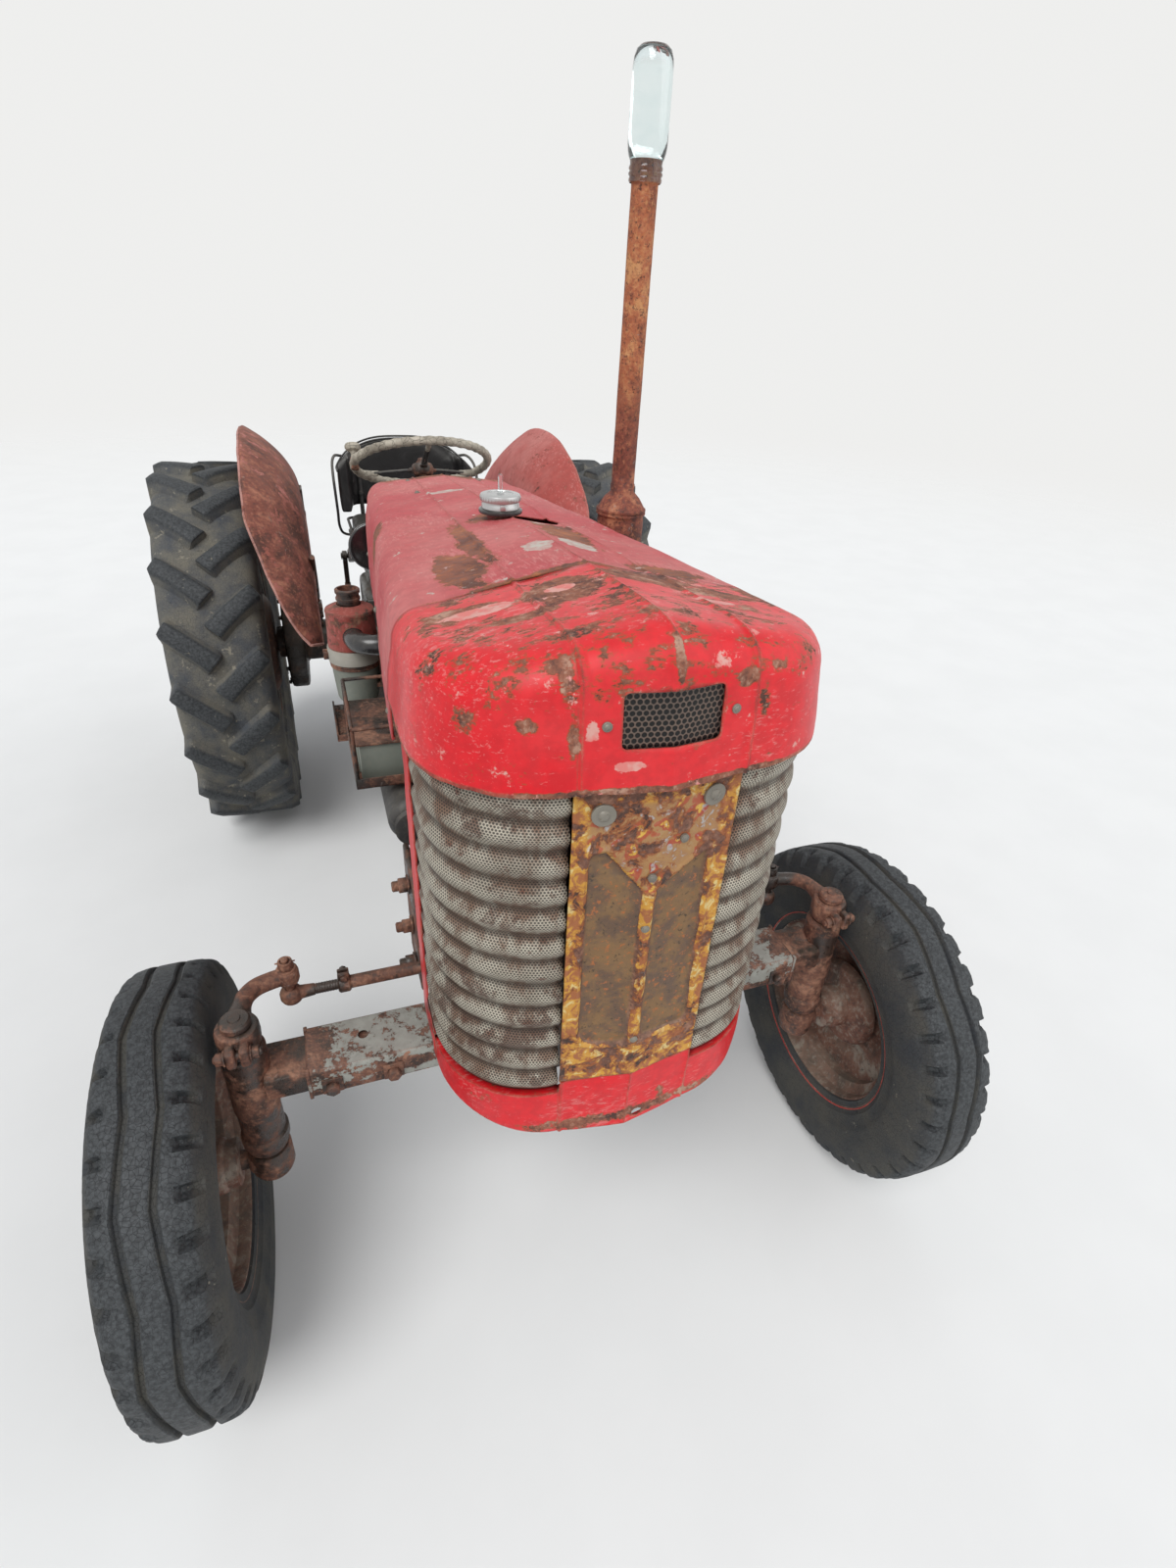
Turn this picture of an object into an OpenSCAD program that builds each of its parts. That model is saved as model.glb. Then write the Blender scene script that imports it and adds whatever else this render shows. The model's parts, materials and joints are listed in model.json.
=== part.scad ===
// Vintage farm tractor, built as separate pieces in one frame, millimetres.
// Z is up, the front faces -Y, the tractor's own left side is +X.
// Every place below is measured from the ground under the front axle;
// on_row() then moves the whole tractor so that its middle is the origin.

/* [Body] */
// Half width of the nose and of the front of the hood
nose_half = 266; // [200:1:320]
// Front face of the nose, ahead of the front axle
nose_front = -272; // [-320:1:-220]
// Radius of the nose's corners, seen from above
nose_corner = 158; // [80:1:200]
// Seam between nose cap and hood
seam_y = 12; // [-20:1:60]
// Rear end of the hood
hood_rear_y = 1140; // [1000:5:1300]
// Half width of the hood's rear end
hood_rear_half = 192; // [160:1:240]
// Ridge of the hood at the seam
hood_top_front = 1419; // [1350:1:1450]
// Ridge of the hood at its rear end
hood_top_rear = 1321; // [1250:1:1400]
// Radius of the hood's top corners
hood_round = 48; // [40:1:110]
// How far the top falls for each unit of width, front and rear
fall_front = 0.2; // [0:0.01:0.4]
fall_rear = 0.1; // [0:0.01:0.4]
// Lower edge of the nose cap, and how far it flares out and rises ahead
cap_low = 1252; // [1200:1:1300]
cap_flare = 10; // [0:1:15]
cap_rise = 15; // [0:1:30]
// Filler: middle behind the axle, offset to the left
filler_y = 450; // [380:5:600]
filler_x = -13; // [-60:1:60]
// Lower edge of the hood's sides, front and rear
hood_low_front = 1185; // [1100:5:1300]
hood_low_rear = 1120; // [1000:5:1250]
// Thickness of the sheet metal
sheet = 3; // [2:0.5:6]

/* [Grille] */
// Lower edge of the corrugated grille
grille_low = 722; // [650:1:800]
// Number of corrugations, one above the other
grille_waves = 12; // [6:1:16]
// Depth of one corrugation
wave_depth = 11; // [4:1:20]
// Half width of the centre panel
panel_half = 107; // [80:1:140]
// Lower edge of the centre panel
panel_low = 744; // [700:1:800]
// Lowest point of the apron
apron_low = 616; // [560:1:700]
// How far the nose's middle stands ahead of its corners
prow = 16; // [0:1:40]
// Vent opening in the cap: width, height, middle height
vent_w = 120; // [80:1:160]
vent_h = 66; // [40:1:90]
vent_z = 1338; // [1300:1:1370]

/* [Front axle] */
// Distance of each kingpin from the middle
kingpin_x = 559; // [450:1:650]
// Top and bottom of the kingpin tube
kingpin_top = 662; // [600:1:720]
kingpin_low = 402; // [390:1:440]
// Axle beam: half length, depth, height, height of its middle
beam_half = 468; // [380:1:520]
beam_deep = 100; // [60:1:120]
beam_tall = 64; // [50:1:90]
beam_z = 588; // [540:1:620]
// Ball joint on each steering arm, from the middle and behind the axle
ball_x = 482; // [420:1:540]
ball_y = 105; // [60:1:180]
// Height of the tie rods
rod_z = 655; // [600:1:720]
// Tie rods' inner ball joints, from the middle
inner_x = 28; // [24:1:60]

/* [Wheels] */
// Front tyre: outer radius, width
front_r = 370; // [300:1:420]
front_w = 165; // [120:1:200]
// Middle plane of each front wheel
front_x = 682; // [600:1:760]
// Rear tyre: outer radius over the lugs, width
rear_r = 610; // [550:1:700]
rear_w = 285; // [240:1:340]
// Bars on each side of a rear tyre: number, height, width
lugs = 20; // [12:1:28]
lug_tall = 28; // [10:1:40]
lug_wide = 44; // [25:1:60]
// Middle plane of each rear wheel
rear_x = 640; // [560:1:720]
// Rear axle behind the front axle
wheelbase = 1890; // [1700:5:2200]

/* [Driver's place] */
// Steering wheel: radius of the ring, thickness, middle behind the axle, height
wheel_ring = 205; // [160:1:230]
wheel_tube = 25; // [16:1:32]
wheel_y = 1470; // [1400:1:1560]
wheel_z = 1290; // [1200:1:1350]
// Lean of the steering column from upright
column_lean = 27; // [10:1:50]
// Seat: half width of the back, top of the cushion, top of the back
seat_half = 225; // [180:1:260]
seat_z = 1060; // [950:1:1100]
seat_back_z = 1300; // [1200:1:1350]
// Front edge of the seat ahead of the rear axle, and the depth of the cushion
seat_ahead = 330; // [250:5:420]
seat_deep = 330; // [280:5:400]

/* [Rear linkage] */
// Lift shaft behind the rear axle, and above it
lift_back = 95; // [60:1:160]
lift_up = 295; // [240:1:340]
// Length of the lift arms, and how far they hang below level, in degrees
lift_arm = 260; // [200:1:320]
lift_droop = 20; // [10:1:30]
// Lower link's front pin behind the rear axle, and below it
link_back = 10; // [0:1:60]
link_down = 160; // [100:1:200]
// How far the lower links hang below level, in degrees
link_droop = 6.75; // [0:0.25:12]
// Length of the lower links between pin and ball
link_len = 765; // [650:1:850]
// Distance of the lower links from the middle, at the front pin
link_x = 235; // [150:1:280]
// Place of the lift rods' lower pins along the links
link_hang = 400; // [300:1:500]
// Drawbar: end and hole behind the rear axle, underside
drawbar_end = 530; // [480:5:600]
drawbar_hole = 495; // [440:5:560]
drawbar_z = 390; // [360:1:420]

/* [Engine and gearbox] */
// Engine block: front, rear, half width, underside, top
engine_front = 360; // [300:5:420]
engine_rear = 1000; // [900:5:1100]
engine_half = 150; // [120:5:200]
engine_low = 500; // [450:5:560]
engine_top = 880; // [800:5:950]
// Height of the fan's spindle
fan_z = 990; // [940:5:1040]
// Rear axle housing: front and rear end from the axle, half width
housing_front = 190; // [150:5:240]
housing_rear = 170; // [140:5:220]
housing_half = 180; // [150:5:220]
// Rear axle housing: underside and top from the axle
housing_low = 190; // [150:5:220]
housing_top = 200; // [160:5:240]
// Height of the power take-off shaft below the rear axle, and its length behind it
pto_down = 50; // [20:5:90]
pto_back = 270; // [220:5:320]

/* [Exhaust] */
// Place of the stack
stack_x = 300; // [260:1:340]
stack_y = 643; // [550:1:700]
// Top of the pipe and of the upturned jar
pipe_top = 1930; // [1700:5:2000]
// How far the jar stands above the pipe
jar_tall = 148; // [110:1:180]

/* [Hidden] */
// Rear linkage: lift shaft, front pins and ball ends of the lower links
lift_y = wheelbase + lift_back;
lift_z = rear_r + lift_up;
link_y = wheelbase + link_back;
link_z = rear_r - link_down;
// Play of the lift rods' lower eyes round their pins, each way
link_play = 5;
ball_d = 62;
// Middle of the whole length, taken to the origin by on_row()
mid_y = (link_y + link_len * cos(link_droop) + ball_d / 2 - front_r) / 2;
jar_top = pipe_top + jar_tall;
// The kingpins carry the front wheels at their own height
kingpin_z = front_r;
// Clearances: a running fit on the diameter, and sheets that lie side by side
fit = 0.1;
gap = 1.5;
// Ends of the engine, the gearbox and the rear axle housing along the tractor
housing_y0 = wheelbase - housing_front;
housing_y1 = wheelbase + housing_rear;
housing_z0 = rear_r - housing_low;
housing_z1 = rear_r + housing_top;
// Foot of the filler on the hood's ridge
filler_z = hood_top_front + (hood_top_rear - hood_top_front)
  * (filler_y - seam_y) / (hood_rear_y - seam_y) + 5;
gearbox_y = (engine_rear + housing_y0) / 2 + 45;
pto_z = rear_r - pto_down;
// Front casting's shelf under the radiator: half width, top
shelf_x = 190;
shelf_z = 755;
// Steering box and drop arm
box_y = hood_rear_y + 40;
drop_z = 840;
drag_z = drop_z - 176;
drag_x = 222;
arm_z = rod_z + 50;
arm_x = 120;

// Helpers.
// Moves the tractor's middle to the origin.
module on_row() {
  translate([0, -mid_y, 0]) children();
}

// A cylinder along X, from x0 to x1, at y, z.
module bar_x(x0, x1, y, z, d) {
  translate([x0, y, z]) rotate([0, 90, 0]) cylinder(d = d, h = x1 - x0, $fn = 48);
}

// A cylinder along Y, from y0 to y1, at x, z.
module bar_y(y0, y1, x, z, d) {
  translate([x, y0, z]) rotate([-90, 0, 0]) cylinder(d = d, h = y1 - y0, $fn = 48);
}

// A cylinder along Z, from z0 to z1, at x, y.
module bar_z(z0, z1, x, y, d) {
  translate([x, y, z0]) cylinder(d = d, h = z1 - z0, $fn = 48);
}

// A box between two corners.
module box(a, b) {
  translate(a) cube(b - a);
}

// A round bar between two points.
module rod(a, b, d) {
  v = b - a;
  len = norm(v);
  tilt = acos(v[2] / len);
  turn = atan2(v[1], v[0]);
  translate(a) rotate([0, tilt, turn]) cylinder(d = d, h = len, $fn = 32);
}

// Carries a wheel drawn along Z to its hub, Z outwards.
module at_wheel(side, x, y, z) {
  translate([side * x, y, z]) rotate([0, side * 90, 0]) children();
}

// Unit normal of a grid of points at row i, column j.
function grid_normal(g, i, j) =
  let (
    ni = len(g) - 1,
    nj = len(g[0]) - 1,
    a = g[min(i + 1, ni)][j] - g[max(i - 1, 0)][j],
    b = g[i][min(j + 1, nj)] - g[i][max(j - 1, 0)],
    c = cross(a, b),
    l = norm(c)
  ) l > 0 ? c / l : [0, 0, 1];

// A sheet of thickness t over a grid of points, made thick against its normals.
module grid_sheet(g, t) {
  ni = len(g);
  nj = len(g[0]);
  outer = [for (i = [0:ni - 1]) for (j = [0:nj - 1]) g[i][j]];
  inner = [for (i = [0:ni - 1]) for (j = [0:nj - 1]) g[i][j] - t * grid_normal(g, i, j)];
  n = ni * nj;
  top = [for (i = [0:ni - 2]) for (j = [0:nj - 2])
    let (a = i * nj + j, b = a + 1, c = a + nj, d = c + 1)
    each [[a, b, d], [a, d, c]]];
  low = [for (f = top) [f[2] + n, f[1] + n, f[0] + n]];
  rim_i = [for (j = [0:nj - 2]) let (a = j, b = j + 1)
    each [[b, a, a + n], [b, a + n, b + n]]];
  rim_o = [for (j = [0:nj - 2]) let (a = (ni - 1) * nj + j, b = a + 1)
    each [[a, b, b + n], [a, b + n, a + n]]];
  rim_l = [for (i = [0:ni - 2]) let (a = i * nj, b = a + nj)
    each [[a, b, b + n], [a, b + n, a + n]]];
  rim_r = [for (i = [0:ni - 2]) let (a = i * nj + nj - 1, b = a + nj)
    each [[b, a, a + n], [b, a + n, b + n]]];
  polyhedron(points = concat(outer, inner),
    faces = concat(top, low, rim_i, rim_o, rim_l, rim_r), convexity = 10);
}

// Half plan of the nose at inset d, from the rear of the side to the middle of
// the front: k runs from 0 to 1. The prow stands ahead within the centre panel.
function nose_point(k, d, rear) =
  let (
    r = max(nose_corner - d, 4),
    half = nose_half - d,
    front = nose_front + d,
    cy = front + r,
    side = max(rear - cy, 1),
    arc = r * PI / 2,
    flat = half - r,
    bulge = prow * max(0, 1 - d / 70)
  )
  k < 0.2 ? [half, rear - side * k / 0.2] :
  k < 0.7 ? let (t = (k - 0.2) / 0.5 * 90) [half - r + r * cos(t), cy - r * sin(t)] :
  let (x = flat * (1 - (k - 0.7) / 0.3)) [x, front - bulge * (1 - x / flat)];

// Whole plan line of the nose, from the left side round to the right side.
function nose_line(d, rear, n) = [
  for (i = [0:2 * n])
    let (k = i <= n ? i / n : 2 - i / n, p = nose_point(k, d, rear), s = i <= n ? 1 : -1)
    [s * p[0], p[1]]
];

// Front axle and steering.
module front_bolster() {
  low = engine_low;
  rear = engine_front;
  shelf = shelf_z;
  color([0.36, 0.33, 0.31]) on_row() difference() {
    union() {
      // cheeks that hold the axle's pivot pin, the front one narrow beside the lever
      box([-70, -92, beam_z - 68], [70, -56, beam_z + 60]);
      box([-42, -92, beam_z + 59], [42, -56, shelf - 10]);
      box([-60, 56, low], [60, 80, beam_z + 34]);
      // web under the tie rods, back to the engine's face
      box([-60, 79, low], [60, rear - 60, beam_z + 34]);
      box([-195, rear - 85, low], [190, rear, 790]);
      // shelf under the radiator
      box([-shelf_x, -92, shelf - 14], [shelf_x, rear - 50, shelf]);
      // pivot pin of the axle
      bar_y(-96, 90, 0, beam_z, 45 - fit);
      // pin of the steering arm, with a collar above it and a nut below it
      bar_z(beam_z + 34, shelf - 10, 0, 0, 32 - fit);
      bar_z(arm_z - 10, shelf - 10, 0, 0, 50);
      bar_z(beam_z + 33, beam_z + 49, 0, 0, 50);
      // side plate with its studs, on the right
      box([-250, 180, low], [-190, 330, 780]);
      for (z = [540, 640, 745]) bar_x(-286, -245, 235, z, 22);
    }
    // hollow behind the front plate, for the crank pulley
    box([-125, rear - 72, low + 50], [125, rear + 1, 800]);
  }
}

module axle_beam() {
  color([0.62, 0.64, 0.66]) on_row() difference() {
    box([-beam_half, -beam_deep / 2, beam_z - beam_tall / 2],
        [beam_half, beam_deep / 2, beam_z + beam_tall / 2]);
    // channel for the sliding arms, open at both ends
    for (s = [-1, 1])
      translate([s * (beam_half - 188), 0, beam_z])
        cube([400, beam_deep - 16, beam_tall - 14], center = true);
    // bore of the pivot
    bar_y(-beam_deep, beam_deep, 0, beam_z, 45);
  }
}

module axle_arm(s) {
  color([0.42, 0.27, 0.2]) on_row() {
    difference() {
      union() {
        // sliding bar inside the beam
        translate([s * (kingpin_x - 174), 0, beam_z])
          cube([346, beam_deep - 16.2, beam_tall - 14.2], center = true);
        // kingpin tube
        bar_z(kingpin_low, kingpin_top, s * kingpin_x, 0, 72);
        bar_z(kingpin_z + 55, kingpin_z + 75, s * kingpin_x, 0, 80);
      }
      bar_z(kingpin_low - 5, kingpin_top + 5, s * kingpin_x, 0, 40);
    }
    // two clamp bolts through the beam's front
    for (x = [beam_half - 138, beam_half - 38])
      translate([s * x, -beam_deep / 2 - 8, beam_z - 8]) rotate([-90, 0, 0])
        cylinder(d = 26, h = 8, $fn = 6);
  }
}

module axle_arm_left() { axle_arm(1); }
module axle_arm_right() { axle_arm(-1); }

module knuckle(s) {
  top = kingpin_top;
  color([0.4, 0.24, 0.17]) on_row() {
    // pin through the tube, with its boss and the stub axle under it
    bar_z(kingpin_z - 40, top + 66, s * kingpin_x, 0, 40 - fit);
    bar_z(kingpin_z - 40, kingpin_low - 2, s * kingpin_x, 0, 74);
    bar_x(min(s * kingpin_x, s * (front_x - 86)), max(s * kingpin_x, s * (front_x - 86)),
          0, kingpin_z, 56);
    bar_x(min(s * (front_x - 92), s * (front_x + 53)), max(s * (front_x - 92), s * (front_x + 53)),
          0, kingpin_z, 35 - fit);
    // clamped steering arm on top, with slit and pinch bolt
    difference() {
      union() {
        bar_z(top + 2, top + 50, s * kingpin_x, 0, 66);
        box([s * kingpin_x - 16, -50, top + 8], [s * kingpin_x + 16, 0, top + 44]);
      }
      box([s * kingpin_x - 2, -56, top], [s * kingpin_x + 2, -21, top + 60]);
    }
    bar_x(s * kingpin_x - 30, s * kingpin_x + 30, -38, top + 26, 14);
    // arm that bends back and inwards to the ball joint
    rod([s * kingpin_x, 20, top + 34], [s * (kingpin_x - 24), 78, top + 38], 32);
    rod([s * (kingpin_x - 24), 76, top + 38], [s * ball_x, ball_y, top + 36], 28);
    bar_z(top + 20, top + 52, s * ball_x, ball_y, 40);
    bar_z(rod_z - 20, top + 60, s * ball_x, ball_y, 18 - fit);
  }
}

module knuckle_left() { knuckle(1); }
module knuckle_right() { knuckle(-1); }

// Lever on a pin over the axle: the tie rods' eyes lie under its rear end and the
// drag link's eye on its left end, both open there, because the linkage is a loop.
module centre_arm() {
  low = rod_z + 13;
  high = low + 22;
  color([0.36, 0.25, 0.2]) on_row() difference() {
    union() {
      bar_z(rod_z - 15, high + 2, 0, 0, 70);
      box([-22, 0, low], [22, ball_y, high]);
      box([-inner_x - 2, ball_y - 19, low], [inner_x + 2, ball_y + 19, high]);
      box([0, -20, low + 4], [arm_x, 20, high]);
      bar_z(low + 4, high, arm_x, 0, 44);
      // nuts of the three ball joints
      for (s = [-1, 1]) {
        bar_z(low, high, s * inner_x, ball_y, 36);
        bar_z(high - 1, high + 14, s * inner_x, ball_y, 24);
      }
    }
    bar_z(600, 700, 0, 0, 32);
  }
}

module tie_rod(s) {
  color([0.4, 0.24, 0.18]) on_row() difference() {
    union() {
      rod([s * inner_x, ball_y, rod_z - 4], [s * ball_x, ball_y, rod_z - 4], 24);
      bar_z(rod_z - 20, rod_z + 11, s * ball_x, ball_y, 40);
      bar_z(rod_z - 18, rod_z + 11, s * inner_x, ball_y, 34);
      // clamp of the adjustable tube
      bar_x(s * 390 - 10, s * 390 + 10, ball_y, rod_z - 4, 34);
      box([s * 390 - 8, ball_y - 6, rod_z], [s * 390 + 8, ball_y + 6, rod_z + 24]);
    }
    bar_z(600, 740, s * ball_x, ball_y, 18);
  }
}

module tie_rod_left() { tie_rod(1); }
module tie_rod_right() { tie_rod(-1); }

// Long cranked rod from the drop arm forward to the lever over the axle.
module drag_link() {
  bend_y = 170;
  color([0.4, 0.24, 0.18]) on_row() difference() {
    union() {
      rod([arm_x, 0, arm_z], [drag_x, bend_y, arm_z], 24);
      bar_z(arm_z - 13, arm_z + 13, drag_x, bend_y, 34);
      rod([drag_x, bend_y, arm_z], [drag_x, box_y, drag_z], 24);
      bar_z(arm_z - 13, arm_z + 13, arm_x, 0, 42);
      bar_z(arm_z + 10, arm_z + 18, arm_x, 0, 26);
      bar_x(drag_x - 14, drag_x + 14, box_y, drag_z, 42);
    }
    bar_x(drag_x - 32, drag_x + 38, box_y, drag_z, 18);
  }
}

module drop_arm() {
  color([0.36, 0.25, 0.2]) on_row() {
    bar_x(182, 204, box_y, drop_z, 62);
    bar_x(146, 190, box_y, drop_z, 30 - fit);
    box([182, box_y - 18, drag_z], [202, box_y + 18, drop_z]);
    bar_x(182, 202, box_y, drag_z, 44);
    bar_x(200, drag_x + 20, box_y, drag_z, 18 - fit);
  }
}

// Wheels.
// Half section of a tyre: radius and distance from its middle plane. The bead
// stands on the rim at radius bead, between flanges that are seat from the middle.
module tyre_ring(r, w, bead, seat, lip, tread) {
  h = r - bead;
  half = [
    [bead + 0.2, seat], [bead + lip + 3, seat], [bead + lip + 14, w * 0.46],
    [bead + h * 0.48, w * 0.5], [bead + h * 0.74, w * 0.485], [r - 12, tread / 2],
    [r, tread * 0.38]
  ];
  well = [
    [r - 34, w * 0.3], [bead + h * 0.72, w * 0.38], [bead + h * 0.46, w * 0.5 - 16],
    [bead + 24, seat - 14], [bead + 0.2, seat - 24]
  ];
  n = len(half) - 1;
  m = len(well) - 1;
  rotate_extrude($fn = 96) polygon(concat(
    half, [for (i = [n:-1:0]) [half[i][0], -half[i][1]]],
    [for (i = [m:-1:0]) [well[i][0], -well[i][1]]], well
  ));
}

module front_tyre(s) {
  color([0.13, 0.13, 0.14]) on_row() at_wheel(s, front_x, 0, front_r) difference() {
    tyre_ring(front_r, front_w, 203, 59.3, 19, 128);
    // two grooves that part the three ribs
    for (q = [-1, 1]) rotate_extrude($fn = 48)
      translate([front_r - 9, q * 22 - 4]) square([20, 8]);
  }
}

module front_tyre_left() { front_tyre(1); }
module front_tyre_right() { front_tyre(-1); }

module front_wheel(s) {
  color([0.42, 0.24, 0.17]) on_row() at_wheel(s, front_x, 0, front_r) {
    difference() {
      union() {
        // rim: bead seats, drop centre and turned flanges
        rotate_extrude($fn = 96) polygon([
          [198, -64], [222, -64], [222, -59.6], [203, -59.6], [203, -30], [182, -20],
          [182, 20], [203, 30], [203, 59.6], [222, 59.6], [222, 64], [198, 64],
          [198, 32], [177, 22], [177, -22], [198, -32]
        ]);
        // dished disc
        rotate_extrude($fn = 96) polygon([
          [178, 4], [178, 16], [150, 18], [118, 34], [60, 36], [36, 36], [36, 30],
          [58, 30], [116, 28], [148, 12]
        ]);
        // hub with its cap
        translate([0, 0, -72]) cylinder(d = 84, h = 24, $fn = 48);
        translate([0, 0, -50]) cylinder(d = 96, h = 90, $fn = 48);
        translate([0, 0, 24]) cylinder(d = 150, h = 6, $fn = 48);
        translate([0, 0, 38]) cylinder(d = 76, h = 38, $fn = 48);
        for (a = [0:60:300]) rotate(a) translate([58, 0, 34]) cylinder(d = 24, h = 16, $fn = 6);
      }
      translate([0, 0, -80]) cylinder(d = 35, h = 140, $fn = 48);
    }
  }
}

module front_wheel_left() { front_wheel(1); }
module front_wheel_right() { front_wheel(-1); }

// Bars of a rear tyre: slanting, their inner ends leading as the wheel rolls ahead.
module tyre_bars(s) {
  intersection() {
    for (q = [-1, 1], i = [0:lugs - 1])
      rotate((i + q / 4) * 360 / lugs) translate([rear_r - lug_tall, 0, q * 67])
        rotate([s * q * 45, 0, 0]) cube([54, lug_wide, 180], center = true);
    rotate_extrude($fn = 60) polygon([
      [rear_r - lug_tall - 26, -138], [rear_r - 14, -138], [rear_r, -118], [rear_r, 118],
      [rear_r - 14, 138], [rear_r - lug_tall - 26, 138]
    ]);
  }
}

module rear_tyre(s) {
  color([0.16, 0.16, 0.16]) on_row() at_wheel(s, rear_x, wheelbase, rear_r) {
    tyre_ring(rear_r - lug_tall, rear_w, 356, 102.4, 22, 250);
    tyre_bars(s);
  }
}

module rear_tyre_left() { rear_tyre(1); }
module rear_tyre_right() { rear_tyre(-1); }

module rear_rim(s) {
  color([0.4, 0.27, 0.2]) on_row() at_wheel(s, rear_x, wheelbase, rear_r) {
    rotate_extrude($fn = 96) polygon([
      [350, -110], [378, -110], [378, -102.7], [356, -102.7], [356, -52], [326, -36],
      [326, 36], [356, 52], [356, 102.7], [378, 102.7], [378, 110], [350, 110],
      [350, 54], [320, 40], [320, -40], [350, -54]
    ]);
    // loops that take the disc's bolts
    for (a = [22.5:45:359]) rotate(a) box([296, -26, -14], [321.5, 26, 14]);
  }
}

module rear_rim_left() { rear_rim(1); }
module rear_rim_right() { rear_rim(-1); }

module rear_disc(s) {
  color([0.38, 0.26, 0.2]) on_row() at_wheel(s, rear_x, wheelbase, rear_r) {
    rotate_extrude($fn = 96) polygon([
      [0, -140], [0, -132], [138, -132], [174, -112], [234, -22], [290, -14], [318, -14],
      [318, -24], [292, -24], [242, -32], [182, -120], [142, -140]
    ]);
    for (a = [22.5:45:359]) rotate(a) translate([306, 0, -34]) cylinder(d = 26, h = 12, $fn = 6);
    for (a = [0:45:359]) rotate(a) translate([102, 0, -133]) cylinder(d = 28, h = 20, $fn = 6);
    translate([0, 0, -133]) cylinder(d = 90, h = 60, $fn = 48);
    // axle shaft, held in the housing
    translate([0, 0, -190]) cylinder(d = 59.9, h = 55, $fn = 48);
  }
}

module rear_disc_left() { rear_disc(1); }
module rear_disc_right() { rear_disc(-1); }

// Engine and running gear.
module radiator() {
  low = shelf_z;
  top = cap_low + 10;
  color([0.2, 0.2, 0.21]) on_row() {
    box([-200, 60, low], [200, 76, top - 12]);
    box([-205, 62, low], [205, 130, low + 45]);
    box([-190, 76, low + 43], [190, 120, top - 52]);
    box([-200, 56, top - 57], [200, 134, top]);
    bar_z(top - 7, top + 38, -60, 96, 60);
    bar_y(125, 190, 60, top - 30, 50);
  }
}

module fan() {
  back = engine_front - 98;
  color([0.55, 0.5, 0.25]) on_row() difference() {
    union() {
      bar_y(back - 57, back - 7, 0, fan_z, 90);
      for (a = [0:60:300])
        translate([0, back - 36, fan_z]) rotate([0, a, 0]) translate([0, 0, 110])
          rotate([0, 0, 32]) cube([52, 4, 150], center = true);
      bar_y(back - 16, back, 0, fan_z, 120);
    }
    bar_y(back - 72, back + 8, 0, fan_z, 25);
  }
}

module engine_block() {
  y0 = engine_front;
  y1 = engine_rear;
  low = engine_low;
  top = engine_top;
  w = engine_half;
  color([0.34, 0.31, 0.29]) on_row() {
    box([-w, y0, low], [w, y1, top]);
    // sump and rear flange
    box([-w + 25, y0 + 20, low - 90], [w - 25, y1 - 30, low + 5]);
    box([-w - 25, y1 - 60, low - 60], [w + 25, y1, top]);
    // front cover, the fan's spindle and the crank's pulley
    box([-w + 30, y0 - 15, top - 180], [w - 30, y0 + 5, fan_z - 85]);
    bar_y(y0 - 160, y0 + 5, 0, fan_z, 25 - fit);
    box([-45, y0 - 60, top], [45, y0 + 20, fan_z + 20]);
    bar_y(y0 - 62, y0 + 5, 0, 620, 130);
    // covers and filters on the right side
    bar_z(low + 60, low + 220, -w - 45, y0 + 400, 84);
    box([-w - 40, y0 + 340, low + 200], [-w + 10, y0 + 460, low + 240]);
    box([-w - 8, y0 + 120, low + 120], [-w + 5, y0 + 320, low + 300]);
    // pump and starter on the left side
    bar_y(y1 - 220, y1 - 15, w + 46, low + 60, 96);
    box([w - 5, y0 + 110, low + 140], [w + 48, y0 + 300, low + 260]);
  }
}

module cylinder_head() {
  y0 = engine_front;
  y1 = engine_rear;
  top = engine_top;
  color([0.4, 0.34, 0.3]) on_row() {
    box([-130, y0 + 40, top], [130, y1 - 40, top + 95]);
    box([-85, y0 + 60, top + 90], [70, y1 - 60, top + 170]);
    bar_z(top + 165, top + 192, -10, y0 + 160, 60);
    box([-150, y0 + 330, top + 75], [-80, y0 + 400, top + 185]);
    for (i = [0:3]) bar_x(-150, -125, y0 + 110 + 130 * i, top + 45, 30);
  }
}

module exhaust_manifold() {
  top = engine_top;
  color([0.38, 0.25, 0.19]) on_row() {
    box([175, engine_front + 80, top + 25], [235, engine_rear - 80, top + 80]);
    for (y = [120, 280, 440, 540])
      box([130, engine_front + y - 22, top + 30], [180, engine_front + y + 22, top + 75]);
    box([205, stack_y - 38, top + 70], [stack_x + 30, stack_y + 38, top + 120]);
    bar_z(top + 110, top + 160, stack_x, stack_y, 80);
  }
}

module exhaust_stack() {
  low = engine_top + 160;
  box_top = low + 310;
  color([0.42, 0.24, 0.18]) on_row() {
    bar_z(low, low + 60, stack_x, stack_y, 52);
    bar_z(low + 50, box_top, stack_x, stack_y, 100);
    translate([stack_x, stack_y, box_top]) cylinder(d1 = 100, d2 = 60, h = 26, $fn = 48);
    bar_z(box_top - 20, box_top - 6, stack_x, stack_y, 106);
    bar_z(box_top + 20, pipe_top, stack_x, stack_y, 48);
  }
}

// Glass jar turned over on the pipe against the rain.
module rain_jar() {
  color([0.8, 0.86, 0.88]) on_row() translate([stack_x, stack_y, 0])
    rotate_extrude($fn = 64) polygon([
      [26, pipe_top - 34], [30, pipe_top - 34], [30, pipe_top - 8], [34, pipe_top + 6],
      [35, jar_top - 26], [30, jar_top - 8], [20, jar_top], [0, jar_top], [0, jar_top - 4],
      [18, jar_top - 4], [27, jar_top - 12], [31, jar_top - 28], [30, pipe_top + 8],
      [24.1, pipe_top + 2], [24.1, pipe_top - 30]
    ]);
}

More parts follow.
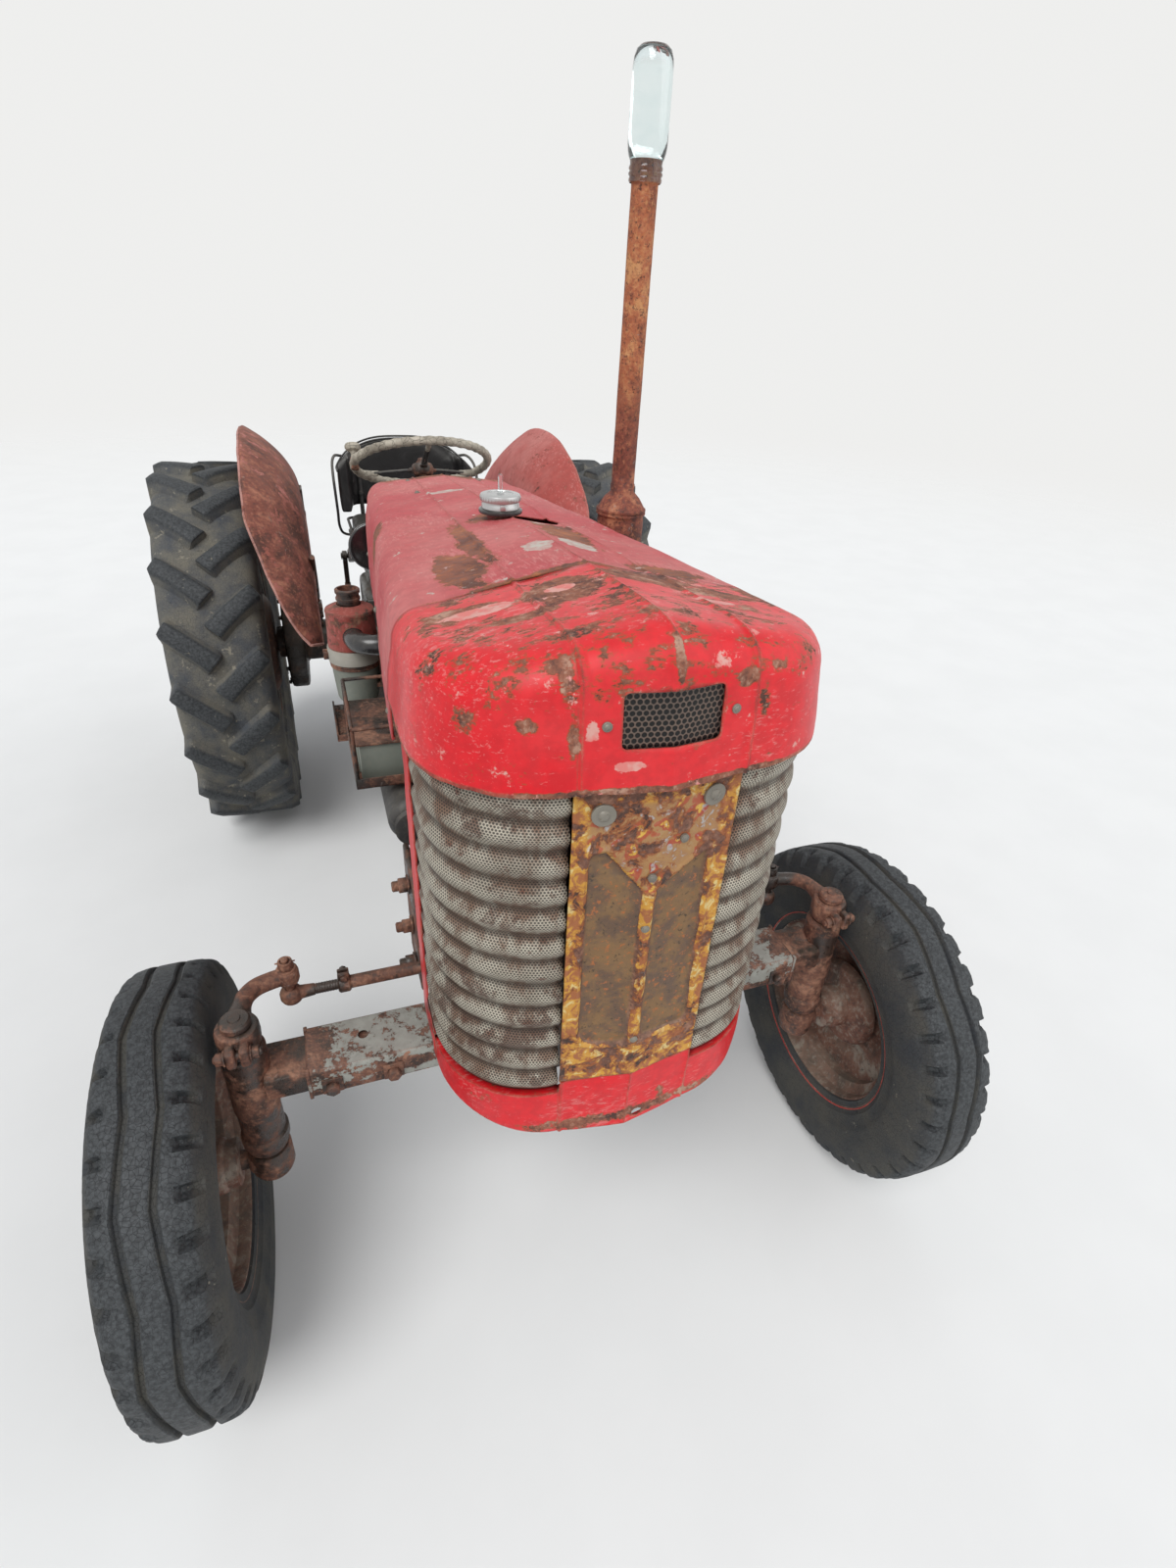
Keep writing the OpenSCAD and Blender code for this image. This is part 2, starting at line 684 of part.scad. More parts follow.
module air_cleaner() {
  color([0.5, 0.3, 0.24]) on_row() {
    bar_z(1000, 1092, -278, 830, 112);
    translate([-278, 830, 1092]) cylinder(d1 = 112, d2 = 60, h = 14, $fn = 48);
    bar_z(1100, 1138, -278, 830, 50);
    bar_z(968, 1002, -278, 830, 120);
    translate([-278, 830, 868]) cylinder(d1 = 92, d2 = 110, h = 102, $fn = 48);
    box([-235, 800, 900], [-130, 835, 912]);
  }
}

module intake_hose() {
  color([0.06, 0.06, 0.06]) on_row() difference() {
    union() {
      translate([-228, 774, 1040]) rotate(180)
        rotate_extrude(angle = 90, $fn = 64) translate([50, 0]) circle(d = 46, $fn = 32);
      translate([-278, 774, 1040]) rotate([-90, 0, 0]) cylinder(d = 46, h = 30, $fn = 48);
      bar_x(-228, -150.3, 724, 1040, 46);
    }
    bar_z(980, 1095, -278, 830, 112.6);
  }
}

module generator() {
  color([0.16, 0.16, 0.17]) on_row() {
    bar_y(400, 600, -215, 770, 104);
    bar_y(376, 402, -215, 770, 84);
    box([-200, 405, 760], [-150, 470, 800]);
  }
}

module battery_tray() {
  color([0.42, 0.3, 0.25]) on_row() {
    box([-320, 450, 838], [-180, 700, 846]);
    box([-310, 470, 846], [-190, 680, 930]);
    box([-185, 560, 838], [-150, 600, 846]);
    for (x = [-316, -184]) for (y = [454, 696]) bar_z(845, 979, x, y, 8);
    for (x = [-316, -184]) bar_y(454, 696, x, 975, 8);
    for (y = [454, 696]) bar_x(-316, -184, y, 975, 8);
  }
}

module side_lamp() {
  y = box_y - 20;
  color([0.08, 0.08, 0.09]) on_row() {
    bar_y(y, y + 12, -186, 1137, 124);
    // domed shell of the lamp
    translate([-186, y + 8, 1137]) rotate([-90, 0, 0]) intersection() {
      sphere(d = 118, $fn = 48);
      cylinder(d = 120, h = 44, $fn = 48);
    }
    box([-168, hood_rear_y - 9, 1130], [-150, y + 2, 1145]);
  }
}

module fuel_tank() {
  low = engine_top + 250;
  top = 1285;
  color([0.3, 0.12, 0.11]) on_row() {
    box([-165, 350, low], [165, 1060, top]);
    for (y = [425, 880]) box([-60, y, engine_top + 170], [60, y + 40, low + 1]);
    bar_z(top - 5, filler_z + 20, filler_x, filler_y, 50 - fit);
  }
}

module fuel_cap() {
  z = filler_z;
  color([0.66, 0.67, 0.68]) on_row() difference() {
    union() {
      bar_z(z, z + 7, filler_x, filler_y, 78);
      bar_z(z + 7, z + 18, filler_x, filler_y, 66);
      bar_z(z + 18, z + 32, filler_x, filler_y, 66);
      bar_z(z + 20, z + 30, filler_x, filler_y, 72);
    }
    bar_z(z - 3, z + 20.3, filler_x, filler_y, 50);
  }
}

module transmission_case() {
  y0 = engine_rear;
  color([0.33, 0.3, 0.28]) on_row() {
    box([-175, y0, rear_r - 170], [175, y0 + 60, engine_top]);
    box([-140, y0 + 55, rear_r - 160], [140, gearbox_y + 5, engine_top - 20]);
    box([-160, gearbox_y, rear_r - 180], [160, housing_y0, rear_r + 240]);
    // cross shaft of the pedals
    bar_x(-300, 300, gearbox_y - 65, rear_r - 50, 34);
  }
}

module rear_axle_housing() {
  w = housing_half;
  color([0.33, 0.3, 0.28]) on_row() difference() {
    union() {
      box([-w, housing_y0, housing_z0], [w, housing_y1, housing_z1]);
      // trumpets, drums and link pins on both sides, as from, to and diameter
      for (s = [-1, 1]) for (b = [[w - 2, 300, 230], [298, 420, 140], [400, 470, 330], [468, 494, 110]])
        bar_x(min(s * b[0], s * b[1]), max(s * b[0], s * b[1]), wheelbase, rear_r, b[2]);
      for (s = [-1, 1])
        bar_x(min(s * (w - 2), s * (link_x + 17)), max(s * (w - 2), s * (link_x + 17)),
              link_y, link_z, 25 - fit);
    }
    for (s = [-1, 1])
      bar_x(min(s * 440, s * 500), max(s * 440, s * 500), wheelbase, rear_r, 60);
    bar_y(housing_y1 - 60, housing_y1 + 5, 0, pto_z, 35);
  }
}

module hydraulic_cover() {
  z = housing_z1;
  color([0.35, 0.32, 0.3]) on_row() difference() {
    union() {
      box([-150, housing_y0, z], [150, housing_y1 - 5, z + 62]);
      box([-120, lift_y - 85, z + 60], [120, lift_y + 45, lift_z + 45]);
    }
    bar_x(-130, 130, lift_y, lift_z, 55.1);
  }
}

// Sheet metal.
// Height of the cap's top over x, y: a ridge that rises ahead of the seam.
function cap_top(x, y) =
  hood_top_front + cap_rise * min(1, max(0, (seam_y - y) / 200))
  - fall_front * min(abs(x), nose_half - hood_round);
// Where the cap's wall bends outwards, and how far it stands inside the plan line there
cap_bend = cap_low + 44;
function cap_inset(z) = -0.6 * cap_flare * (hood_top_front + cap_rise - hood_round - z)
  / (hood_top_front + cap_rise - hood_round - cap_bend);

// One line round the cap at inset d, sunk by drop below its top.
function cap_row(d, drop) =
  [for (p = nose_line(d, seam_y, 20)) [p[0], p[1], cap_top(p[0], p[1]) - drop]];

// One line round the cap's wall at height z, flared below the round.
function cap_wall(d, z) = [for (p = nose_line(d, seam_y, 20)) [p[0], p[1], z]];

module nose_cap() {
  r = hood_round;
  g = concat(
    [cap_wall(-cap_flare, cap_low), cap_wall(-0.6 * cap_flare, cap_bend)],
    [for (t = [0:15:75]) cap_row(r * (1 - cos(t)), r * (1 - sin(t)))],
    [cap_row(r, 0), cap_row(110, 0), cap_row(180, 0), cap_row(nose_half - 6, 0)]
  );
  color([0.78, 0.08, 0.1]) on_row() difference() {
    union() {
      grid_sheet(g, sheet);
      // closes the sheet along the ridge
      box([-8, nose_front + nose_half - 14, hood_top_front - 4], [8, seam_y, hood_top_front + 1]);
    }
    translate([0, nose_front, vent_z]) cube([vent_w, 120, vent_h], center = true);
  }
}

// One cross line of the hood at y, from its left lower edge over to the right.
function hood_line(y) =
  let (
    k = (y - seam_y) / (hood_rear_y - seam_y),
    r = hood_round,
    half = nose_half + (hood_rear_half - nose_half) * k,
    top = hood_top_front + (hood_top_rear - hood_top_front) * k,
    fall = fall_front + (fall_rear - fall_front) * k,
    low = hood_low_front + (hood_low_rear - hood_low_front) * k,
    shoulder = top - fall * (half - r) - r,
    side = concat(
      [[half + cap_flare, low], [half + 0.9 * cap_flare, low + cap_low - hood_low_front],
       [half + 0.6 * cap_flare, low + cap_bend - hood_low_front]],
      [for (t = [0:15:75]) [half - r * (1 - cos(t)), shoulder + r * sin(t)]],
      [[half - r, shoulder + r], [half / 2, top - fall * half / 2]]
    )
  )
  concat([for (p = side) [p[0], y, p[1]]], [[0, y, top]],
         [for (i = [len(side) - 1:-1:0]) [-side[i][0], y, side[i][1]]]);

module hood() {
  color([0.72, 0.22, 0.25]) on_row() difference() {
    grid_sheet([for (y = [seam_y + 3 * fit, 200, 450, 700, 950, hood_rear_y]) hood_line(y)], sheet);
    // hole for the filler's neck, torn wider behind it
    bar_z(filler_z - 80, filler_z + 60, filler_x + 33, filler_y + 18, 88);
    bar_z(filler_z - 80, filler_z + 60, filler_x, filler_y, 58);
  }
}

module vent_mesh() {
  edge = 1 - (vent_w / 2 + 6) / (nose_half - nose_corner);
  g = [for (z = [vent_z - vent_h / 2 - 4:8:vent_z + vent_h / 2 + 4])
    [for (j = [-4:4])
      let (k = 0.7 + 0.3 * (edge + (1 - edge) * (1 - abs(j) / 4)),
           p = nose_point(k, cap_inset(z) + sheet + gap, seam_y))
      [-sign(j) * p[0], p[1], z]]];
  color([0.12, 0.12, 0.12]) on_row() grid_sheet(g, 2);
}

// Corrugated half of the grille: rows from bottom to top, each a line in plan.
module grille(s) {
  steps = grille_waves * 5;
  high = cap_low - gap;
  rows = [for (i = [0:steps])
    let (
      z = grille_low + (high - grille_low) * i / steps,
      a = i * 180 / 5,
      out = wave_depth * abs(sin(a)) - wave_depth
    )
    [for (j = [0:12])
      let (k = 0.09 + j / 12 * 0.61, p = nose_point(k, -out + 3, seam_y - 20))
      [s * p[0], p[1], z]]];
  color([0.56, 0.55, 0.53]) on_row()
    grid_sheet(s < 0 ? [for (i = [len(rows) - 1:-1:0]) rows[i]] : rows, sheet);
}

module grille_left() { grille(1); }
module grille_right() { grille(-1); }

// Centre panel: two sunk fields beside a rib that runs down the prow and forks at the top.
module centre_panel() {
  y0 = nose_front + 4;
  high = cap_low - gap;
  color([0.7, 0.5, 0.15]) on_row() difference() {
    translate([0, 0, panel_low]) linear_extrude(height = high - panel_low) polygon([
      [-panel_half, y0], [0, y0 - prow], [panel_half, y0],
      [panel_half, y0 + 8], [0, y0 - prow + 8], [-panel_half, y0 + 8]
    ]);
    // each cut follows the slope of its side of the prow
    for (s = [-1, 1])
      multmatrix([[1, 0, 0, 0], [s * prow / panel_half, 1, 0, y0 - prow + 4], [0, 0, 1, 0]])
        rotate([90, 0, 0]) linear_extrude(height = 20) polygon([
          [s * 10, panel_low + 78], [s * 14, panel_low + 70], [s * 80, panel_low + 78],
          [s * 86, high - 98], [s * 76, high - 90], [s * 16, high - 152], [s * 12, high - 170]
        ]);
  }
}

// Apron under the grille and the two side strips behind it, as one pressed frame.
function frame_low(p) = apron_low + 50 * pow(min(1, abs(p[0]) / nose_half), 2.2);
function frame_high(p) =
  p[1] > -49.5 ? cap_low - gap : abs(p[0]) < panel_half - 1 ? panel_low - fit : grille_low - 2 * gap;

module grille_frame() {
  half = nose_half - 2;
  arc = [for (k = [0.2:0.05:1]) nose_point(k, 2, 10)];
  side = concat([[half, seam_y - 3], [half, -20], [half, -49], [half, -51], [half, -80]], arc);
  n = len(side);
  line = concat(side, [for (i = [n - 2:-1:0]) [-side[i][0], side[i][1]]]);
  g = [for (v = [0:3])
    [for (p = line) [p[0], p[1], frame_low(p) + (frame_high(p) - frame_low(p)) * v / 3]]];
  color([0.76, 0.1, 0.12]) on_row() {
    grid_sheet(g, sheet);
    // lugs that bolt it to the casting's shelf
    for (s = [-1, 1])
      box([min(s * shelf_x, s * (half - 2)), -45, shelf_z - 20],
          [max(s * shelf_x, s * (half - 2)), -10, shelf_z]);
  }
}

// Fender: inner wall, round shoulder and top, swept round the rear axle.
fender_r = rear_r + 125;
fender_x = 345;
function fender_line(a) =
  let (
    full = min(1, max(0, (a - 18) / 34)),
    wide = 155 * sqrt(full) * (a > 120 ? max(0.35, 1 - (a - 120) / 60) : 1) + 2,
    r = fender_r,
    x = fender_x,
    deep = 60 + 210 * min(1, max(0, (a - 10) / 40))
  )
  [for (q = [[x, r - deep], [x, r - deep / 2], [x, r - 40], [x + 3, r - 22], [x + 11, r - 8],
             [x + 23, r - 1], [x + wide * 0.5 + 12, r + 4], [x + wide * 0.85 + 4, r],
             [x + wide, r - 12]])
    [q[0], wheelbase - q[1] * cos(a), rear_r + q[1] * sin(a)]];

module fender(s) {
  color([0.66, 0.25, 0.24]) on_row() mirror([s > 0 ? 0 : 1, 0, 0]) {
    grid_sheet([for (a = [20:9:146]) fender_line(a)], sheet);
    // strap down to a saddle on the axle's trumpet
    box([fender_x - 4, wheelbase - 40, rear_r + 78], [fender_x + 4, wheelbase + 40, rear_r + fender_r - 195]);
    box([fender_x - 15, wheelbase - 50, rear_r + 70], [fender_x + 54, wheelbase + 50, rear_r + 82]);
  }
}

module fender_left() { fender(1); }
module fender_right() { fender(-1); }

// Driver's place.
module dash_panel() {
  y = hood_rear_y - 15;
  top = hood_top_rear - 40;
  color([0.3, 0.14, 0.13]) on_row() {
    box([-hood_rear_half + 22, y, engine_top + 20], [hood_rear_half - 22, y + 6, top]);
    box([-130, y, engine_top - 20], [130, y + 6, engine_top + 21]);
    // edges that the hood is screwed to
    box([-hood_rear_half - 6.3, y, 1140], [hood_rear_half + 6.3, y + 6, 1180]);
    for (x = [-110, 0, 110]) bar_y(y + 6, y + 16, x, top - 62, 76);
  }
}

module at_column() {
  translate([0, wheel_y, wheel_z]) rotate([-column_lean, 0, 0]) children();
}

module steering_box() {
  z = engine_top - 20;
  color([0.34, 0.31, 0.29]) on_row() difference() {
    union() {
      box([-80, box_y - 30, z], [80, box_y + 150, z + 70]);
      box([70, box_y - 30, z + 2], [176, box_y + 30, z + 70]);
      box([142, box_y - 30, drop_z - 40], [176, box_y + 30, z + 10]);
      at_column() translate([0, 0, -440]) cylinder(d = 46, h = 400, $fn = 48);
    }
    at_column() translate([0, 0, -300]) cylinder(d = 20, h = 300, $fn = 48);
    bar_x(128, 180, box_y, drop_z, 30);
  }
}

module steering_wheel() {
  color([0.35, 0.33, 0.3]) on_row() at_column() {
    rotate_extrude($fn = 64) translate([wheel_ring - wheel_tube / 2, 0]) circle(d = wheel_tube, $fn = 24);
    for (a = [30, 150, 270])
      rotate(a) translate([wheel_ring / 2 - 8, 0, -8]) cube([wheel_ring - 15, 14, 9], center = true);
    translate([0, 0, -34]) cylinder(d = 62, h = 34, $fn = 48);
    translate([0, 0, -290]) cylinder(d = 20 - fit, h = 260, $fn = 32);
    // spinner knob
    translate([15 - wheel_ring, 0, 8]) cylinder(d = 20, h = 30, $fn = 24);
    translate([15 - wheel_ring, 0, 34]) cylinder(d = 44, h = 22, $fn = 32);
  }
}

module footrests() {
  z = housing_z0 + 50;
  y = gearbox_y - 55;
  color([0.3, 0.27, 0.25]) on_row() for (s = [-1, 1]) {
    box([min(s * 180, s * 340), y, z], [max(s * 180, s * 340), y + 260, z + 8]);
    box([min(s * 160, s * 182), y + 80, z], [max(s * 160, s * 182), y + 120, z + 30]);
  }
}

module seat_frame() {
  y = wheelbase - 170;
  z = rear_r + 262;
  pan = seat_z - 60;
  back = wheelbase + 10;
  color([0.25, 0.23, 0.22]) on_row() {
    box([-60, y, z], [60, y + 160, z + 12]);
    for (x = [-50, 50]) box([x - 8, y + 10, z + 12], [x + 8, y + 150, pan - 10]);
    box([-180, y - 130, pan - 10], [180, back, pan]);
    for (x = [-150, 150]) box([x - 12, back, pan - 10], [x + 12, back + 12, seat_back_z - 100]);
  }
}

// Cushion with round front corners and a rolled front edge.
module seat_cushion() {
  x = seat_half - 20;
  y = wheelbase - seat_ahead;
  low = seat_z - 59.6;
  r = 70;
  roll = 52;
  color([0.05, 0.05, 0.05]) on_row() intersection() {
    union() {
      box([-x, y + r, low], [x, y + seat_deep, seat_z]);
      box([r - x, y, low], [x - r, y + seat_deep, seat_z]);
      for (s = [-1, 1]) bar_z(low, seat_z, s * (x - r), y + r, 2 * r);
    }
    union() {
      box([-x - 1, y + roll / 2, low - 1], [x + 1, y + seat_deep + 1, seat_z]);
      box([-x - 1, y - 1, low - 1], [x + 1, y + seat_deep + 1, seat_z - roll / 2]);
      bar_x(-x - 1, x + 1, y + roll / 2, seat_z - roll / 2, roll);
    }
  }
}

// Back that wraps round the driver: a pad with two wings, its upper corners round.
module seat_back() {
  y = wheelbase + 22.4;
  low = seat_z + 10;
  deep = 53;
  r = 80;
  x = seat_half - r;
  color([0.05, 0.05, 0.05]) on_row() intersection() {
    union() {
      box([-x, y, low], [x, y + deep, seat_back_z]);
      for (s = [-1, 1]) {
        intersection() {
          difference() {
            bar_z(low, seat_back_z, s * x, y + deep - r, 2 * r);
            bar_z(low - 1, seat_back_z + 1, s * x, y + deep - r, 2 * (r - 40));
          }
          box([min(s * x, s * seat_half), y + deep - r, low],
              [max(s * x, s * seat_half), y + deep, seat_back_z]);
        }
        box([min(s * seat_half, s * (seat_half - 40)), y + deep - 150, low],
            [max(s * seat_half, s * (seat_half - 40)), y + deep - r + 1, seat_back_z - 90]);
      }
    }
    union() {
      box([-seat_half, y - 200, low], [seat_half, y + deep, seat_back_z - 90]);
      box([90 - seat_half, y - 200, low], [seat_half - 90, y + deep, seat_back_z]);
      for (s = [-1, 1]) bar_y(y - 200, y + deep, s * (seat_half - 90), seat_back_z - 90, 180);
    }
  }
}

// Rear linkage.
module lift_arms() {
  color([0.35, 0.3, 0.27]) on_row() {
    bar_x(-205, 205, lift_y, lift_z, 55);
    for (s = [-1, 1]) translate([0, lift_y, lift_z]) rotate([-lift_droop, 0, 0]) {
      translate([s * 190 - 11, 0, -26]) cube([22, lift_arm, 52]);
      bar_x(s * 190 - 11, s * 190 + 11, lift_arm, 0, 52);
      bar_x(min(s * 190, s * 228), max(s * 190, s * 228), lift_arm, 0, 18 - fit);
    }
  }
}

module lift_rods() {
  top = [lift_y + lift_arm * cos(lift_droop), lift_z - lift_arm * sin(lift_droop)];
  low = [link_y + link_hang * cos(link_droop), link_z - link_hang * sin(link_droop)];
  color([0.38, 0.3, 0.25]) on_row() for (s = [-1, 1]) difference() {
    union() {
      rod([s * 214, top[0], top[1]], [s * 212, low[0], low[1]], 22);
      bar_x(s * 214 - 9, s * 214 + 9, top[0], top[1], 40);
      bar_x(s * 212 - 9, s * 212 + 9, low[0], low[1], 18 + 2 * link_play + 16);
    }
    bar_x(s * 214 - 20, s * 214 + 20, top[0], top[1], 18);
    // open eye: the loop of arm, rod and link is opened here
    bar_x(s * 212 - 20, s * 212 + 20, low[0], low[1], 18 + 2 * link_play);
  }
}

module lower_link(s) {
  color([0.36, 0.3, 0.27]) on_row() difference() {
    union() {
      bar_x(s * link_x - 10, s * link_x + 10, link_y, link_z, 56);
      translate([s * link_x, link_y, link_z]) rotate([-link_droop, 0, 0]) {
        translate([-9, 0, -28]) cube([18, link_len, 56]);
        bar_x(-20, 20, link_len, 0, ball_d);
        bar_x(min(0, -s * 37), max(0, -s * 37), link_hang, 0, 18 - fit);
      }
    }
    bar_x(s * link_x - 20, s * link_x + 20, link_y, link_z, 25);
    translate([s * link_x, link_y, link_z]) rotate([-link_droop, 0, 0])
      bar_x(-30, 30, link_len, 0, 22.4);
  }
}

module lower_link_left() { lower_link(1); }
module lower_link_right() { lower_link(-1); }

module drawbar() {
  color([0.36, 0.3, 0.27]) on_row() difference() {
    box([-40, wheelbase - 90, drawbar_z], [40, wheelbase + drawbar_end, housing_z0]);
    bar_z(drawbar_z - 20, drawbar_z + 40, 0, wheelbase + drawbar_hole, 24);
  }
}

module pto_shaft() {
  end = wheelbase + pto_back;
  color([0.5, 0.48, 0.45]) on_row() {
    bar_y(housing_y1 - 55, housing_y1 + 6, 0, pto_z, 35 - fit);
    bar_y(housing_y1 + 5, end - 50, 0, pto_z, 46);
    bar_y(end - 51, end, 0, pto_z, 35 - fit);
  }
}

front_bolster();
axle_beam();
axle_arm_left();
axle_arm_right();
knuckle_left();
knuckle_right();
centre_arm();
tie_rod_left();
tie_rod_right();
drag_link();
drop_arm();
front_tyre_left();
front_tyre_right();
front_wheel_left();
front_wheel_right();
rear_tyre_left();
rear_tyre_right();
rear_rim_left();
rear_rim_right();
rear_disc_left();
rear_disc_right();
radiator();
fan();
engine_block();
cylinder_head();
exhaust_manifold();
exhaust_stack();
rain_jar();
air_cleaner();
intake_hose();
generator();
battery_tray();
side_lamp();
fuel_tank();
fuel_cap();
transmission_case();
rear_axle_housing();
hydraulic_cover();
hood();
nose_cap();
vent_mesh();
grille_left();
grille_right();
centre_panel();
grille_frame();
fender_left();
fender_right();
dash_panel();
steering_box();
steering_wheel();
footrests();
seat_frame();
seat_cushion();
seat_back();
lift_arms();
lift_rods();
lower_link_left();
lower_link_right();
drawbar();
pto_shaft();
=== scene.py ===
"""Looks of a vintage farm tractor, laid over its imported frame.

Sizes are millimetres from the ground under the front axle: x to the tractor's
own left, y to the rear, z up. PLACE takes them to the frame, in metres.
"""
import sys

import json
from math import acos, cos, dist, exp, hypot, pi, radians, sin, sqrt, tau

import bmesh
import bpy
from mathutils import Matrix, Vector, noise
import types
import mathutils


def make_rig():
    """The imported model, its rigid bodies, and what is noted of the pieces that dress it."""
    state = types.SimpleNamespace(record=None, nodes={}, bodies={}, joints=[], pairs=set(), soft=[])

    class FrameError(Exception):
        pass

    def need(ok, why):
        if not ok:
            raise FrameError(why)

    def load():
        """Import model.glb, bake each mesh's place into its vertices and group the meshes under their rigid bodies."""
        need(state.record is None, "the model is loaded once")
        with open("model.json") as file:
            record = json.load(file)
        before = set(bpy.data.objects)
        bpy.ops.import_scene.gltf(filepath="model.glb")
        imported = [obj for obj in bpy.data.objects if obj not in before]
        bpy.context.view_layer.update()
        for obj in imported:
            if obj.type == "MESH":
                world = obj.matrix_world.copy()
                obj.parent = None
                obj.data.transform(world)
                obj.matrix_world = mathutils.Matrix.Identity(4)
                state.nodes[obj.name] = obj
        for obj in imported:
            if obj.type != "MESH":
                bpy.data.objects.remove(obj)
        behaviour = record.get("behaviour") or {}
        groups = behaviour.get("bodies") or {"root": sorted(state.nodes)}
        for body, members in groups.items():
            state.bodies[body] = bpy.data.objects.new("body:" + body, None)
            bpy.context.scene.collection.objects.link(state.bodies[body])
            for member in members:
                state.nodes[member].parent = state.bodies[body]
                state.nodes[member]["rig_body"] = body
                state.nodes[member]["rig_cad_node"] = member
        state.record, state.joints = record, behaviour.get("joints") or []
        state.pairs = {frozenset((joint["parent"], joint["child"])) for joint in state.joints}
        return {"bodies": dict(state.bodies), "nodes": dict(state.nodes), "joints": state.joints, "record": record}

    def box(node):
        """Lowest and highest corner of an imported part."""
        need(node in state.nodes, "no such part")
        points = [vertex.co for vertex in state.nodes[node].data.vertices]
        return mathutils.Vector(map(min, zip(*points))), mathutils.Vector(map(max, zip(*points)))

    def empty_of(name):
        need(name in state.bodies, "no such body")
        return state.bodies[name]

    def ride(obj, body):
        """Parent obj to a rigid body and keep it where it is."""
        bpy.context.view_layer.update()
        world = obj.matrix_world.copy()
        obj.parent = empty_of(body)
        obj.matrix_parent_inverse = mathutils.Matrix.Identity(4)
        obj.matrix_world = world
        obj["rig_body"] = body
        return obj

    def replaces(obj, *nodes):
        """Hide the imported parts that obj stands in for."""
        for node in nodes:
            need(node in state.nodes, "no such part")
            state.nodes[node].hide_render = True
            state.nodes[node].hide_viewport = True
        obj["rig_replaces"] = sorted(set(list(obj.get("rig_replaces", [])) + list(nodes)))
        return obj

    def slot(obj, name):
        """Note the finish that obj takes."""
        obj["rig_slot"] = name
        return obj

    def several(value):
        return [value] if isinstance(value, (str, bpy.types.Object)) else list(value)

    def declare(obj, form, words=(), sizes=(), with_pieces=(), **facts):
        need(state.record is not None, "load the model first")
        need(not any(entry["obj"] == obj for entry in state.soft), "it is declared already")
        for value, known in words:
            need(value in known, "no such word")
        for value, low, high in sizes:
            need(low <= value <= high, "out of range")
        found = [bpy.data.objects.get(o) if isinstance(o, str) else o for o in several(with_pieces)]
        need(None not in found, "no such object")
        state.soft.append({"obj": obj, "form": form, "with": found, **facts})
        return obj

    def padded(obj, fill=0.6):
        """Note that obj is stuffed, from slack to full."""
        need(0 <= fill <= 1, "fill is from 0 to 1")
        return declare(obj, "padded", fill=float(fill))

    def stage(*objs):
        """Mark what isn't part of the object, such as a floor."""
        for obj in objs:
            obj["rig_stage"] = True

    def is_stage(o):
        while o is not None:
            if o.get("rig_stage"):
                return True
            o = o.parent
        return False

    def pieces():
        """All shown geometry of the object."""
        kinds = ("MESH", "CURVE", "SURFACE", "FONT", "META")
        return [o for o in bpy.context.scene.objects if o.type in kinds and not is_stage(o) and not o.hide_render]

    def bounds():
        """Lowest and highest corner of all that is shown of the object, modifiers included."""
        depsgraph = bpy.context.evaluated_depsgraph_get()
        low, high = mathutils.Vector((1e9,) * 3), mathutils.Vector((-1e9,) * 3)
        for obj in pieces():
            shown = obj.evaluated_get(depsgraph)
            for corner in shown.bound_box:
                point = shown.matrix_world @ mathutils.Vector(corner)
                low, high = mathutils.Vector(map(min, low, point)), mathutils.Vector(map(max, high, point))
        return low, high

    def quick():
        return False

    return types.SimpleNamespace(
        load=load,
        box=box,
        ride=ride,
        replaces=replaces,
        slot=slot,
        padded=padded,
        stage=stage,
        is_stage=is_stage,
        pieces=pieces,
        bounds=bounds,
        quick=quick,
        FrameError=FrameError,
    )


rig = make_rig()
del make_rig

bl_info = {
    "name": "Vintage farm tractor",
    "version": (1, 0, 0),
    "blender": (4, 5, 0),
    "location": "View3D > Sidebar > Tractor",
    "description": "Builds the looks of a worn farm tractor over its frame",
    "category": "Object",
}

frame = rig.load()
CAD_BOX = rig.bounds()
UP, DOWN, LEFT = (0, 0, 1), (0, 0, -1), (1, 0, 0)
RIGHT, BACK, AHEAD = (-1, 0, 0), (0, 1, 0), (0, -1, 0)
SIDES = ((1, "left"), (-1, "right"))


def node_box(name):
    """Lowest and highest corner of a frame node, in millimetres from the front axle."""
    low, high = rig.box(name)
    shift = Vector((0.0, MIDDLE, 0.0))
    return low * 1000 + shift, high * 1000 + shift


# The front tyre stands over the front axle, so its middle gives the place of the frame.
_low, _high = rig.box("front_tyre_left")
MIDDLE = -500.0 * (_low.y + _high.y)
PLACE = Matrix.Diagonal((0.001, 0.001, 0.001, 1.0)) @ Matrix.Translation((0, -MIDDLE, 0))
FRONT_R = 500.0 * (_high.z - _low.z)
FRONT_X = 500.0 * (_low.x + _high.x)
_low, _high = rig.box("rear_tyre_left")
REAR_R = 500.0 * (_high.z - _low.z)
REAR_X = 500.0 * (_low.x + _high.x)
REAR_Y = 500.0 * (_low.y + _high.y) + MIDDLE


def tint(code):
    """Linear colour of a hexadecimal screen colour."""
    parts = [int(code[i : i + 2], 16) / 255 for i in (0, 2, 4)]
    return tuple(p / 12.92 if p < 0.04045 else ((p + 0.055) / 1.055) ** 2.4 for p in parts)


def colour(name, code, about):
    """A colour property with its default."""
    return bpy.props.FloatVectorProperty(
        name=name, description=about, default=tint(code), subtype="COLOR", size=3, min=0, max=1
    )


def length(name, default, about):
    """A length property, in millimetres."""
    return bpy.props.FloatProperty(name=name, description=about, default=default, min=0.0)


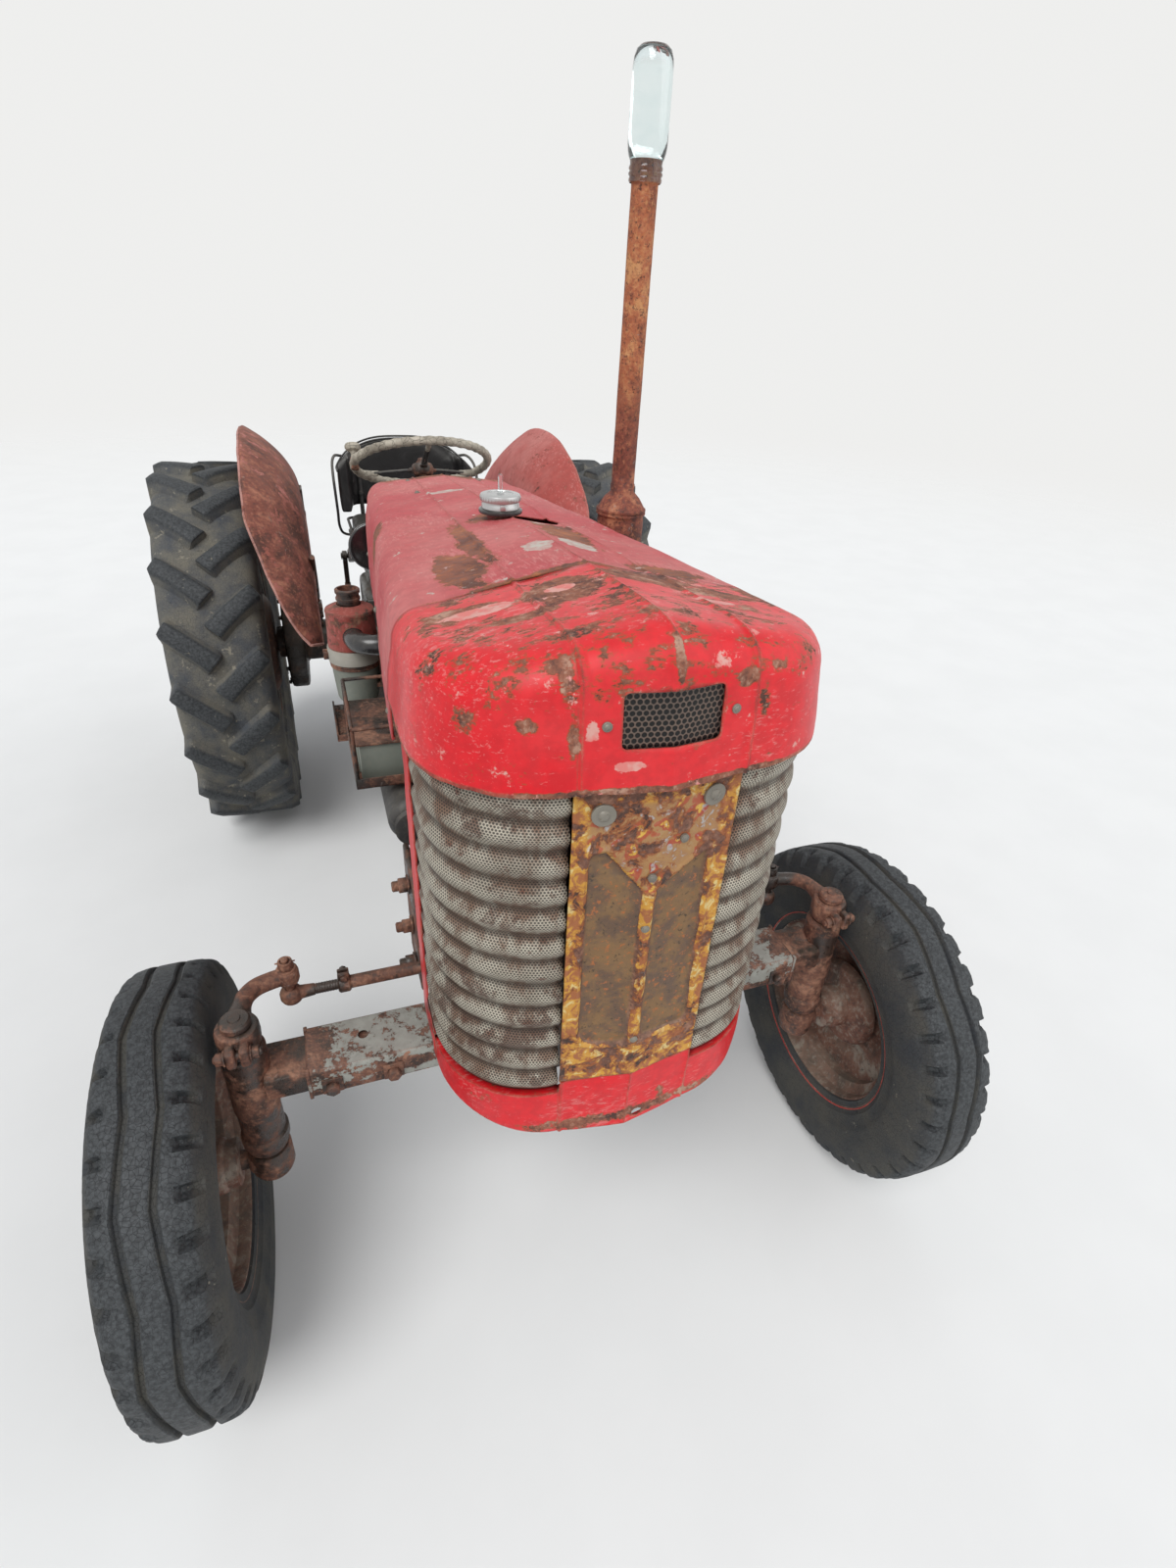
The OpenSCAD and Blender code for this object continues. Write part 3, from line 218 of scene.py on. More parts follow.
class TractorColours(bpy.types.PropertyGroup):
    """Colours of the finishes"""

    nose_red: colour("Nose red", "d40f1d", "Gloss red of the cap and the apron")
    hood_red: colour("Hood red", "b43a41", "Sun-faded red of the hood")
    fender_red: colour("Fender red", "a8453f", "Faded red of the fenders")
    bleached: colour("Bleached paint", "d99a94", "Chalky tone of scuffed paint")
    primer: colour("Bare patches", "b9b8ad", "Pale primer where the paint has flaked off")
    ochre: colour("Panel ochre", "c08a2c", "Worn yellow of the centre panel")
    zinc: colour("Zinc", "bdb5a5", "Galvanised sheet of the grille")
    silver: colour("Axle silver", "96978f", "Silver paint of the axle beam")
    rust_dark: colour("Dark rust", "34221c", "Deep brown rust")
    rust_mid: colour("Mid rust", "6b4435", "Common brown rust")
    rust_light: colour("Light rust", "9a6f58", "Orange, powdery rust")
    rubber: colour("Rubber", "27292b", "Worn tyre rubber")
    mud: colour("Mud", "8d8778", "Dry mud and dust")
    vinyl: colour("Vinyl", "141416", "Black seat cover")
    rim_grip: colour("Steering rim", "b0a898", "Weathered ring of the steering wheel")


class TractorSizes(bpy.types.PropertyGroup):
    """Sizes of the details, in millimetres"""

    sheet: length("Sheet", 3.0, "Thickness of the sheet metal")
    crease: length("Crease", 3.0, "Height of the pressed creases on hood and cap")
    lug_wide: length("Lug width", 44.0, "Width of the rear tyre's bars at their top")
    lugs: bpy.props.IntProperty(
        name="Lugs", description="Bars on each side of a rear tyre", default=20, min=8, max=40
    )
    blocks: bpy.props.IntProperty(
        name="Blocks", description="Shoulder blocks on each side of a front tyre", default=36,
        min=12, max=60,
    )
    groove: length("Groove", 8.0, "Depth of the front tyre's grooves")
    piping: length("Piping", 9.0, "Diameter of the seat's piping")


def colours():
    """The colour properties of this scene."""
    return bpy.context.scene.tractor_colours


def sizes():
    """The size properties of this scene."""
    return bpy.context.scene.tractor_sizes


# Mesh tools.
def pour(bm, part):
    """Adds a finished part to a piece, with its marks, and frees it."""
    mesh = bpy.data.meshes.new("part")
    part.to_mesh(mesh)
    part.free()
    bm.from_mesh(mesh)
    bpy.data.meshes.remove(mesh)


def join(bm, part, mat=0, matrix=None):
    """Cleans a closed or open part and adds it to a piece."""
    bmesh.ops.remove_doubles(part, verts=part.verts, dist=0.02)
    bmesh.ops.recalc_face_normals(part, faces=part.faces)
    if matrix is not None:
        part.transform(matrix)
        if matrix.determinant() < 0:
            bmesh.ops.reverse_faces(part, faces=part.faces)
    if mat is not None:
        for face in part.faces:
            face.material_index = mat
    pour(bm, part)


def about(angle, axis="Z"):
    """A turn about an axis."""
    return Matrix.Rotation(angle, 4, axis)


def aim(at, axis):
    """Turns a part drawn along Z so that it points along axis, at a place."""
    return Matrix.Translation(at) @ Vector(axis).to_track_quat("Z", "Y").to_matrix().to_4x4()


def block(bm, low, high, round_by=2.0, mat=0, matrix=None, segments=2):
    """A box between two opposite corners, with rounded edges."""
    part = bmesh.new()
    low, high = Vector(map(min, low, high)), Vector(map(max, low, high))
    bmesh.ops.create_cube(part, size=1.0)
    bmesh.ops.scale(part, vec=high - low, verts=part.verts)
    bmesh.ops.translate(part, vec=(low + high) / 2, verts=part.verts)
    if round_by:
        most = 0.48 * min(high - low)
        bmesh.ops.bevel(
            part, geom=part.edges[:], offset=min(round_by, most), segments=segments, profile=0.5,
            affect="EDGES", material=-1,
        )
    join(bm, part, mat, matrix)


def lathe(bm, profile, at=(0, 0, 0), axis=UP, steps=48, mat=0, close=False):
    """Spins a profile of radius and height round an axis."""
    part = bmesh.new()
    verts = [part.verts.new((r, 0.0, z)) for r, z in profile]
    pairs = list(zip(verts, verts[1:])) + ([(verts[-1], verts[0])] if close else [])
    edges = [part.edges.new(pair) for pair in pairs]
    bmesh.ops.spin(
        part, geom=verts + edges, axis=UP, cent=(0, 0, 0), steps=steps,
        angle=tau, use_merge=True,
    )
    join(bm, part, mat, aim(at, axis))


def bar(bm, a, b, d, d2=None, round_by=1.5, steps=24, mat=0):
    """A round bar between two points, d2 wide at its far end."""
    a, b = Vector(a), Vector(b)
    tall = (b - a).length
    r1, r2 = d / 2, (d if d2 is None else d2) / 2
    c = min(round_by, tall * 0.45, r1 * 0.9, r2 * 0.9)
    lathe(
        bm, [(0, 0), (r1 - c, 0), (r1, c), (r2, tall - c), (r2 - c, tall), (0, tall)], a, b - a,
        steps, mat,
    )


def bolt(bm, at, axis, wide=18.0, tall=8.0, washer=1.35, mat=0, turn=0.0):
    """A hexagon head on a round washer."""
    part = bmesh.new()
    bmesh.ops.create_cone(
        part, cap_ends=True, segments=6, radius1=wide / 2, radius2=wide / 2, depth=tall
    )
    bmesh.ops.translate(part, vec=(0, 0, tall / 2 + tall * 0.2), verts=part.verts)
    bmesh.ops.rotate(part, matrix=Matrix.Rotation(turn, 3, "Z"), verts=part.verts)
    bmesh.ops.bevel(
        part, geom=part.edges[:], offset=wide * 0.05, segments=1, profile=0.5, affect="EDGES",
        material=-1,
    )
    join(bm, part, mat, aim(at, axis))
    if washer:
        out = Vector(axis).normalized() * tall * 0.25
        bar(bm, at, Vector(at) + out, wide * washer, round_by=0.8, steps=20, mat=mat)


def smoothed(path, per=6):
    """Points on a smooth line through the given points."""
    points = [Vector(p) for p in path]
    ends = [points[0] * 2 - points[1], *points, points[-1] * 2 - points[-2]]
    made = []
    for i in range(1, len(ends) - 2):
        p0, p1, p2, p3 = ends[i - 1 : i + 3]
        for j in range(per):
            t = j / per
            made.append(
                0.5
                * (2 * p1 + (p2 - p0) * t + (2 * p0 - 5 * p1 + 4 * p2 - p3) * t * t
                   + (3 * p1 - p0 - 3 * p2 + p3) * t**3)
            )
    return made + [points[-1]]


def tube(bm, path, d, sides=14, mat=0, closed=False, widths=None, flat=1.0):
    """A round tube along a path, made by extruding one ring from point to point."""
    points = [Vector(p) for p in path]
    count = len(points)
    part = bmesh.new()
    made = bmesh.ops.create_circle(part, cap_ends=not closed, segments=sides, radius=1.0)
    ring = list({e for v in made["verts"] for e in v.link_edges})
    last = made["verts"]
    side = None
    before = Matrix.Identity(4)
    for i in range(count + (1 if closed else 0)):
        at = points[i % count]
        ahead = points[(i + 1) % count] if closed or i + 1 < count else at
        back = points[(i - 1) % count] if closed or i else at
        along = (ahead - back).normalized()
        if side is None:
            side = along.orthogonal().normalized()
        side = (side - along * side.dot(along)).normalized()
        r = d / 2 * (widths[i % count] if widths else 1.0)
        turn = Matrix((side * r, along.cross(side) * r * flat, along)).transposed().to_4x4()
        now = Matrix.Translation(at) @ turn
        if i:
            grown = bmesh.ops.extrude_edge_only(part, edges=ring)["geom"]
            last = [g for g in grown if isinstance(g, bmesh.types.BMVert)]
            ring = [g for g in grown if isinstance(g, bmesh.types.BMEdge)
                    and all(v in last for v in g.verts)]
        bmesh.ops.transform(part, matrix=now @ before.inverted(), verts=last)
        before = now
    if not closed:
        bmesh.ops.edgeloop_fill(part, edges=ring)
    join(bm, part, mat)


def grid(bm, across, along, place, uv=None, marks=None):
    """A sheet: place(u, v) puts each corner in space, uv(u, v) its pattern, in metres.

    across and along are the wanted values of u and v, so that lines can stand
    closer where the sheet is creased. marks gives named values for each corner.
    """
    part = bmesh.new()
    layer = part.loops.layers.uv.new("pattern")
    for name in marks or {}:
        part.verts.layers.float.new(name)
    layers = {name: part.verts.layers.float.get(name) for name in marks or {}}
    nu, nv = len(across) - 1, len(along) - 1
    made = bmesh.ops.create_grid(part, x_segments=nu, y_segments=nv, size=0.5)["verts"]
    known = {}
    for v in made:
        i, j = round((v.co.x + 0.5) * nu), round((v.co.y + 0.5) * nv)
        u, w = across[i], along[j]
        known[v] = (u, w)
        for name, worth in (marks or {}).items():
            v[layers[name]] = worth(u, w)
        v.co = place(u, w)
    for face in {f for v in made for f in v.link_faces}:
        for loop in face.loops:
            u, w = known[loop.vert]
            loop[layer].uv = uv(u, w) if uv else (u * 0.001, w * 0.001)
    join(bm, part, None)


def steps(low, high, count):
    """count + 1 even values from low to high."""
    return [low + (high - low) * i / count for i in range(count + 1)]


def cut_hole(bm, centre, axis, outline, near):
    """Opens a convex window: outline is flat points round centre, seen along axis."""
    turn = aim(centre, axis)
    corners = [turn @ Vector((x, y, 0.0)) for x, y in outline]
    ahead = Vector(axis).normalized()
    count = len(corners)
    for i in range(count):
        a, b = corners[i], corners[(i + 1) % count]
        faces = [f for f in bm.faces if near(f.calc_center_median())]
        geom = list({g for f in faces for g in [f, *f.edges, *f.verts]})
        bmesh.ops.bisect_plane(
            bm, geom=geom, plane_co=a, plane_no=(b - a).cross(ahead), dist=0.0005
        )
    sign = [(corners[(i + 1) % count] - corners[i]).cross(ahead) for i in range(count)]
    middle = Vector(centre)
    inside = []
    for f in bm.faces:
        c = f.calc_center_median()
        if near(c) and all(
            (c - corners[i]).dot(n) * (middle - corners[i]).dot(n) > 0 for i, n in enumerate(sign)
        ):
            inside.append(f)
    bmesh.ops.delete(bm, geom=inside, context="FACES")


def rounded(wide, tall, r, per=4):
    """Outline of a rectangle with round corners, about its middle."""
    made = []
    for k, (sx, sy) in enumerate(((1, 1), (-1, 1), (-1, -1), (1, -1))):
        for j in range(per + 1):
            a = radians(90 * k + 90 * j / per)
            made.append(
                (sx * (wide / 2 - r) + r * cos(a), sy * (tall / 2 - r) + r * sin(a))
            )
    return made


def ring_of(r, count):
    """Outline of a circle."""
    return [(r * cos(tau * i / count), r * sin(tau * i / count))
            for i in range(count)]


def piece(name, bm, looks, slot, hide=(), body="chassis", facing=None, thick=0.0, angle=35):
    """Makes the object of a piece: placed, smoothed, riding on its body.

    looks names its finishes, slot the record's material slot and hide the frame nodes that
    it stands for. facing is a direction in which an open sheet's farthest face must look;
    thick then gives it a wall, inwards.
    """
    if facing is not None:
        far = Vector(facing)
        bmesh.ops.remove_doubles(bm, verts=bm.verts, dist=0.02)
        bmesh.ops.recalc_face_normals(bm, faces=bm.faces)
        best = max(bm.faces, key=lambda f: f.calc_center_median().dot(far))
        if best.normal.dot(far) < 0:
            bmesh.ops.reverse_faces(bm, faces=bm.faces)
    bm.transform(PLACE)
    mesh = bpy.data.meshes.new(name)
    bm.to_mesh(mesh)
    bm.free()
    for look in looks.split():
        mesh.materials.append(finish(look))
    mesh.shade_smooth()
    mesh.set_sharp_from_angle(angle=radians(angle))
    made = bpy.data.objects.new(name, mesh)
    bpy.context.scene.collection.objects.link(made)
    if thick:
        wall = made.modifiers.new("Wall", "SOLIDIFY")
        wall.thickness = thick * 0.001
        wall.offset = -1.0
    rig.ride(made, body)
    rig.slot(made, slot)
    if hide:
        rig.replaces(made, *hide)
    return made


# Shader tools.
class Graph:
    """Puts nodes into one shader tree and joins them."""

    def __init__(self, tree):
        self.tree = tree

    def add(self, kind, feeds=None, **settings):
        """A node with its settings, and values or sockets fed to its inputs."""
        node = self.tree.nodes.new(kind)
        for key, value in settings.items():
            setattr(node, key, value)
        for key, value in (feeds or {}).items():
            self.feed(node.inputs[key], value)
        return node

    def feed(self, socket, value):
        """Joins a socket to an input, or sets the input's own value."""
        if isinstance(value, bpy.types.NodeSocket):
            self.tree.links.new(value, socket)
        elif socket.type == "RGBA":
            socket.default_value = (*value[:3], 1.0)
        else:
            socket.default_value = value

    def math(self, operation, a, b=0.0, clamp=False):
        """One sum on numbers."""
        node = self.add("ShaderNodeMath", {0: a, 1: b}, operation=operation, use_clamp=clamp)
        return node.outputs[0]

    def vector(self, operation, a, b=(0, 0, 0), out=0):
        """One sum on vectors."""
        return self.add("ShaderNodeVectorMath", {0: a, 1: b}, operation=operation).outputs[out]

    def mix(self, share, a, b):
        """A colour between a and b."""
        node = self.add("ShaderNodeMix", data_type="RGBA")
        for key, value in ((0, share), (6, a), (7, b)):
            self.feed(node.inputs[key], value)
        return node.outputs[2]

    def over(self, base, value, low, high, colour, most=1.0):
        """base, with a colour over it where value passes from low to high."""
        return self.mix(self.band(value, low, high, 0.0, most), base, colour)

    def band(self, value, low, high, start=0.0, end=1.0):
        """A smooth step from start to end as value goes from low to high."""
        return self.add(
            "ShaderNodeMapRange", {0: value, 1: low, 2: high, 3: start, 4: end},
            interpolation_type="SMOOTHSTEP",
        ).outputs[0]

    def noise(self, vector, scale, detail=4.0, rough=0.55, twist=0.0):
        """Cloudy noise, about 0.5."""
        return self.add(
            "ShaderNodeTexNoise",
            {"Vector": vector, "Scale": scale, "Detail": detail, "Roughness": rough,
             "Distortion": twist},
        ).outputs[0]

    def cells(self, vector, scale, feature="F1"):
        """Distance to the nearest cell point, or to the nearest cell's edge."""
        return self.add(
            "ShaderNodeTexVoronoi", {"Vector": vector, "Scale": scale}, feature=feature
        ).outputs["Distance"]

    def spot(self, place, centre, radii):
        """1 at centre, falling to 0 at the radii, in millimetres."""
        gone = self.vector("SUBTRACT", place, tuple(centre))
        gone = self.vector("DIVIDE", gone, tuple(radii))
        far = self.add("ShaderNodeVectorMath", {0: gone}, operation="LENGTH").outputs["Value"]
        return self.math("SUBTRACT", 1.0, far, clamp=True)

    def spots(self, place, listed):
        """The strongest of several spots."""
        best = None
        for centre, radii in listed:
            one = self.spot(place, centre, radii)
            best = one if best is None else self.math("MAXIMUM", best, one)
        return best


def group(name, inputs, outputs, build):
    """A shader node group, built once."""
    if name in bpy.data.node_groups:
        return bpy.data.node_groups[name]
    tree = bpy.data.node_groups.new(name, "ShaderNodeTree")
    for label, kind, default in inputs:
        socket = tree.interface.new_socket(label, in_out="INPUT", socket_type="NodeSocket" + kind)
        if default is not None:
            socket.default_value = (*default, 1.0) if kind == "Color" else default
    for label, kind in outputs:
        tree.interface.new_socket(label, in_out="OUTPUT", socket_type="NodeSocket" + kind)
    g = Graph(tree)
    given = g.add("NodeGroupInput").outputs
    result = build(g, given)
    end = g.add("NodeGroupOutput")
    for label, _ in outputs:
        g.feed(end.inputs[label], result[label])
    return tree


def build_rust(g, given):
    """Clouds of dark, common and powdery rust with fine pits."""
    at = g.vector("SCALE", given["Vector"])
    g.feed(at.node.inputs["Scale"], given["Scale"])
    cloud = g.noise(at, 11.0, 9.0, 0.68, 0.3)
    fine = g.noise(at, 85.0, 4.0, 0.6)
    pits = g.noise(at, 320.0, 2.0, 0.5)
    tone = g.mix(g.band(cloud, 0.38, 0.52), given["Dark"], given["Mid"])
    tone = g.over(tone, cloud, 0.52, 0.66, given["Light"])
    tone = g.over(tone, fine, 0.5, 0.72, given["Light"], 0.65)
    tone = g.over(tone, fine, 0.5, 0.3, given["Dark"], 0.7)
    fleck = g.noise(at, 34.0, 9.0, 0.75, 0.6)
    tone = g.over(tone, fleck, 0.6, 0.66, (0.30, 0.24, 0.21), 0.5)
    tone = g.over(tone, fleck, 0.4, 0.34, (0.014, 0.011, 0.010), 0.75)
    height = g.math("ADD", g.math("MULTIPLY", fine, 0.6), g.math("MULTIPLY", pits, 0.5))
    return {"Color": tone, "Height": height, "Roughness": g.band(fine, 0.3, 0.7, 0.62, 0.9)}


def build_loss(g, given):
    """Where paint has gone: chips in clouds, along sharp edges and where told."""
    at = g.vector("SCALE", given["Vector"])
    g.feed(at.node.inputs["Scale"], given["Scale"])
    cloud = g.noise(at, 13.0, 10.0, 0.7, 0.25)
    fleck = g.noise(at, 70.0, 5.0, 0.65)
    true = g.add("ShaderNodeNewGeometry").outputs["Normal"]
    worn = g.add("ShaderNodeBevel", {"Radius": 0.005}, samples=3).outputs[0]
    turned = g.vector("DOT_PRODUCT", true, worn, out="Value")
    edge = g.math("MULTIPLY", g.math("SUBTRACT", 1.0, turned), 3.0, clamp=True)
    value = g.math("ADD", g.math("MULTIPLY", cloud, 0.72), g.math("MULTIPLY", fleck, 0.28))
    value = g.math("ADD", value, g.math("MULTIPLY", edge, given["Edges"]))
    value = g.math("ADD", value, g.math("MULTIPLY", given["Extra"], 0.3))
    start = g.math("SUBTRACT", 0.74, g.math("MULTIPLY", given["Amount"], 0.3))
    over = g.math("SUBTRACT", value, start)
    return {
        "Bare": g.band(over, 0.0, 0.012),
        "Rim": g.band(over, -0.05, 0.006),
        "Height": g.band(over, -0.004, 0.01, 1.0, 0.0),
    }


def build_scuffs(g, given):
    """Short parallel scratches in clouds; Stretch sets their direction."""
    along = g.vector("MULTIPLY", given["Vector"], given["Stretch"])
    lines = g.noise(along, 26.0, 5.0, 0.72, 0.4)
    where = g.noise(given["Vector"], 5.0, 3.0)
    both = g.math("ADD", lines, g.math("MULTIPLY", where, 0.5))
    return {"Mask": g.band(both, 0.82, 0.93)}


def build_dust(g, given):
    """Dust that lies on what faces up, in clouds."""
    up = g.add(
        "ShaderNodeSeparateXYZ", {0: g.add("ShaderNodeNewGeometry").outputs["Normal"]}
    ).outputs["Z"]
    cloud = g.noise(given["Vector"], 7.0, 6.0, 0.6)
    mask = g.math("MULTIPLY", g.band(up, -0.3, 0.95), g.band(cloud, 0.3, 0.7, 0.35, 1.0))
    return {"Mask": g.math("MULTIPLY", mask, given["Amount"], clamp=True)}


def build_holes(g, given):
    """Round holes in staggered rows over a flat pattern."""
    flat = g.vector("DIVIDE", given["Vector"], given["Cell"])

    def near(shift):
        moved = g.vector("FRACTION", g.vector("ADD", flat, (shift, shift, 0.0)))
        moved = g.vector("MULTIPLY", g.vector("SUBTRACT", moved, (0.5, 0.5, 0.0)), (1, 1.732, 0))
        return g.add("ShaderNodeVectorMath", {0: moved}, operation="LENGTH").outputs["Value"]

    far = g.math("MINIMUM", near(0.0), near(0.5))
    edge = g.math("ADD", given["Hole"], 0.09)
    return {"Mask": g.add(
        "ShaderNodeMapRange", {0: far, 1: given["Hole"], 2: edge, 3: 1.0, 4: 0.0}
    ).outputs[0]}


RUST = [("Vector", "Vector", None), ("Scale", "Float", 1.0), ("Dark", "Color", (0, 0, 0)),
        ("Mid", "Color", (0, 0, 0)), ("Light", "Color", (0, 0, 0))]
EFFECTS = {
    "Rust": (RUST, [("Color", "Color"), ("Height", "Float"), ("Roughness", "Float")], build_rust),
    "Paint loss": (
        [("Vector", "Vector", None), ("Scale", "Float", 1.0), ("Amount", "Float", 0.4),
         ("Edges", "Float", 0.3), ("Extra", "Float", 0.0)],
        [("Bare", "Float"), ("Rim", "Float"), ("Height", "Float")], build_loss,
    ),
    "Scuffs": (
        [("Vector", "Vector", None), ("Stretch", "Vector", (1.0, 1.0, 1.0))],
        [("Mask", "Float")], build_scuffs,
    ),
    "Dust": ([("Vector", "Vector", None), ("Amount", "Float", 0.4)], [("Mask", "Float")],
             build_dust),
    "Round holes": (
        [("Vector", "Vector", None), ("Cell", "Vector", (1.0, 1.0, 1.0)), ("Hole", "Float", 0.3)],
        [("Mask", "Float")], build_holes,
    ),
}


class Finish(Graph):
    """A material in the making: its Principled shader and the effects it uses."""

    def __init__(self, name):
        self.mat = bpy.data.materials.new(name)
        self.mat.use_nodes = True
        super().__init__(self.mat.node_tree)
        self.shader = self.tree.nodes["Principled BSDF"]
        self.colours = colours()
        self.at = self.add("ShaderNodeTexCoord").outputs["Object"]
        moved = self.vector("MULTIPLY", self.at, (1000.0, 1000.0, 1000.0))
        self.mm = self.vector("ADD", moved, (0.0, MIDDLE, 0.0))

    def effect(self, name, **feeds):
        """One of the shared effects, with its own values."""
        inputs, outputs, build = EFFECTS[name]
        node = self.add("ShaderNodeGroup")
        node.node_tree = group(name, inputs, outputs, build)
        if "Vector" not in feeds:
            feeds["Vector"] = self.at
        for key, value in feeds.items():
            self.feed(node.inputs[key], value)
        return node.outputs

    def rust(self, scale=1.0, dark=None, mid=None, light=None):
        """The rust effect in this tractor's rust colours."""
        c = self.colours
        return self.effect(
            "Rust", Scale=scale, Dark=dark or c.rust_dark, Mid=mid or c.rust_mid,
            Light=light or c.rust_light,
        )

    def mark(self, name):
        """A named value stored on the mesh."""
        return self.add("ShaderNodeAttribute", attribute_name=name).outputs["Fac"]

    def done(self, base, rough, metal=0.0, height=None, depth=0.001, coat=0.0, spec=0.5):
        """Feeds the shader and returns the material."""
        s = self.shader.inputs
        self.feed(s["Base Color"], base)
        self.feed(s["Roughness"], rough)
        self.feed(s["Metallic"], metal)
        s["Specular IOR Level"].default_value = spec
        if coat:
            s["Coat Weight"].default_value = coat
            s["Coat Roughness"].default_value = 0.25
        if height is not None:
            bump = self.add("ShaderNodeBump", {"Height": height, "Distance": depth})
            self.feed(s["Normal"], bump.outputs[0])
        return self.mat


def paint(name, base, fade=0.3, loss=0.35, edges=0.35, dust=0.25, gloss=0.4, scale=1.0,
          stretch=(1.0, 6.0, 6.0), scuff=0.55, rusty=(), pale=(), bare=(), rim=None, spec=0.5,
          grain=(1.0, 1.0, 1.0), told_by=1.0, high=None, flake=None):
    """Worn paint over rust.

    rusty and pale list spots where it has gone, told_by says how surely; bare gives the
    rust's own dark, common and light colours, rim that of a chip's edge and flake that of
    the pale spots. grain squeezes the chips. high is a band of heights, in millimetres,
    above which more of them lie, and how many more.
    """
    f = Finish(name)
    c = f.colours
    cloud = f.noise(f.at, 3.5, 5.0, 0.6)
    fine = f.noise(f.at, 60.0, 3.0)
    tone = f.over(base, cloud, 0.35, 0.7, c.bleached, fade)
    tone = f.over(tone, fine, 0.35, 0.65, (0.05, 0.01, 0.01), 0.16)
    rust = f.rust(scale, *bare)
    told = f.math("MULTIPLY", f.spots(f.mm, rusty), told_by) if rusty else 0.0
    if high:
        tall = f.add("ShaderNodeSeparateXYZ", {0: f.mm}).outputs["Z"]
        told = f.math("ADD", told, f.band(tall, high[0], high[1], 0.0, high[2]))
    gone = f.effect("Paint loss", Vector=f.vector("MULTIPLY", f.at, grain), Scale=scale,
                    Amount=loss, Edges=edges, Extra=told)
    scuffs = f.effect("Scuffs", Stretch=stretch)["Mask"]
    tone = f.mix(f.math("MULTIPLY", scuffs, scuff), tone, c.bleached)
    tone = f.mix(f.math("MULTIPLY", gone["Rim"], 0.75), tone,
                 f.mix(0.3, rim or base, c.rust_dark))
    bareness = gone["Bare"]
    tone = f.mix(bareness, tone, rust["Color"])
    if pale:
        wobble = f.math("MULTIPLY", f.math("SUBTRACT", f.noise(f.at, 34.0, 6.0, 0.7), 0.5), 1.35)
        flaked = f.math("ADD", f.spots(f.mm, pale), wobble)
        tone = f.mix(f.band(flaked, 0.16, 0.24), tone, f.mix(
            f.band(fine, 0.4, 0.6), flake or c.primer, f.mix(0.4, flake or c.primer, base)))
    film = f.effect("Dust", Amount=dust)["Mask"]
    tone = f.mix(film, tone, f.mix(0.5, c.mud, base))
    rough = f.add("ShaderNodeMix", data_type="FLOAT")
    dull = f.math("ADD", f.band(cloud, 0.3, 0.7, gloss, gloss + 0.22),
                  f.math("MULTIPLY", film, 0.5))
    for key, value in ((0, bareness), (2, dull), (3, rust["Roughness"])):
        f.feed(rough.inputs[key], value)
    height = f.math("ADD", f.math("MULTIPLY", gone["Height"], 0.6),
                    f.math("MULTIPLY", rust["Height"], f.math("MULTIPLY", bareness, 0.9)))
    return f.done(tone, rough.outputs[0], height=height, depth=0.0007, spec=spec)


def bare_metal(name, dark=None, mid=None, light=None, scale=1.0, dust=0.2, grease=0.0):
    """Rusty or oily metal without paint."""
    f = Finish(name)
    c = f.colours
    rust = f.rust(scale, dark, mid, light)
    tone = rust["Color"]
    rough = rust["Roughness"]
    if grease:
        oily = f.band(f.noise(f.at, 9.0, 6.0, 0.65), 0.62 - grease * 0.4, 0.68 - grease * 0.3)
        tone = f.mix(f.math("MULTIPLY", oily, 0.85), tone, (0.012, 0.010, 0.009))
        rough = f.math("SUBTRACT", rough, f.math("MULTIPLY", oily, 0.38))
    film = f.effect("Dust", Amount=dust)["Mask"]
    tone = f.mix(film, tone, c.mud)
    return f.done(tone, rough, height=rust["Height"], depth=0.0012)


def plain(name, base, rough=0.5, metal=0.0, dust=0.15, depth=0.0004, coat=0.0, speck=0.25):
    """A made finish with fine grain, handling marks and a little dust."""
    f = Finish(name)
    c = f.colours
    fine = f.noise(f.at, 90.0, 4.0)
    cloud = f.noise(f.at, 8.0, 6.0, 0.65)
    tone = f.over(base, cloud, 0.35, 0.7, f.mix(0.5, base, c.rust_dark), speck)
    tone = f.over(tone, fine, 0.45, 0.7, f.mix(0.4, base, c.mud), speck)
    film = f.effect("Dust", Amount=dust)["Mask"]
    tone = f.mix(film, tone, c.mud)
    dull = f.math("ADD", f.band(cloud, 0.3, 0.7, rough - 0.06, rough + 0.1),
                  f.math("MULTIPLY", film, 0.4))
    return f.done(tone, dull, metal=metal, height=fine, depth=depth, coat=coat)


# Finishes of this tractor. Each is built once, when a piece first asks for it.
CAP_RUST = [
    ((-190, -60, 1385), (60, 26, 40)), ((-120, -130, 1395), (50, 16, 40)),
    ((-175, -175, 1372), (52, 30, 30)), ((-118, -225, 1372), (16, 60, 40)),
    ((-60, -70, 1412), (60, 60, 30)), ((-212, -215, 1330), (22, 30, 24)),
    ((-160, -262, 1335), (18, 20, 14)), ((-112, -280, 1325), (10, 20, 44)),
    ((70, -30, 1408), (95, 40, 30)), ((150, -70, 1392), (100, 26, 30)),
    ((118, -252, 1340), (14, 40, 40)), ((200, -200, 1345), (44, 40, 20)),
    ((225, -60, 1360), (26, 90, 30)), ((-232, -90, 1350), (20, 60, 40)),
    ((0, -262, 1402), (7, 60, 30)), ((-244, -150, 1290), (14, 40, 50)),
    ((90, -275, 1372), (18, 16, 14)), ((0, -288, 1256), (300, 60, 7)),
]
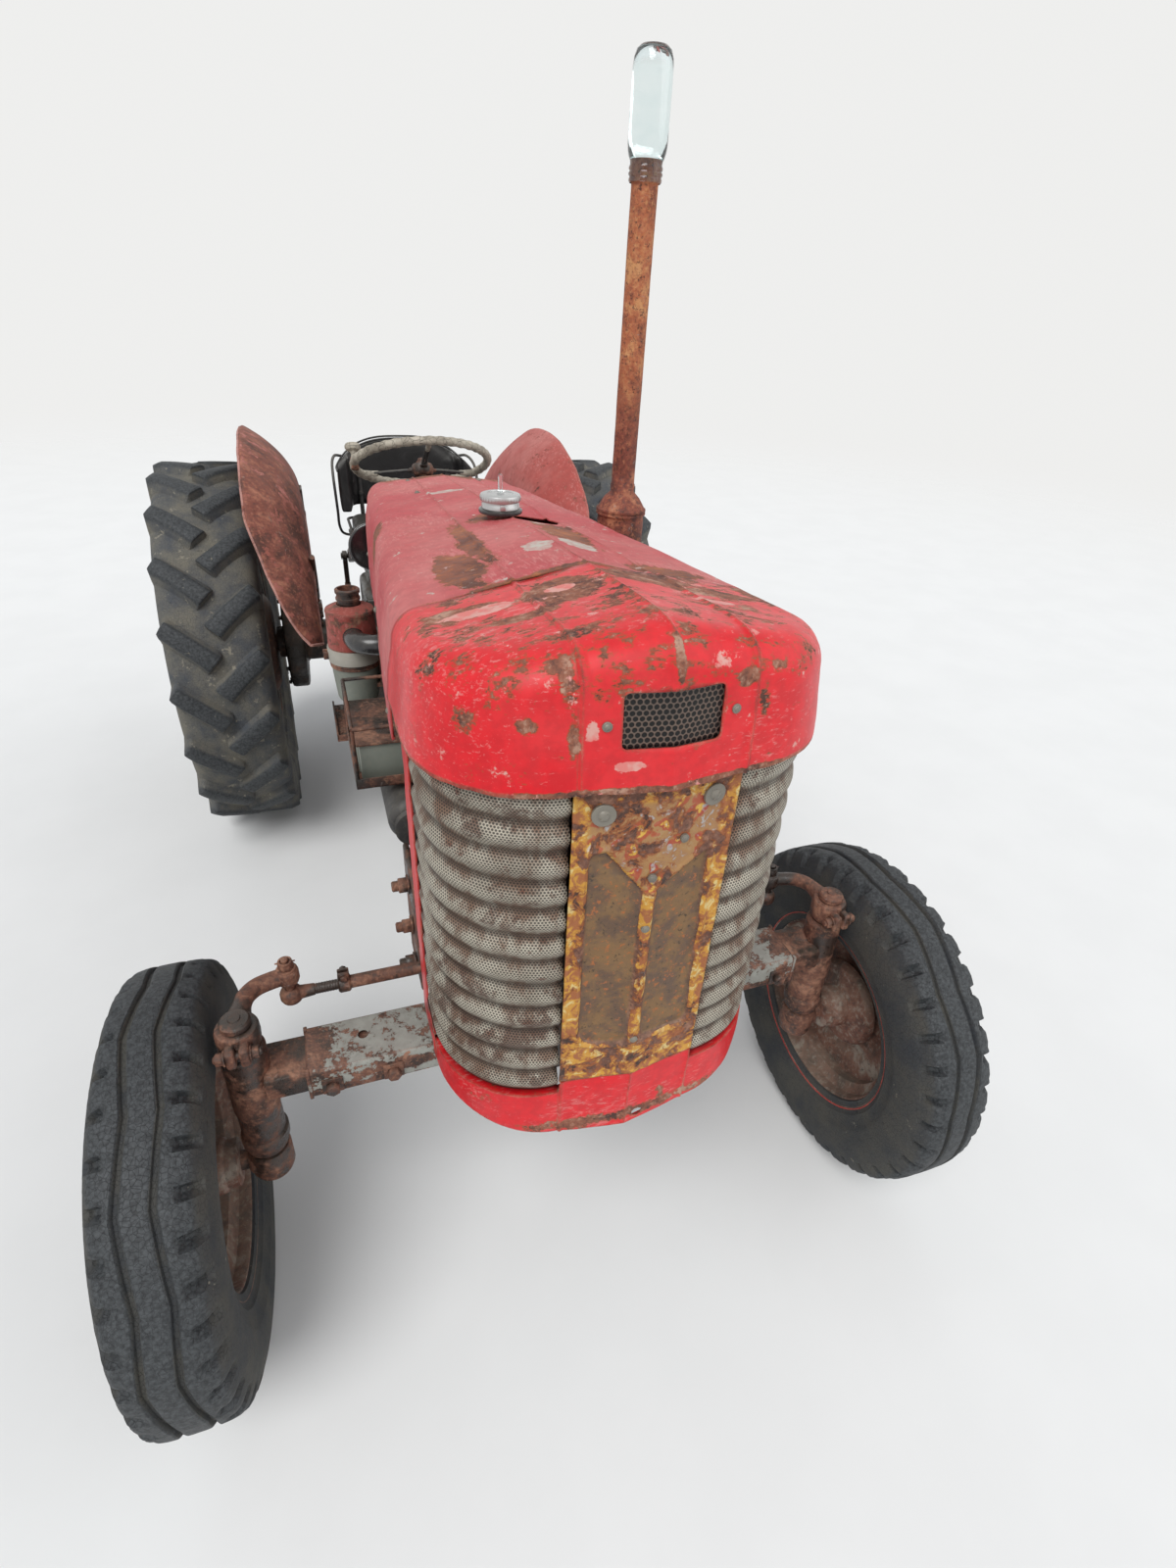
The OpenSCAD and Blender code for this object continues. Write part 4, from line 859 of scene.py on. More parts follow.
HOOD_RUST = [
    ((-150, 130, 1390), (52, 150, 60)), ((-105, 300, 1375), (30, 230, 50)),
    ((0, 10, 1400), (300, 30, 120)), ((0, 1135, 1300), (240, 60, 120)),
    ((-10, 470, 1375), (110, 70, 30)), ((55, 300, 1385), (60, 200, 40)),
    ((-215, 600, 1290), (60, 90, 60)), ((215, 800, 1270), (60, 120, 80)),
    ((150, 60, 1385), (110, 60, 40)), ((-240, 300, 1215), (40, 200, 40)),
    ((230, 400, 1220), (50, 260, 50)),
]
HOOD_PALE = [((-28, 165, 1404), (29, 33, 24)), ((42, 185, 1396), (37, 52, 24)),
             ((-47, 835, 1345), (54, 27, 24)), ((40, 392, 1380), (20, 9, 20))]
CAP_PALE = [((-165, -70, 1388), (60, 20, 30)), ((-60, -60, 1408), (26, 16, 20)),
            ((-108, -235, 1362), (14, 40, 26)), ((-60, -180, 1404), (40, 16, 20)),
            ((-92, -286, 1330), (14, 14, 22)), ((-52, -292, 1286), (30, 10, 8)),
            ((110, -120, 1396), (46, 14, 20)), ((60, -200, 1400), (20, 30, 20)),
            ((-225, -180, 1350), (16, 26, 20)), ((236, -130, 1340), (14, 20, 24))]
CHIPPED = (tint("47302a"), tint("865340"), tint("b08c78"))
APRON_RUST = [((0, -280, 640), (300, 60, 22)), ((-190, -200, 700), (60, 60, 30)),
              ((60, -290, 660), (20, 30, 40)), ((210, -180, 690), (50, 60, 30))]


def nose_finish():
    """Gloss red with brown chips across the shoulders."""
    c = colours()
    return paint("nose_red", c.nose_red, fade=0.1, loss=0.34, edges=0.5, dust=0.05, gloss=0.27,
                 scale=1.7, stretch=(2.2, 7.0, 9.0), scuff=0.4, rusty=CAP_RUST, pale=CAP_PALE,
                 bare=CHIPPED, rim=tint("a2582f"), spec=0.3, grain=(0.8, 1.5, 1.5), told_by=1.3,
                 high=(1330, 1388, 0.3), flake=tint("cf9a90"))


def hood_finish():
    """Sun-faded red, dusty, with brown rust along the seam and the ribs."""
    c = colours()
    return paint("hood_red", c.hood_red, fade=0.5, loss=0.28, edges=0.4, dust=0.22, gloss=0.5,
                 scale=1.0, stretch=(9.0, 1.6, 6.0), scuff=0.4, rusty=HOOD_RUST, pale=HOOD_PALE,
                 bare=(tint("4a2a1d"), tint("7d4b34"), tint("a86a42")), rim=tint("a2582f"),
                 spec=0.4, grain=(1.6, 0.8, 1.2), told_by=1.3)


def apron_finish():
    """The cap's red, chipped along its lower lip."""
    c = colours()
    return paint("apron_red", c.nose_red, fade=0.08, loss=0.26, edges=0.6, dust=0.05, gloss=0.3,
                 scale=1.5, stretch=(2.0, 8.0, 8.0), scuff=0.35, rusty=APRON_RUST, bare=CHIPPED,
                 rim=tint("a2582f"), spec=0.3)


def fender_finish(name, loss, base=None):
    """Faded red over red-brown rust; the right fender has lost most of it."""
    c = colours()
    return paint(name, base or c.fender_red, fade=0.5, loss=loss, edges=0.5, dust=0.25, gloss=0.6,
                 scale=1.2, stretch=(6.0, 3.0, 3.0), scuff=0.35, spec=0.35,
                 bare=(tint("43231d"), tint("784034"), tint("a86f58")))


def silver_finish():
    """Silver paint, flaking off the beam."""
    c = colours()
    low = [((-430, -50, 560), (120, 40, 22)), ((430, -50, 560), (120, 40, 22)),
           ((-300, -55, 590), (60, 20, 18)), ((0, 0, 556), (500, 90, 14)),
           ((-455, 0, 600), (40, 60, 50)), ((455, 0, 600), (40, 60, 50))]
    return paint("axle_silver", c.silver, fade=0.0, loss=0.72, edges=0.6, dust=0.15, gloss=0.42,
                 scale=2.2, stretch=(3.0, 6.0, 6.0), scuff=0.0, rusty=low)


def ochre_finish():
    """Yellow paint over rust; the panel's recesses are bare."""
    f = Finish("panel_ochre")
    c = f.colours
    rust = f.rust(1.6)
    cloud = f.noise(f.at, 26.0, 9.0, 0.68, 0.4)
    blotch = f.noise(f.at, 55.0, 5.0, 0.6, 0.6)
    warm = f.mix(f.band(blotch, 0.48, 0.58), c.ochre, tint("98592e"))
    warm = f.over(warm, blotch, 0.45, 0.38, tint("cdb678"))
    field = f.mark("field")
    rings = f.cells(f.mix(0.06, f.at, f.noise(f.at, 30.0, 4.0)), 30.0)
    spotted = f.mix(f.band(rings, 0.42, 0.36), tint("98714a"), tint("9a3326"))
    spotted = f.over(spotted, rings, 0.26, 0.2, tint("d0a640"))
    spotted = f.over(spotted, rings, 0.14, 0.1, tint("c9c3b4"))
    spotted = f.over(spotted, blotch, 0.58, 0.64, tint("a9b3b6"), 0.8)
    spotted = f.over(spotted, cloud, 0.5, 0.56, rust["Color"])
    warm = f.mix(f.math("MULTIPLY", field, 0.85), warm, spotted)
    lost = f.math("ADD", cloud, f.math("MULTIPLY", f.mark("recess"), 0.6))
    bare = f.band(lost, 0.53, 0.57)
    tone = f.over(warm, lost, 0.47, 0.545, tint("8a4a22"))
    grain = f.noise(f.at, 110.0, 6.0, 0.7)
    olive = f.mix(f.band(cloud, 0.4, 0.6), tint("5b4331"), tint("7b5d3c"))
    olive = f.over(olive, grain, 0.56, 0.64, tint("a8602c"), 0.8)
    olive = f.over(olive, grain, 0.42, 0.34, tint("2e251c"), 0.8)
    tone = f.mix(bare, tone, f.mix(f.mark("recess"), rust["Color"], olive))
    tone = f.mix(f.effect("Dust", Amount=0.2)["Mask"], tone, c.mud)
    height = f.math("ADD", f.math("MULTIPLY", f.math("SUBTRACT", 1.0, bare), 0.5),
                    rust["Height"])
    return f.done(tone, f.band(cloud, 0.4, 0.6, 0.5, 0.78), height=height, depth=0.0009)


def zinc_finish():
    """Galvanised sheet with rust runs, and painted shade in its grooves and small round holes."""
    f = Finish("grille_zinc")
    c = f.colours
    flat = f.add("ShaderNodeUVMap", uv_map="pattern").outputs[0]
    holes = f.effect("Round holes", Vector=flat, Cell=(0.0046, 0.0080, 1.0), Hole=0.29)["Mask"]
    groove = f.mark("groove")
    cloud = f.noise(f.at, 9.0, 8.0, 0.66)
    streak = f.noise(f.vector("MULTIPLY", f.at, (1.0, 1.0, 0.25)), 24.0, 6.0, 0.7)
    tone = f.mix(f.band(cloud, 0.4, 0.75), c.zinc, tint("8f8577"))
    stain = f.math("ADD", streak, f.math("MULTIPLY", groove, 0.16))
    tone = f.over(tone, stain, 0.5, 0.68, tint("755440"), 0.85)
    low = f.spots(f.mm, [((-190, -190, 860), (90, 140, 150)), ((60, -280, 900), (60, 200, 180)),
                         ((-140, -240, 1000), (60, 80, 60))])
    worn = f.math("ADD", f.noise(f.at, 16.0, 8.0, 0.7), f.math("MULTIPLY", low, 0.16))
    tone = f.over(tone, worn, 0.54, 0.64, tint("5f4032"), 0.8)
    tone = f.over(tone, f.noise(f.at, 46.0, 5.0, 0.7), 0.6, 0.68, c.rust_mid, 0.8)
    # Painted shade: the valleys of the corrugations are darkened.
    tone = f.over(tone, groove, 0.6, 1.0, tint("3a3129"), 0.6)
    # Painted shade: the holes are filled with near-black, the shade seen through them.
    tone = f.mix(f.math("MULTIPLY", holes, 0.82), tone, (0.012, 0.010, 0.008))
    height = f.math("MULTIPLY", holes, -1.0)
    return f.done(tone, f.band(cloud, 0.3, 0.7, 0.42, 0.7), metal=0.25, height=height,
                  depth=0.0012)


def vent_finish():
    """Dark mesh behind the vent, its larger holes filled with painted shade."""
    f = Finish("vent_dark")
    flat = f.add("ShaderNodeUVMap", uv_map="pattern").outputs[0]
    holes = f.effect("Round holes", Vector=flat, Cell=(0.0075, 0.013, 1.0), Hole=0.34)["Mask"]
    tone = f.mix(f.noise(f.at, 60.0, 4.0), tint("4a4541"), tint("7a6558"))
    # Painted shade: the holes are near-black, the shade seen through them.
    tone = f.mix(holes, tone, (0.003, 0.003, 0.003))
    return f.done(tone, 0.5, metal=0.3, height=f.math("MULTIPLY", holes, -1.0), depth=0.0015)


def rubber_finish(name, pale, specks):
    """Tyre rubber: worn dark tops, dusty hollows and sidewalls, specks of mud."""
    f = Finish(name)
    c = f.colours
    top = f.mark("tread")
    fine = f.noise(f.at, 150.0, 4.0, 0.65)
    cloud = f.noise(f.at, 10.0, 7.0, 0.65)
    dusty = f.mix(pale, c.rubber, c.mud)
    tone = f.over(dusty, cloud, 0.3, 0.7, f.mix(pale * 0.55, c.rubber, tint("6f747c")))
    worn = f.mix(f.band(fine, 0.3, 0.7), c.rubber, tint("45484a"))
    tone = f.over(tone, top, 0.25, 0.9, worn)
    cracks = f.cells(f.at, 120.0, "DISTANCE_TO_EDGE")
    tone = f.over(tone, cracks, 0.05, 0.0, (0.008, 0.008, 0.008), 0.45)
    mud = f.math("ADD", f.noise(f.at, 34.0, 8.0, 0.72), f.math("MULTIPLY", top, -0.05))
    tone = f.over(tone, mud, 0.66 - specks, 0.7 - specks, c.mud, 0.75)
    height = f.math("ADD", f.math("MULTIPLY", fine, 0.5), f.band(cracks, 0.0, 0.06, 0.0, 0.6))
    return f.done(tone, f.band(top, 0.0, 1.0, 0.85, 0.62), height=height, depth=0.0006, spec=0.35)


def vinyl_finish():
    """Black seat cover with a fine grain, dulled by dust."""
    f = Finish("seat_vinyl")
    c = f.colours
    grain = f.cells(f.at, 420.0)
    crease = f.noise(f.at, 22.0, 6.0, 0.7, 0.8)
    film = f.effect("Dust", Amount=0.16)["Mask"]
    tone = f.mix(f.band(crease, 0.55, 0.75, 0.0, 0.4), c.vinyl, tint("2e2e31"))
    tone = f.mix(film, tone, c.mud)
    height = f.math("ADD", f.math("MULTIPLY", grain, 0.25), f.math("MULTIPLY", crease, 1.2))
    return f.done(tone, f.math("ADD", f.band(crease, 0.3, 0.7, 0.3, 0.46), film), height=height,
                  depth=0.0015)


def grip_finish():
    """Weathered hard ring of the steering wheel, finely cracked."""
    f = Finish("wheel_grip")
    c = f.colours
    cloud = f.noise(f.at, 18.0, 7.0, 0.66)
    cracks = f.cells(f.at, 60.0, "DISTANCE_TO_EDGE")
    tone = f.mix(f.band(cloud, 0.42, 0.7), c.rim_grip, tint("7d7568"))
    tone = f.over(tone, cracks, 0.03, 0.0, tint("1d1a17"), 0.8)
    return f.done(tone, f.band(cloud, 0.3, 0.7, 0.45, 0.7), height=f.band(cracks, 0.0, 0.05),
                  depth=0.0008)


def glass_finish():
    """Clear glass of the jar."""
    f = Finish("jar_glass")
    s = f.shader.inputs
    s["Transmission Weight"].default_value = 1.0
    s["IOR"].default_value = 1.45
    s["Metallic"].default_value = 0.0
    ripple = f.noise(f.at, 30.0, 2.0)
    smear = f.band(f.noise(f.at, 12.0, 5.0, 0.7), 0.5, 0.75, 0.03, 0.14)
    f.feed(s["Base Color"], f.mix(f.band(ripple, 0.3, 0.7), (0.93, 0.97, 0.97), (0.88, 0.94, 0.94)))
    f.feed(s["Roughness"], smear)
    bump = f.add("ShaderNodeBump", {"Height": ripple, "Distance": 0.0006})
    f.feed(s["Normal"], bump.outputs[0])
    return f.mat


def stack_finish():
    """Exhaust pipe: dark red-brown on the muffler, golden orange with dark specks above."""
    f = Finish("stack_rust")
    low = f.rust(1.4, tint("452018"), tint("7c4030"), tint("ad7253"))
    high = f.rust(1.8, tint("7c4530"), tint("a9623f"), tint("c28c5c"))
    tall = f.add("ShaderNodeSeparateXYZ", {0: f.mm}).outputs["Z"]
    wander = f.math("MULTIPLY", f.noise(f.at, 14.0, 5.0), 260.0)
    tone = f.mix(f.band(f.math("ADD", tall, wander), 1560, 1760), low["Color"], high["Color"])
    specks = f.noise(f.at, 160.0, 5.0, 0.7)
    tone = f.over(tone, specks, 0.56, 0.64, tint("3b211a"), 0.85)
    return f.done(tone, low["Roughness"], height=low["Height"], depth=0.0018)


MAKERS = {
    "nose": nose_finish,
    "hood": hood_finish,
    "apron": apron_finish,
    "fender_left": lambda: fender_finish("fender_left_red", 0.5),
    "fender_right": lambda: fender_finish("fender_right_red", 1.0, tint("9a5446")),
    "roll_left": lambda: fender_finish("roll_left_red", 0.4, tint("b5655c")),
    "roll_right": lambda: fender_finish("roll_right_red", 0.6, tint("b98a80")),
    "silver": silver_finish,
    "ochre": ochre_finish,
    "zinc": zinc_finish,
    "vent": vent_finish,
    "front_rubber": lambda: rubber_finish("front_rubber", 0.2, 0.0),
    "rear_rubber": lambda: rubber_finish("rear_rubber", 0.55, 0.06),
    "vinyl": vinyl_finish,
    "grip": grip_finish,
    "glass": glass_finish,
    "stack": stack_finish,
    "rust": lambda: bare_metal("rusty_steel", scale=1.5, dust=0.12, grease=0.32),
    "wheel": lambda: bare_metal("wheel_rust", tint("3d2620"), tint("6d4536"), tint("8f8478"), 1.1,
                                dust=0.4),
    "disc": lambda: bare_metal("disc_rust", tint("2a1c18"), tint("4c3027"), tint("7c5542"), 0.9,
                               dust=0.3),
    "brown": lambda: bare_metal("brown_steel", tint("2c1d18"), tint("573529"), tint("8a5a45"),
                                1.2, dust=0.25, grease=0.35),
    "iron": lambda: bare_metal("oily_iron", tint("1e1a18"), tint("3f342e"), tint("6e5547"), 1.0,
                               dust=0.35, grease=0.5),
    "oily": lambda: bare_metal("oily_steel", tint("14100e"), tint("38271f"), tint("6b4838"), 1.6,
                               dust=0.1, grease=0.8),
    "zinc_plain": lambda: plain("zinc_plain", tint("8d8e8e"), 0.42, 0.55, dust=0.1),
    "bright": lambda: plain("bright_metal", tint("c2c3c3"), 0.28, 0.85, dust=0.06, speck=0.12),
    "screw": lambda: plain("screw_zinc", tint("7f7a70"), 0.5, 0.25, dust=0.05, speck=0.6),
    "enamel": lambda: plain("black_enamel", (0.012, 0.012, 0.014), 0.16, dust=0.12, depth=0.0001,
                            coat=0.6, speck=0.1),
    "hose": lambda: plain("hose_rubber", (0.016, 0.016, 0.018), 0.22, dust=0.08, depth=0.0002,
                          coat=0.3, speck=0.15),
    "dark": lambda: plain("black_paint", (0.03, 0.03, 0.032), 0.5, dust=0.3, speck=0.35),
    "bowl": lambda: plain("bowl_grey", tint("7d8278"), 0.5, dust=0.25, speck=0.45),
    "pale_band": lambda: plain("pale_band", tint("a9a59a"), 0.55, dust=0.2, speck=0.4),
    "gauge": lambda: plain("gauge_face", tint("d6d2c4"), 0.4, dust=0.1, speck=0.15),
    "tube": lambda: plain("tube_grey", tint("5f6164"), 0.45, 0.3, dust=0.2, speck=0.4),
    "cleaner": lambda: paint("cleaner_red", tint("8e3b30"), fade=0.35, loss=0.7, edges=0.5,
                             dust=0.25, gloss=0.6, scale=2.2, stretch=(5, 5, 2), scuff=0.2),
    "tank": lambda: paint("tank_red", tint("7a2f2b"), fade=0.3, loss=0.6, edges=0.4, dust=0.4,
                          gloss=0.6, scale=1.5, scuff=0.1),
    "fan": lambda: paint("fan_yellow", tint("9a8440"), fade=0.2, loss=0.6, edges=0.5, dust=0.2,
                         gloss=0.6, scale=2.0, scuff=0.1),
    "dash": lambda: paint("dash_red", tint("6d2724"), fade=0.3, loss=0.5, edges=0.4, dust=0.25,
                          gloss=0.5, scale=1.6, scuff=0.2),
}
MADE = {}


def finish(name):
    """The material of a finish."""
    if name not in MADE:
        MADE[name] = MAKERS[name]()
    return MADE[name]


# What each frame node shows: its finish. A node that a piece replaces keeps it too.
NODE_FINISH = {
    "iron": ("front_bolster", "engine_block", "cylinder_head", "transmission_case",
             "rear_axle_housing", "hydraulic_cover", "steering_box", "footrests", "generator"),
    "silver": ("axle_beam",),
    "rust": ("axle_arm_left", "axle_arm_right", "knuckle_left", "knuckle_right", "tie_rod_left",
             "tie_rod_right", "front_wheel_left", "front_wheel_right", "exhaust_manifold",
             "battery_tray"),
    "brown": ("centre_arm", "drag_link", "drop_arm", "rear_disc_left", "rear_disc_right",
              "rear_rim_left", "rear_rim_right", "seat_frame", "lift_arms", "lift_rods",
              "lower_link_left", "lower_link_right", "drawbar"),
    "oily": ("pto_shaft",),
    "front_rubber": ("front_tyre_left", "front_tyre_right"),
    "rear_rubber": ("rear_tyre_left", "rear_tyre_right"),
    "dark": ("radiator",),
    "fan": ("fan",),
    "stack": ("exhaust_stack",),
    "glass": ("rain_jar",),
    "cleaner": ("air_cleaner",),
    "hose": ("intake_hose",),
    "enamel": ("side_lamp",),
    "tank": ("fuel_tank",),
    "bright": ("fuel_cap",),
    "hood": ("hood",),
    "nose": ("nose_cap",),
    "vent": ("vent_mesh",),
    "zinc_plain": ("grille_left", "grille_right"),
    "apron": ("grille_frame",),
    "fender_left": ("fender_left",),
    "fender_right": ("fender_right",),
    "dash": ("dash_panel",),
    "grip": ("steering_wheel",),
    "vinyl": ("seat_cushion", "seat_back"),
    "ochre": ("centre_panel",),
}


class TRACTOR_OT_frame_finishes(bpy.types.Operator):
    """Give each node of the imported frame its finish"""

    bl_idname = "tractor.frame_finishes"
    bl_label = "Frame finishes"

    def execute(self, context):
        for name, nodes in NODE_FINISH.items():
            for node in nodes:
                mesh = frame["nodes"][node].data
                mesh.materials.clear()
                mesh.materials.append(finish(name))
        return {"FINISHED"}


class TRACTOR_OT_stage(bpy.types.Operator):
    """Set the floor, the light and the camera at the photograph's angle"""

    bl_idname = "tractor.stage"
    bl_label = "Stage"

    def execute(self, context):
        scene = context.scene
        scene.view_settings.view_transform = "Standard"
        pale = (0.86, 0.86, 0.85)
        # Floor: pale, fading into the background far away.
        part = bmesh.new()
        bmesh.ops.create_circle(part, cap_ends=True, segments=64, radius=14.0)
        mesh = bpy.data.meshes.new("floor")
        part.to_mesh(mesh)
        part.free()
        floor = bpy.data.objects.new("floor", mesh)
        scene.collection.objects.link(floor)
        f = Finish("floor")
        s = f.shader.inputs
        s["Roughness"].default_value = 0.9
        s["Specular IOR Level"].default_value = 0.1
        f.feed(s["Base Color"], f.mix(f.band(f.noise(f.at, 3.0), 0.3, 0.7), (0.74, 0.74, 0.73),
                                      (0.76, 0.76, 0.75)))
        far = f.add("ShaderNodeVectorMath", {0: f.at}, operation="LENGTH").outputs["Value"]
        gone = f.add("ShaderNodeBsdfTransparent")
        both = f.add("ShaderNodeMixShader", {0: f.band(far, 4.0, 13.0), 1: f.shader.outputs[0],
                                             2: gone.outputs[0]})
        f.feed(f.tree.nodes["Material Output"].inputs[0], both.outputs[0])
        mesh.materials.append(f.mat)
        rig.stage(floor)
        # World: soft light, with a pale background for camera, mirrors and glass.
        world = bpy.data.worlds.new("studio")
        scene.world = world
        world.use_nodes = True
        g = Graph(world.node_tree)
        g.tree.nodes.clear()
        path = g.add("ShaderNodeLightPath").outputs
        seen = g.math("MAXIMUM", path["Is Camera Ray"],
                      g.math("MAXIMUM", path["Is Glossy Ray"], path["Is Transmission Ray"]))
        soft = g.add("ShaderNodeBackground", {0: (0.93, 0.96, 1.0), 1: 0.62})
        back = g.add("ShaderNodeBackground", {0: pale, 1: 1.0})
        both = g.add("ShaderNodeMixShader", {0: seen, 1: soft.outputs[0], 2: back.outputs[0]})
        g.add("ShaderNodeOutputWorld", {0: both.outputs[0]})
        for name, energy, angle, turn in (
            ("key", 2.0, 35.0, (38.0, 0.0, -38.0)), ("fill", 0.7, 60.0, (60.0, 0.0, 60.0))
        ):
            sun = bpy.data.lights.new(name, "SUN")
            sun.energy = energy
            sun.angle = radians(angle)
            lamp = bpy.data.objects.new(name, sun)
            lamp.rotation_euler = [radians(t) for t in turn]
            scene.collection.objects.link(lamp)
        # Camera, solved from the photograph: its angles, place in metres and focal length.
        turn, down, roll = 0.3709, 0.562, 0.0631
        eye, focal = (-0.3502, -2.0974, 1.7094), 17.44
        ahead = Vector((sin(turn) * cos(down), cos(turn) * cos(down),
                        -sin(down)))
        right = Vector((cos(turn), -sin(turn), 0.0))
        over = right.cross(ahead)
        wide = right * cos(roll) + over * sin(roll)
        tall = over * cos(roll) - right * sin(roll)
        lens = bpy.data.cameras.new("photo_camera")
        lens.sensor_fit = "AUTO"
        lens.sensor_width = 36.0
        lens.lens = focal
        lens.clip_start, lens.clip_end = 0.05, 200.0
        camera = bpy.data.objects.new("photo_camera", lens)
        place = Matrix((wide, tall, -ahead)).transposed().to_4x4()
        camera.matrix_world = Matrix.Translation(eye) @ place
        scene.collection.objects.link(camera)
        scene.camera = camera
        return {"FINISHED"}


# Plan and section of the nose, as the frame has them: half its width, its front, the round
# of its corners (which turn about FLAT and CORNER_Y) and the seam between cap and hood.
HALF, FRONT, CORNER, SEAM = 266.0, -272.0, 158.0, 12.0
FLAT, CORNER_Y = HALF - CORNER, FRONT + CORNER
# How far the prow stands out, the round of the shoulder, the cap's lower edge and its bend.
PROW, SHOULDER, CAP_LOW, CAP_BEND = 16.0, 48.0, 1252.0, 1296.0
# The pressed bead beside the middle, and half its width.
BEAD_X, BEAD_WIDE = 102.0, 5.5
# The hood: its length, the height of its top and of its lower edge at the seam, how far
# each falls to the rear, and how far each side draws in.
HOOD_LONG, HOOD_TOP, HOOD_LOW = 1128.0, 1419.0, 1185.0
TOP_FALL, LOW_FALL, DRAW_IN = 98.0, 65.0, 74.0
# The grille: its lower edge and its corrugations. The centre panel: half its width, its ends.
GRILLE_LOW, WAVES = 722.0, 12
PANEL_HALF, PANEL_LOW, PANEL_HIGH = 107.0, 744.0, 1250.5
# Steering: heights of the axle beam, of the stub axles and of the tie rods, place of the
# kingpins and of the ball joints behind them, the drop arm's two eyes.
AXLE_Z, STUB_Z, ROD_Z, KINGPIN_X = 588.0, 370.0, 651.0, 559.0
BALL_X, BALL_Y = 482.0, 105.0
DROP_Y, DROP_Z, DRAG_Z = 1180.0, 840.0, 664.0
# The fan's height, the exhaust stack's place and the air cleaner's.
FAN_Z, STACK_X, STACK_Y, CLEANER_X, CLEANER_Y = 990.0, 300.0, 643.0, -278.0, 830.0
# Rear: the power shaft's height, the lift shaft, the lower links' front eyes and their droop.
POWER_Z, LIFT_Y, LIFT_Z, LINK_Y, LINK_Z = 560.0, 1985.0, 905.0, 1900.0, 450.0
LIFT_LONG, DROOP = 260.0, 6.75


def start(*marks):
    """An empty piece that can hold patterns and marks."""
    bm = bmesh.new()
    bm.loops.layers.uv.new("pattern")
    for name in marks:
        bm.verts.layers.float.new(name)
    return bm


def ease(value, low, high):
    """Runs smoothly from 0 at low to 1 at high."""
    k = min(1.0, max(0.0, (value - low) / (high - low)))
    return k * k * (3 - 2 * k)


def bead(off, half):
    """Height, 0 to 1, of a pressed bead at a distance from its middle."""
    return 0.5 + 0.5 * cos(pi * min(1.0, abs(off) / half))


def rough(at, scale, amount):
    """A small unevenness, the same in each run."""
    return noise.noise(Vector(at) * scale) * amount


def nose_at(k, inset, rear):
    """Half plan of the nose: from the rear of its side (0) to the middle of its front (1)."""
    r = max(CORNER - inset, 4.0)
    half, middle = HALF - inset, FRONT + inset + r
    if k < 0.2:
        return half, rear - (rear - middle) * k / 0.2
    if k < 0.7:
        t = (k - 0.2) / 0.5 * pi / 2
        return half - r + r * cos(t), middle - r * sin(t)
    x = (half - r) * (1 - (k - 0.7) / 0.3)
    bulge = PROW * max(0.0, 1 - inset / 70)
    return x, FRONT + inset - bulge * (1 - x / (half - r))


def cap_top(x, y):
    """Height of the cap's top."""
    rise = 15 * min(1.0, max(0.0, (SEAM - y) / 200))
    return HOOD_TOP + rise - 0.2 * min(abs(x), HALF - SHOULDER)


def cap_rows():
    """Rows of the cap from its lower edge to its flat top: inset, and height or drop."""
    rows = [(-8.0, CAP_LOW + 1.5, None), (-10.0, CAP_LOW, None), (-10.2, CAP_LOW + 3, None),
            (-9.6, CAP_LOW + 9, None)]
    rows += [(-9.0 + 3.0 * j / 4, CAP_LOW + 9 + (CAP_BEND - CAP_LOW - 9) * j / 4, None)
             for j in range(1, 5)]
    rows += [(-6.0 * (1 - j / 7), None, SHOULDER + (1 - j / 7)) for j in range(1, 7)]
    for t in steps(0, pi / 2, 10):
        rows.append((SHOULDER * (1 - cos(t)), None, SHOULDER * (1 - sin(t))))
    return rows


def cap_place(x, y, row, spread):
    """A point of the cap's wall or shoulder, pressed and dented."""
    _, high, drop = row
    if high is None:
        top = cap_top(x, y)
        if drop > SHOULDER:
            high = CAP_BEND + (top - SHOULDER - CAP_BEND) * (1 - (drop - SHOULDER))
        else:
            high = top - drop
    out = Vector((x, y + 110, (high - 1290) * 1.4)).normalized()
    lift = sizes().crease * bead(abs(x) - BEAD_X, BEAD_WIDE) * spread
    lift += sizes().crease * 0.55 * bead(x, 4.5) * spread * ease(high, 1372, 1384)
    lift += rough((x, y, high), 0.011, 2.2) + rough((x, y, high), 0.035, 0.9)
    if high < CAP_LOW + 4:
        high += rough((x, y, 9), 0.06, 1.4) + 0.8 * max(0.0, noise.noise(Vector((x, y, 3)) * 0.21))
    return Vector((x, y, high)) + out * lift


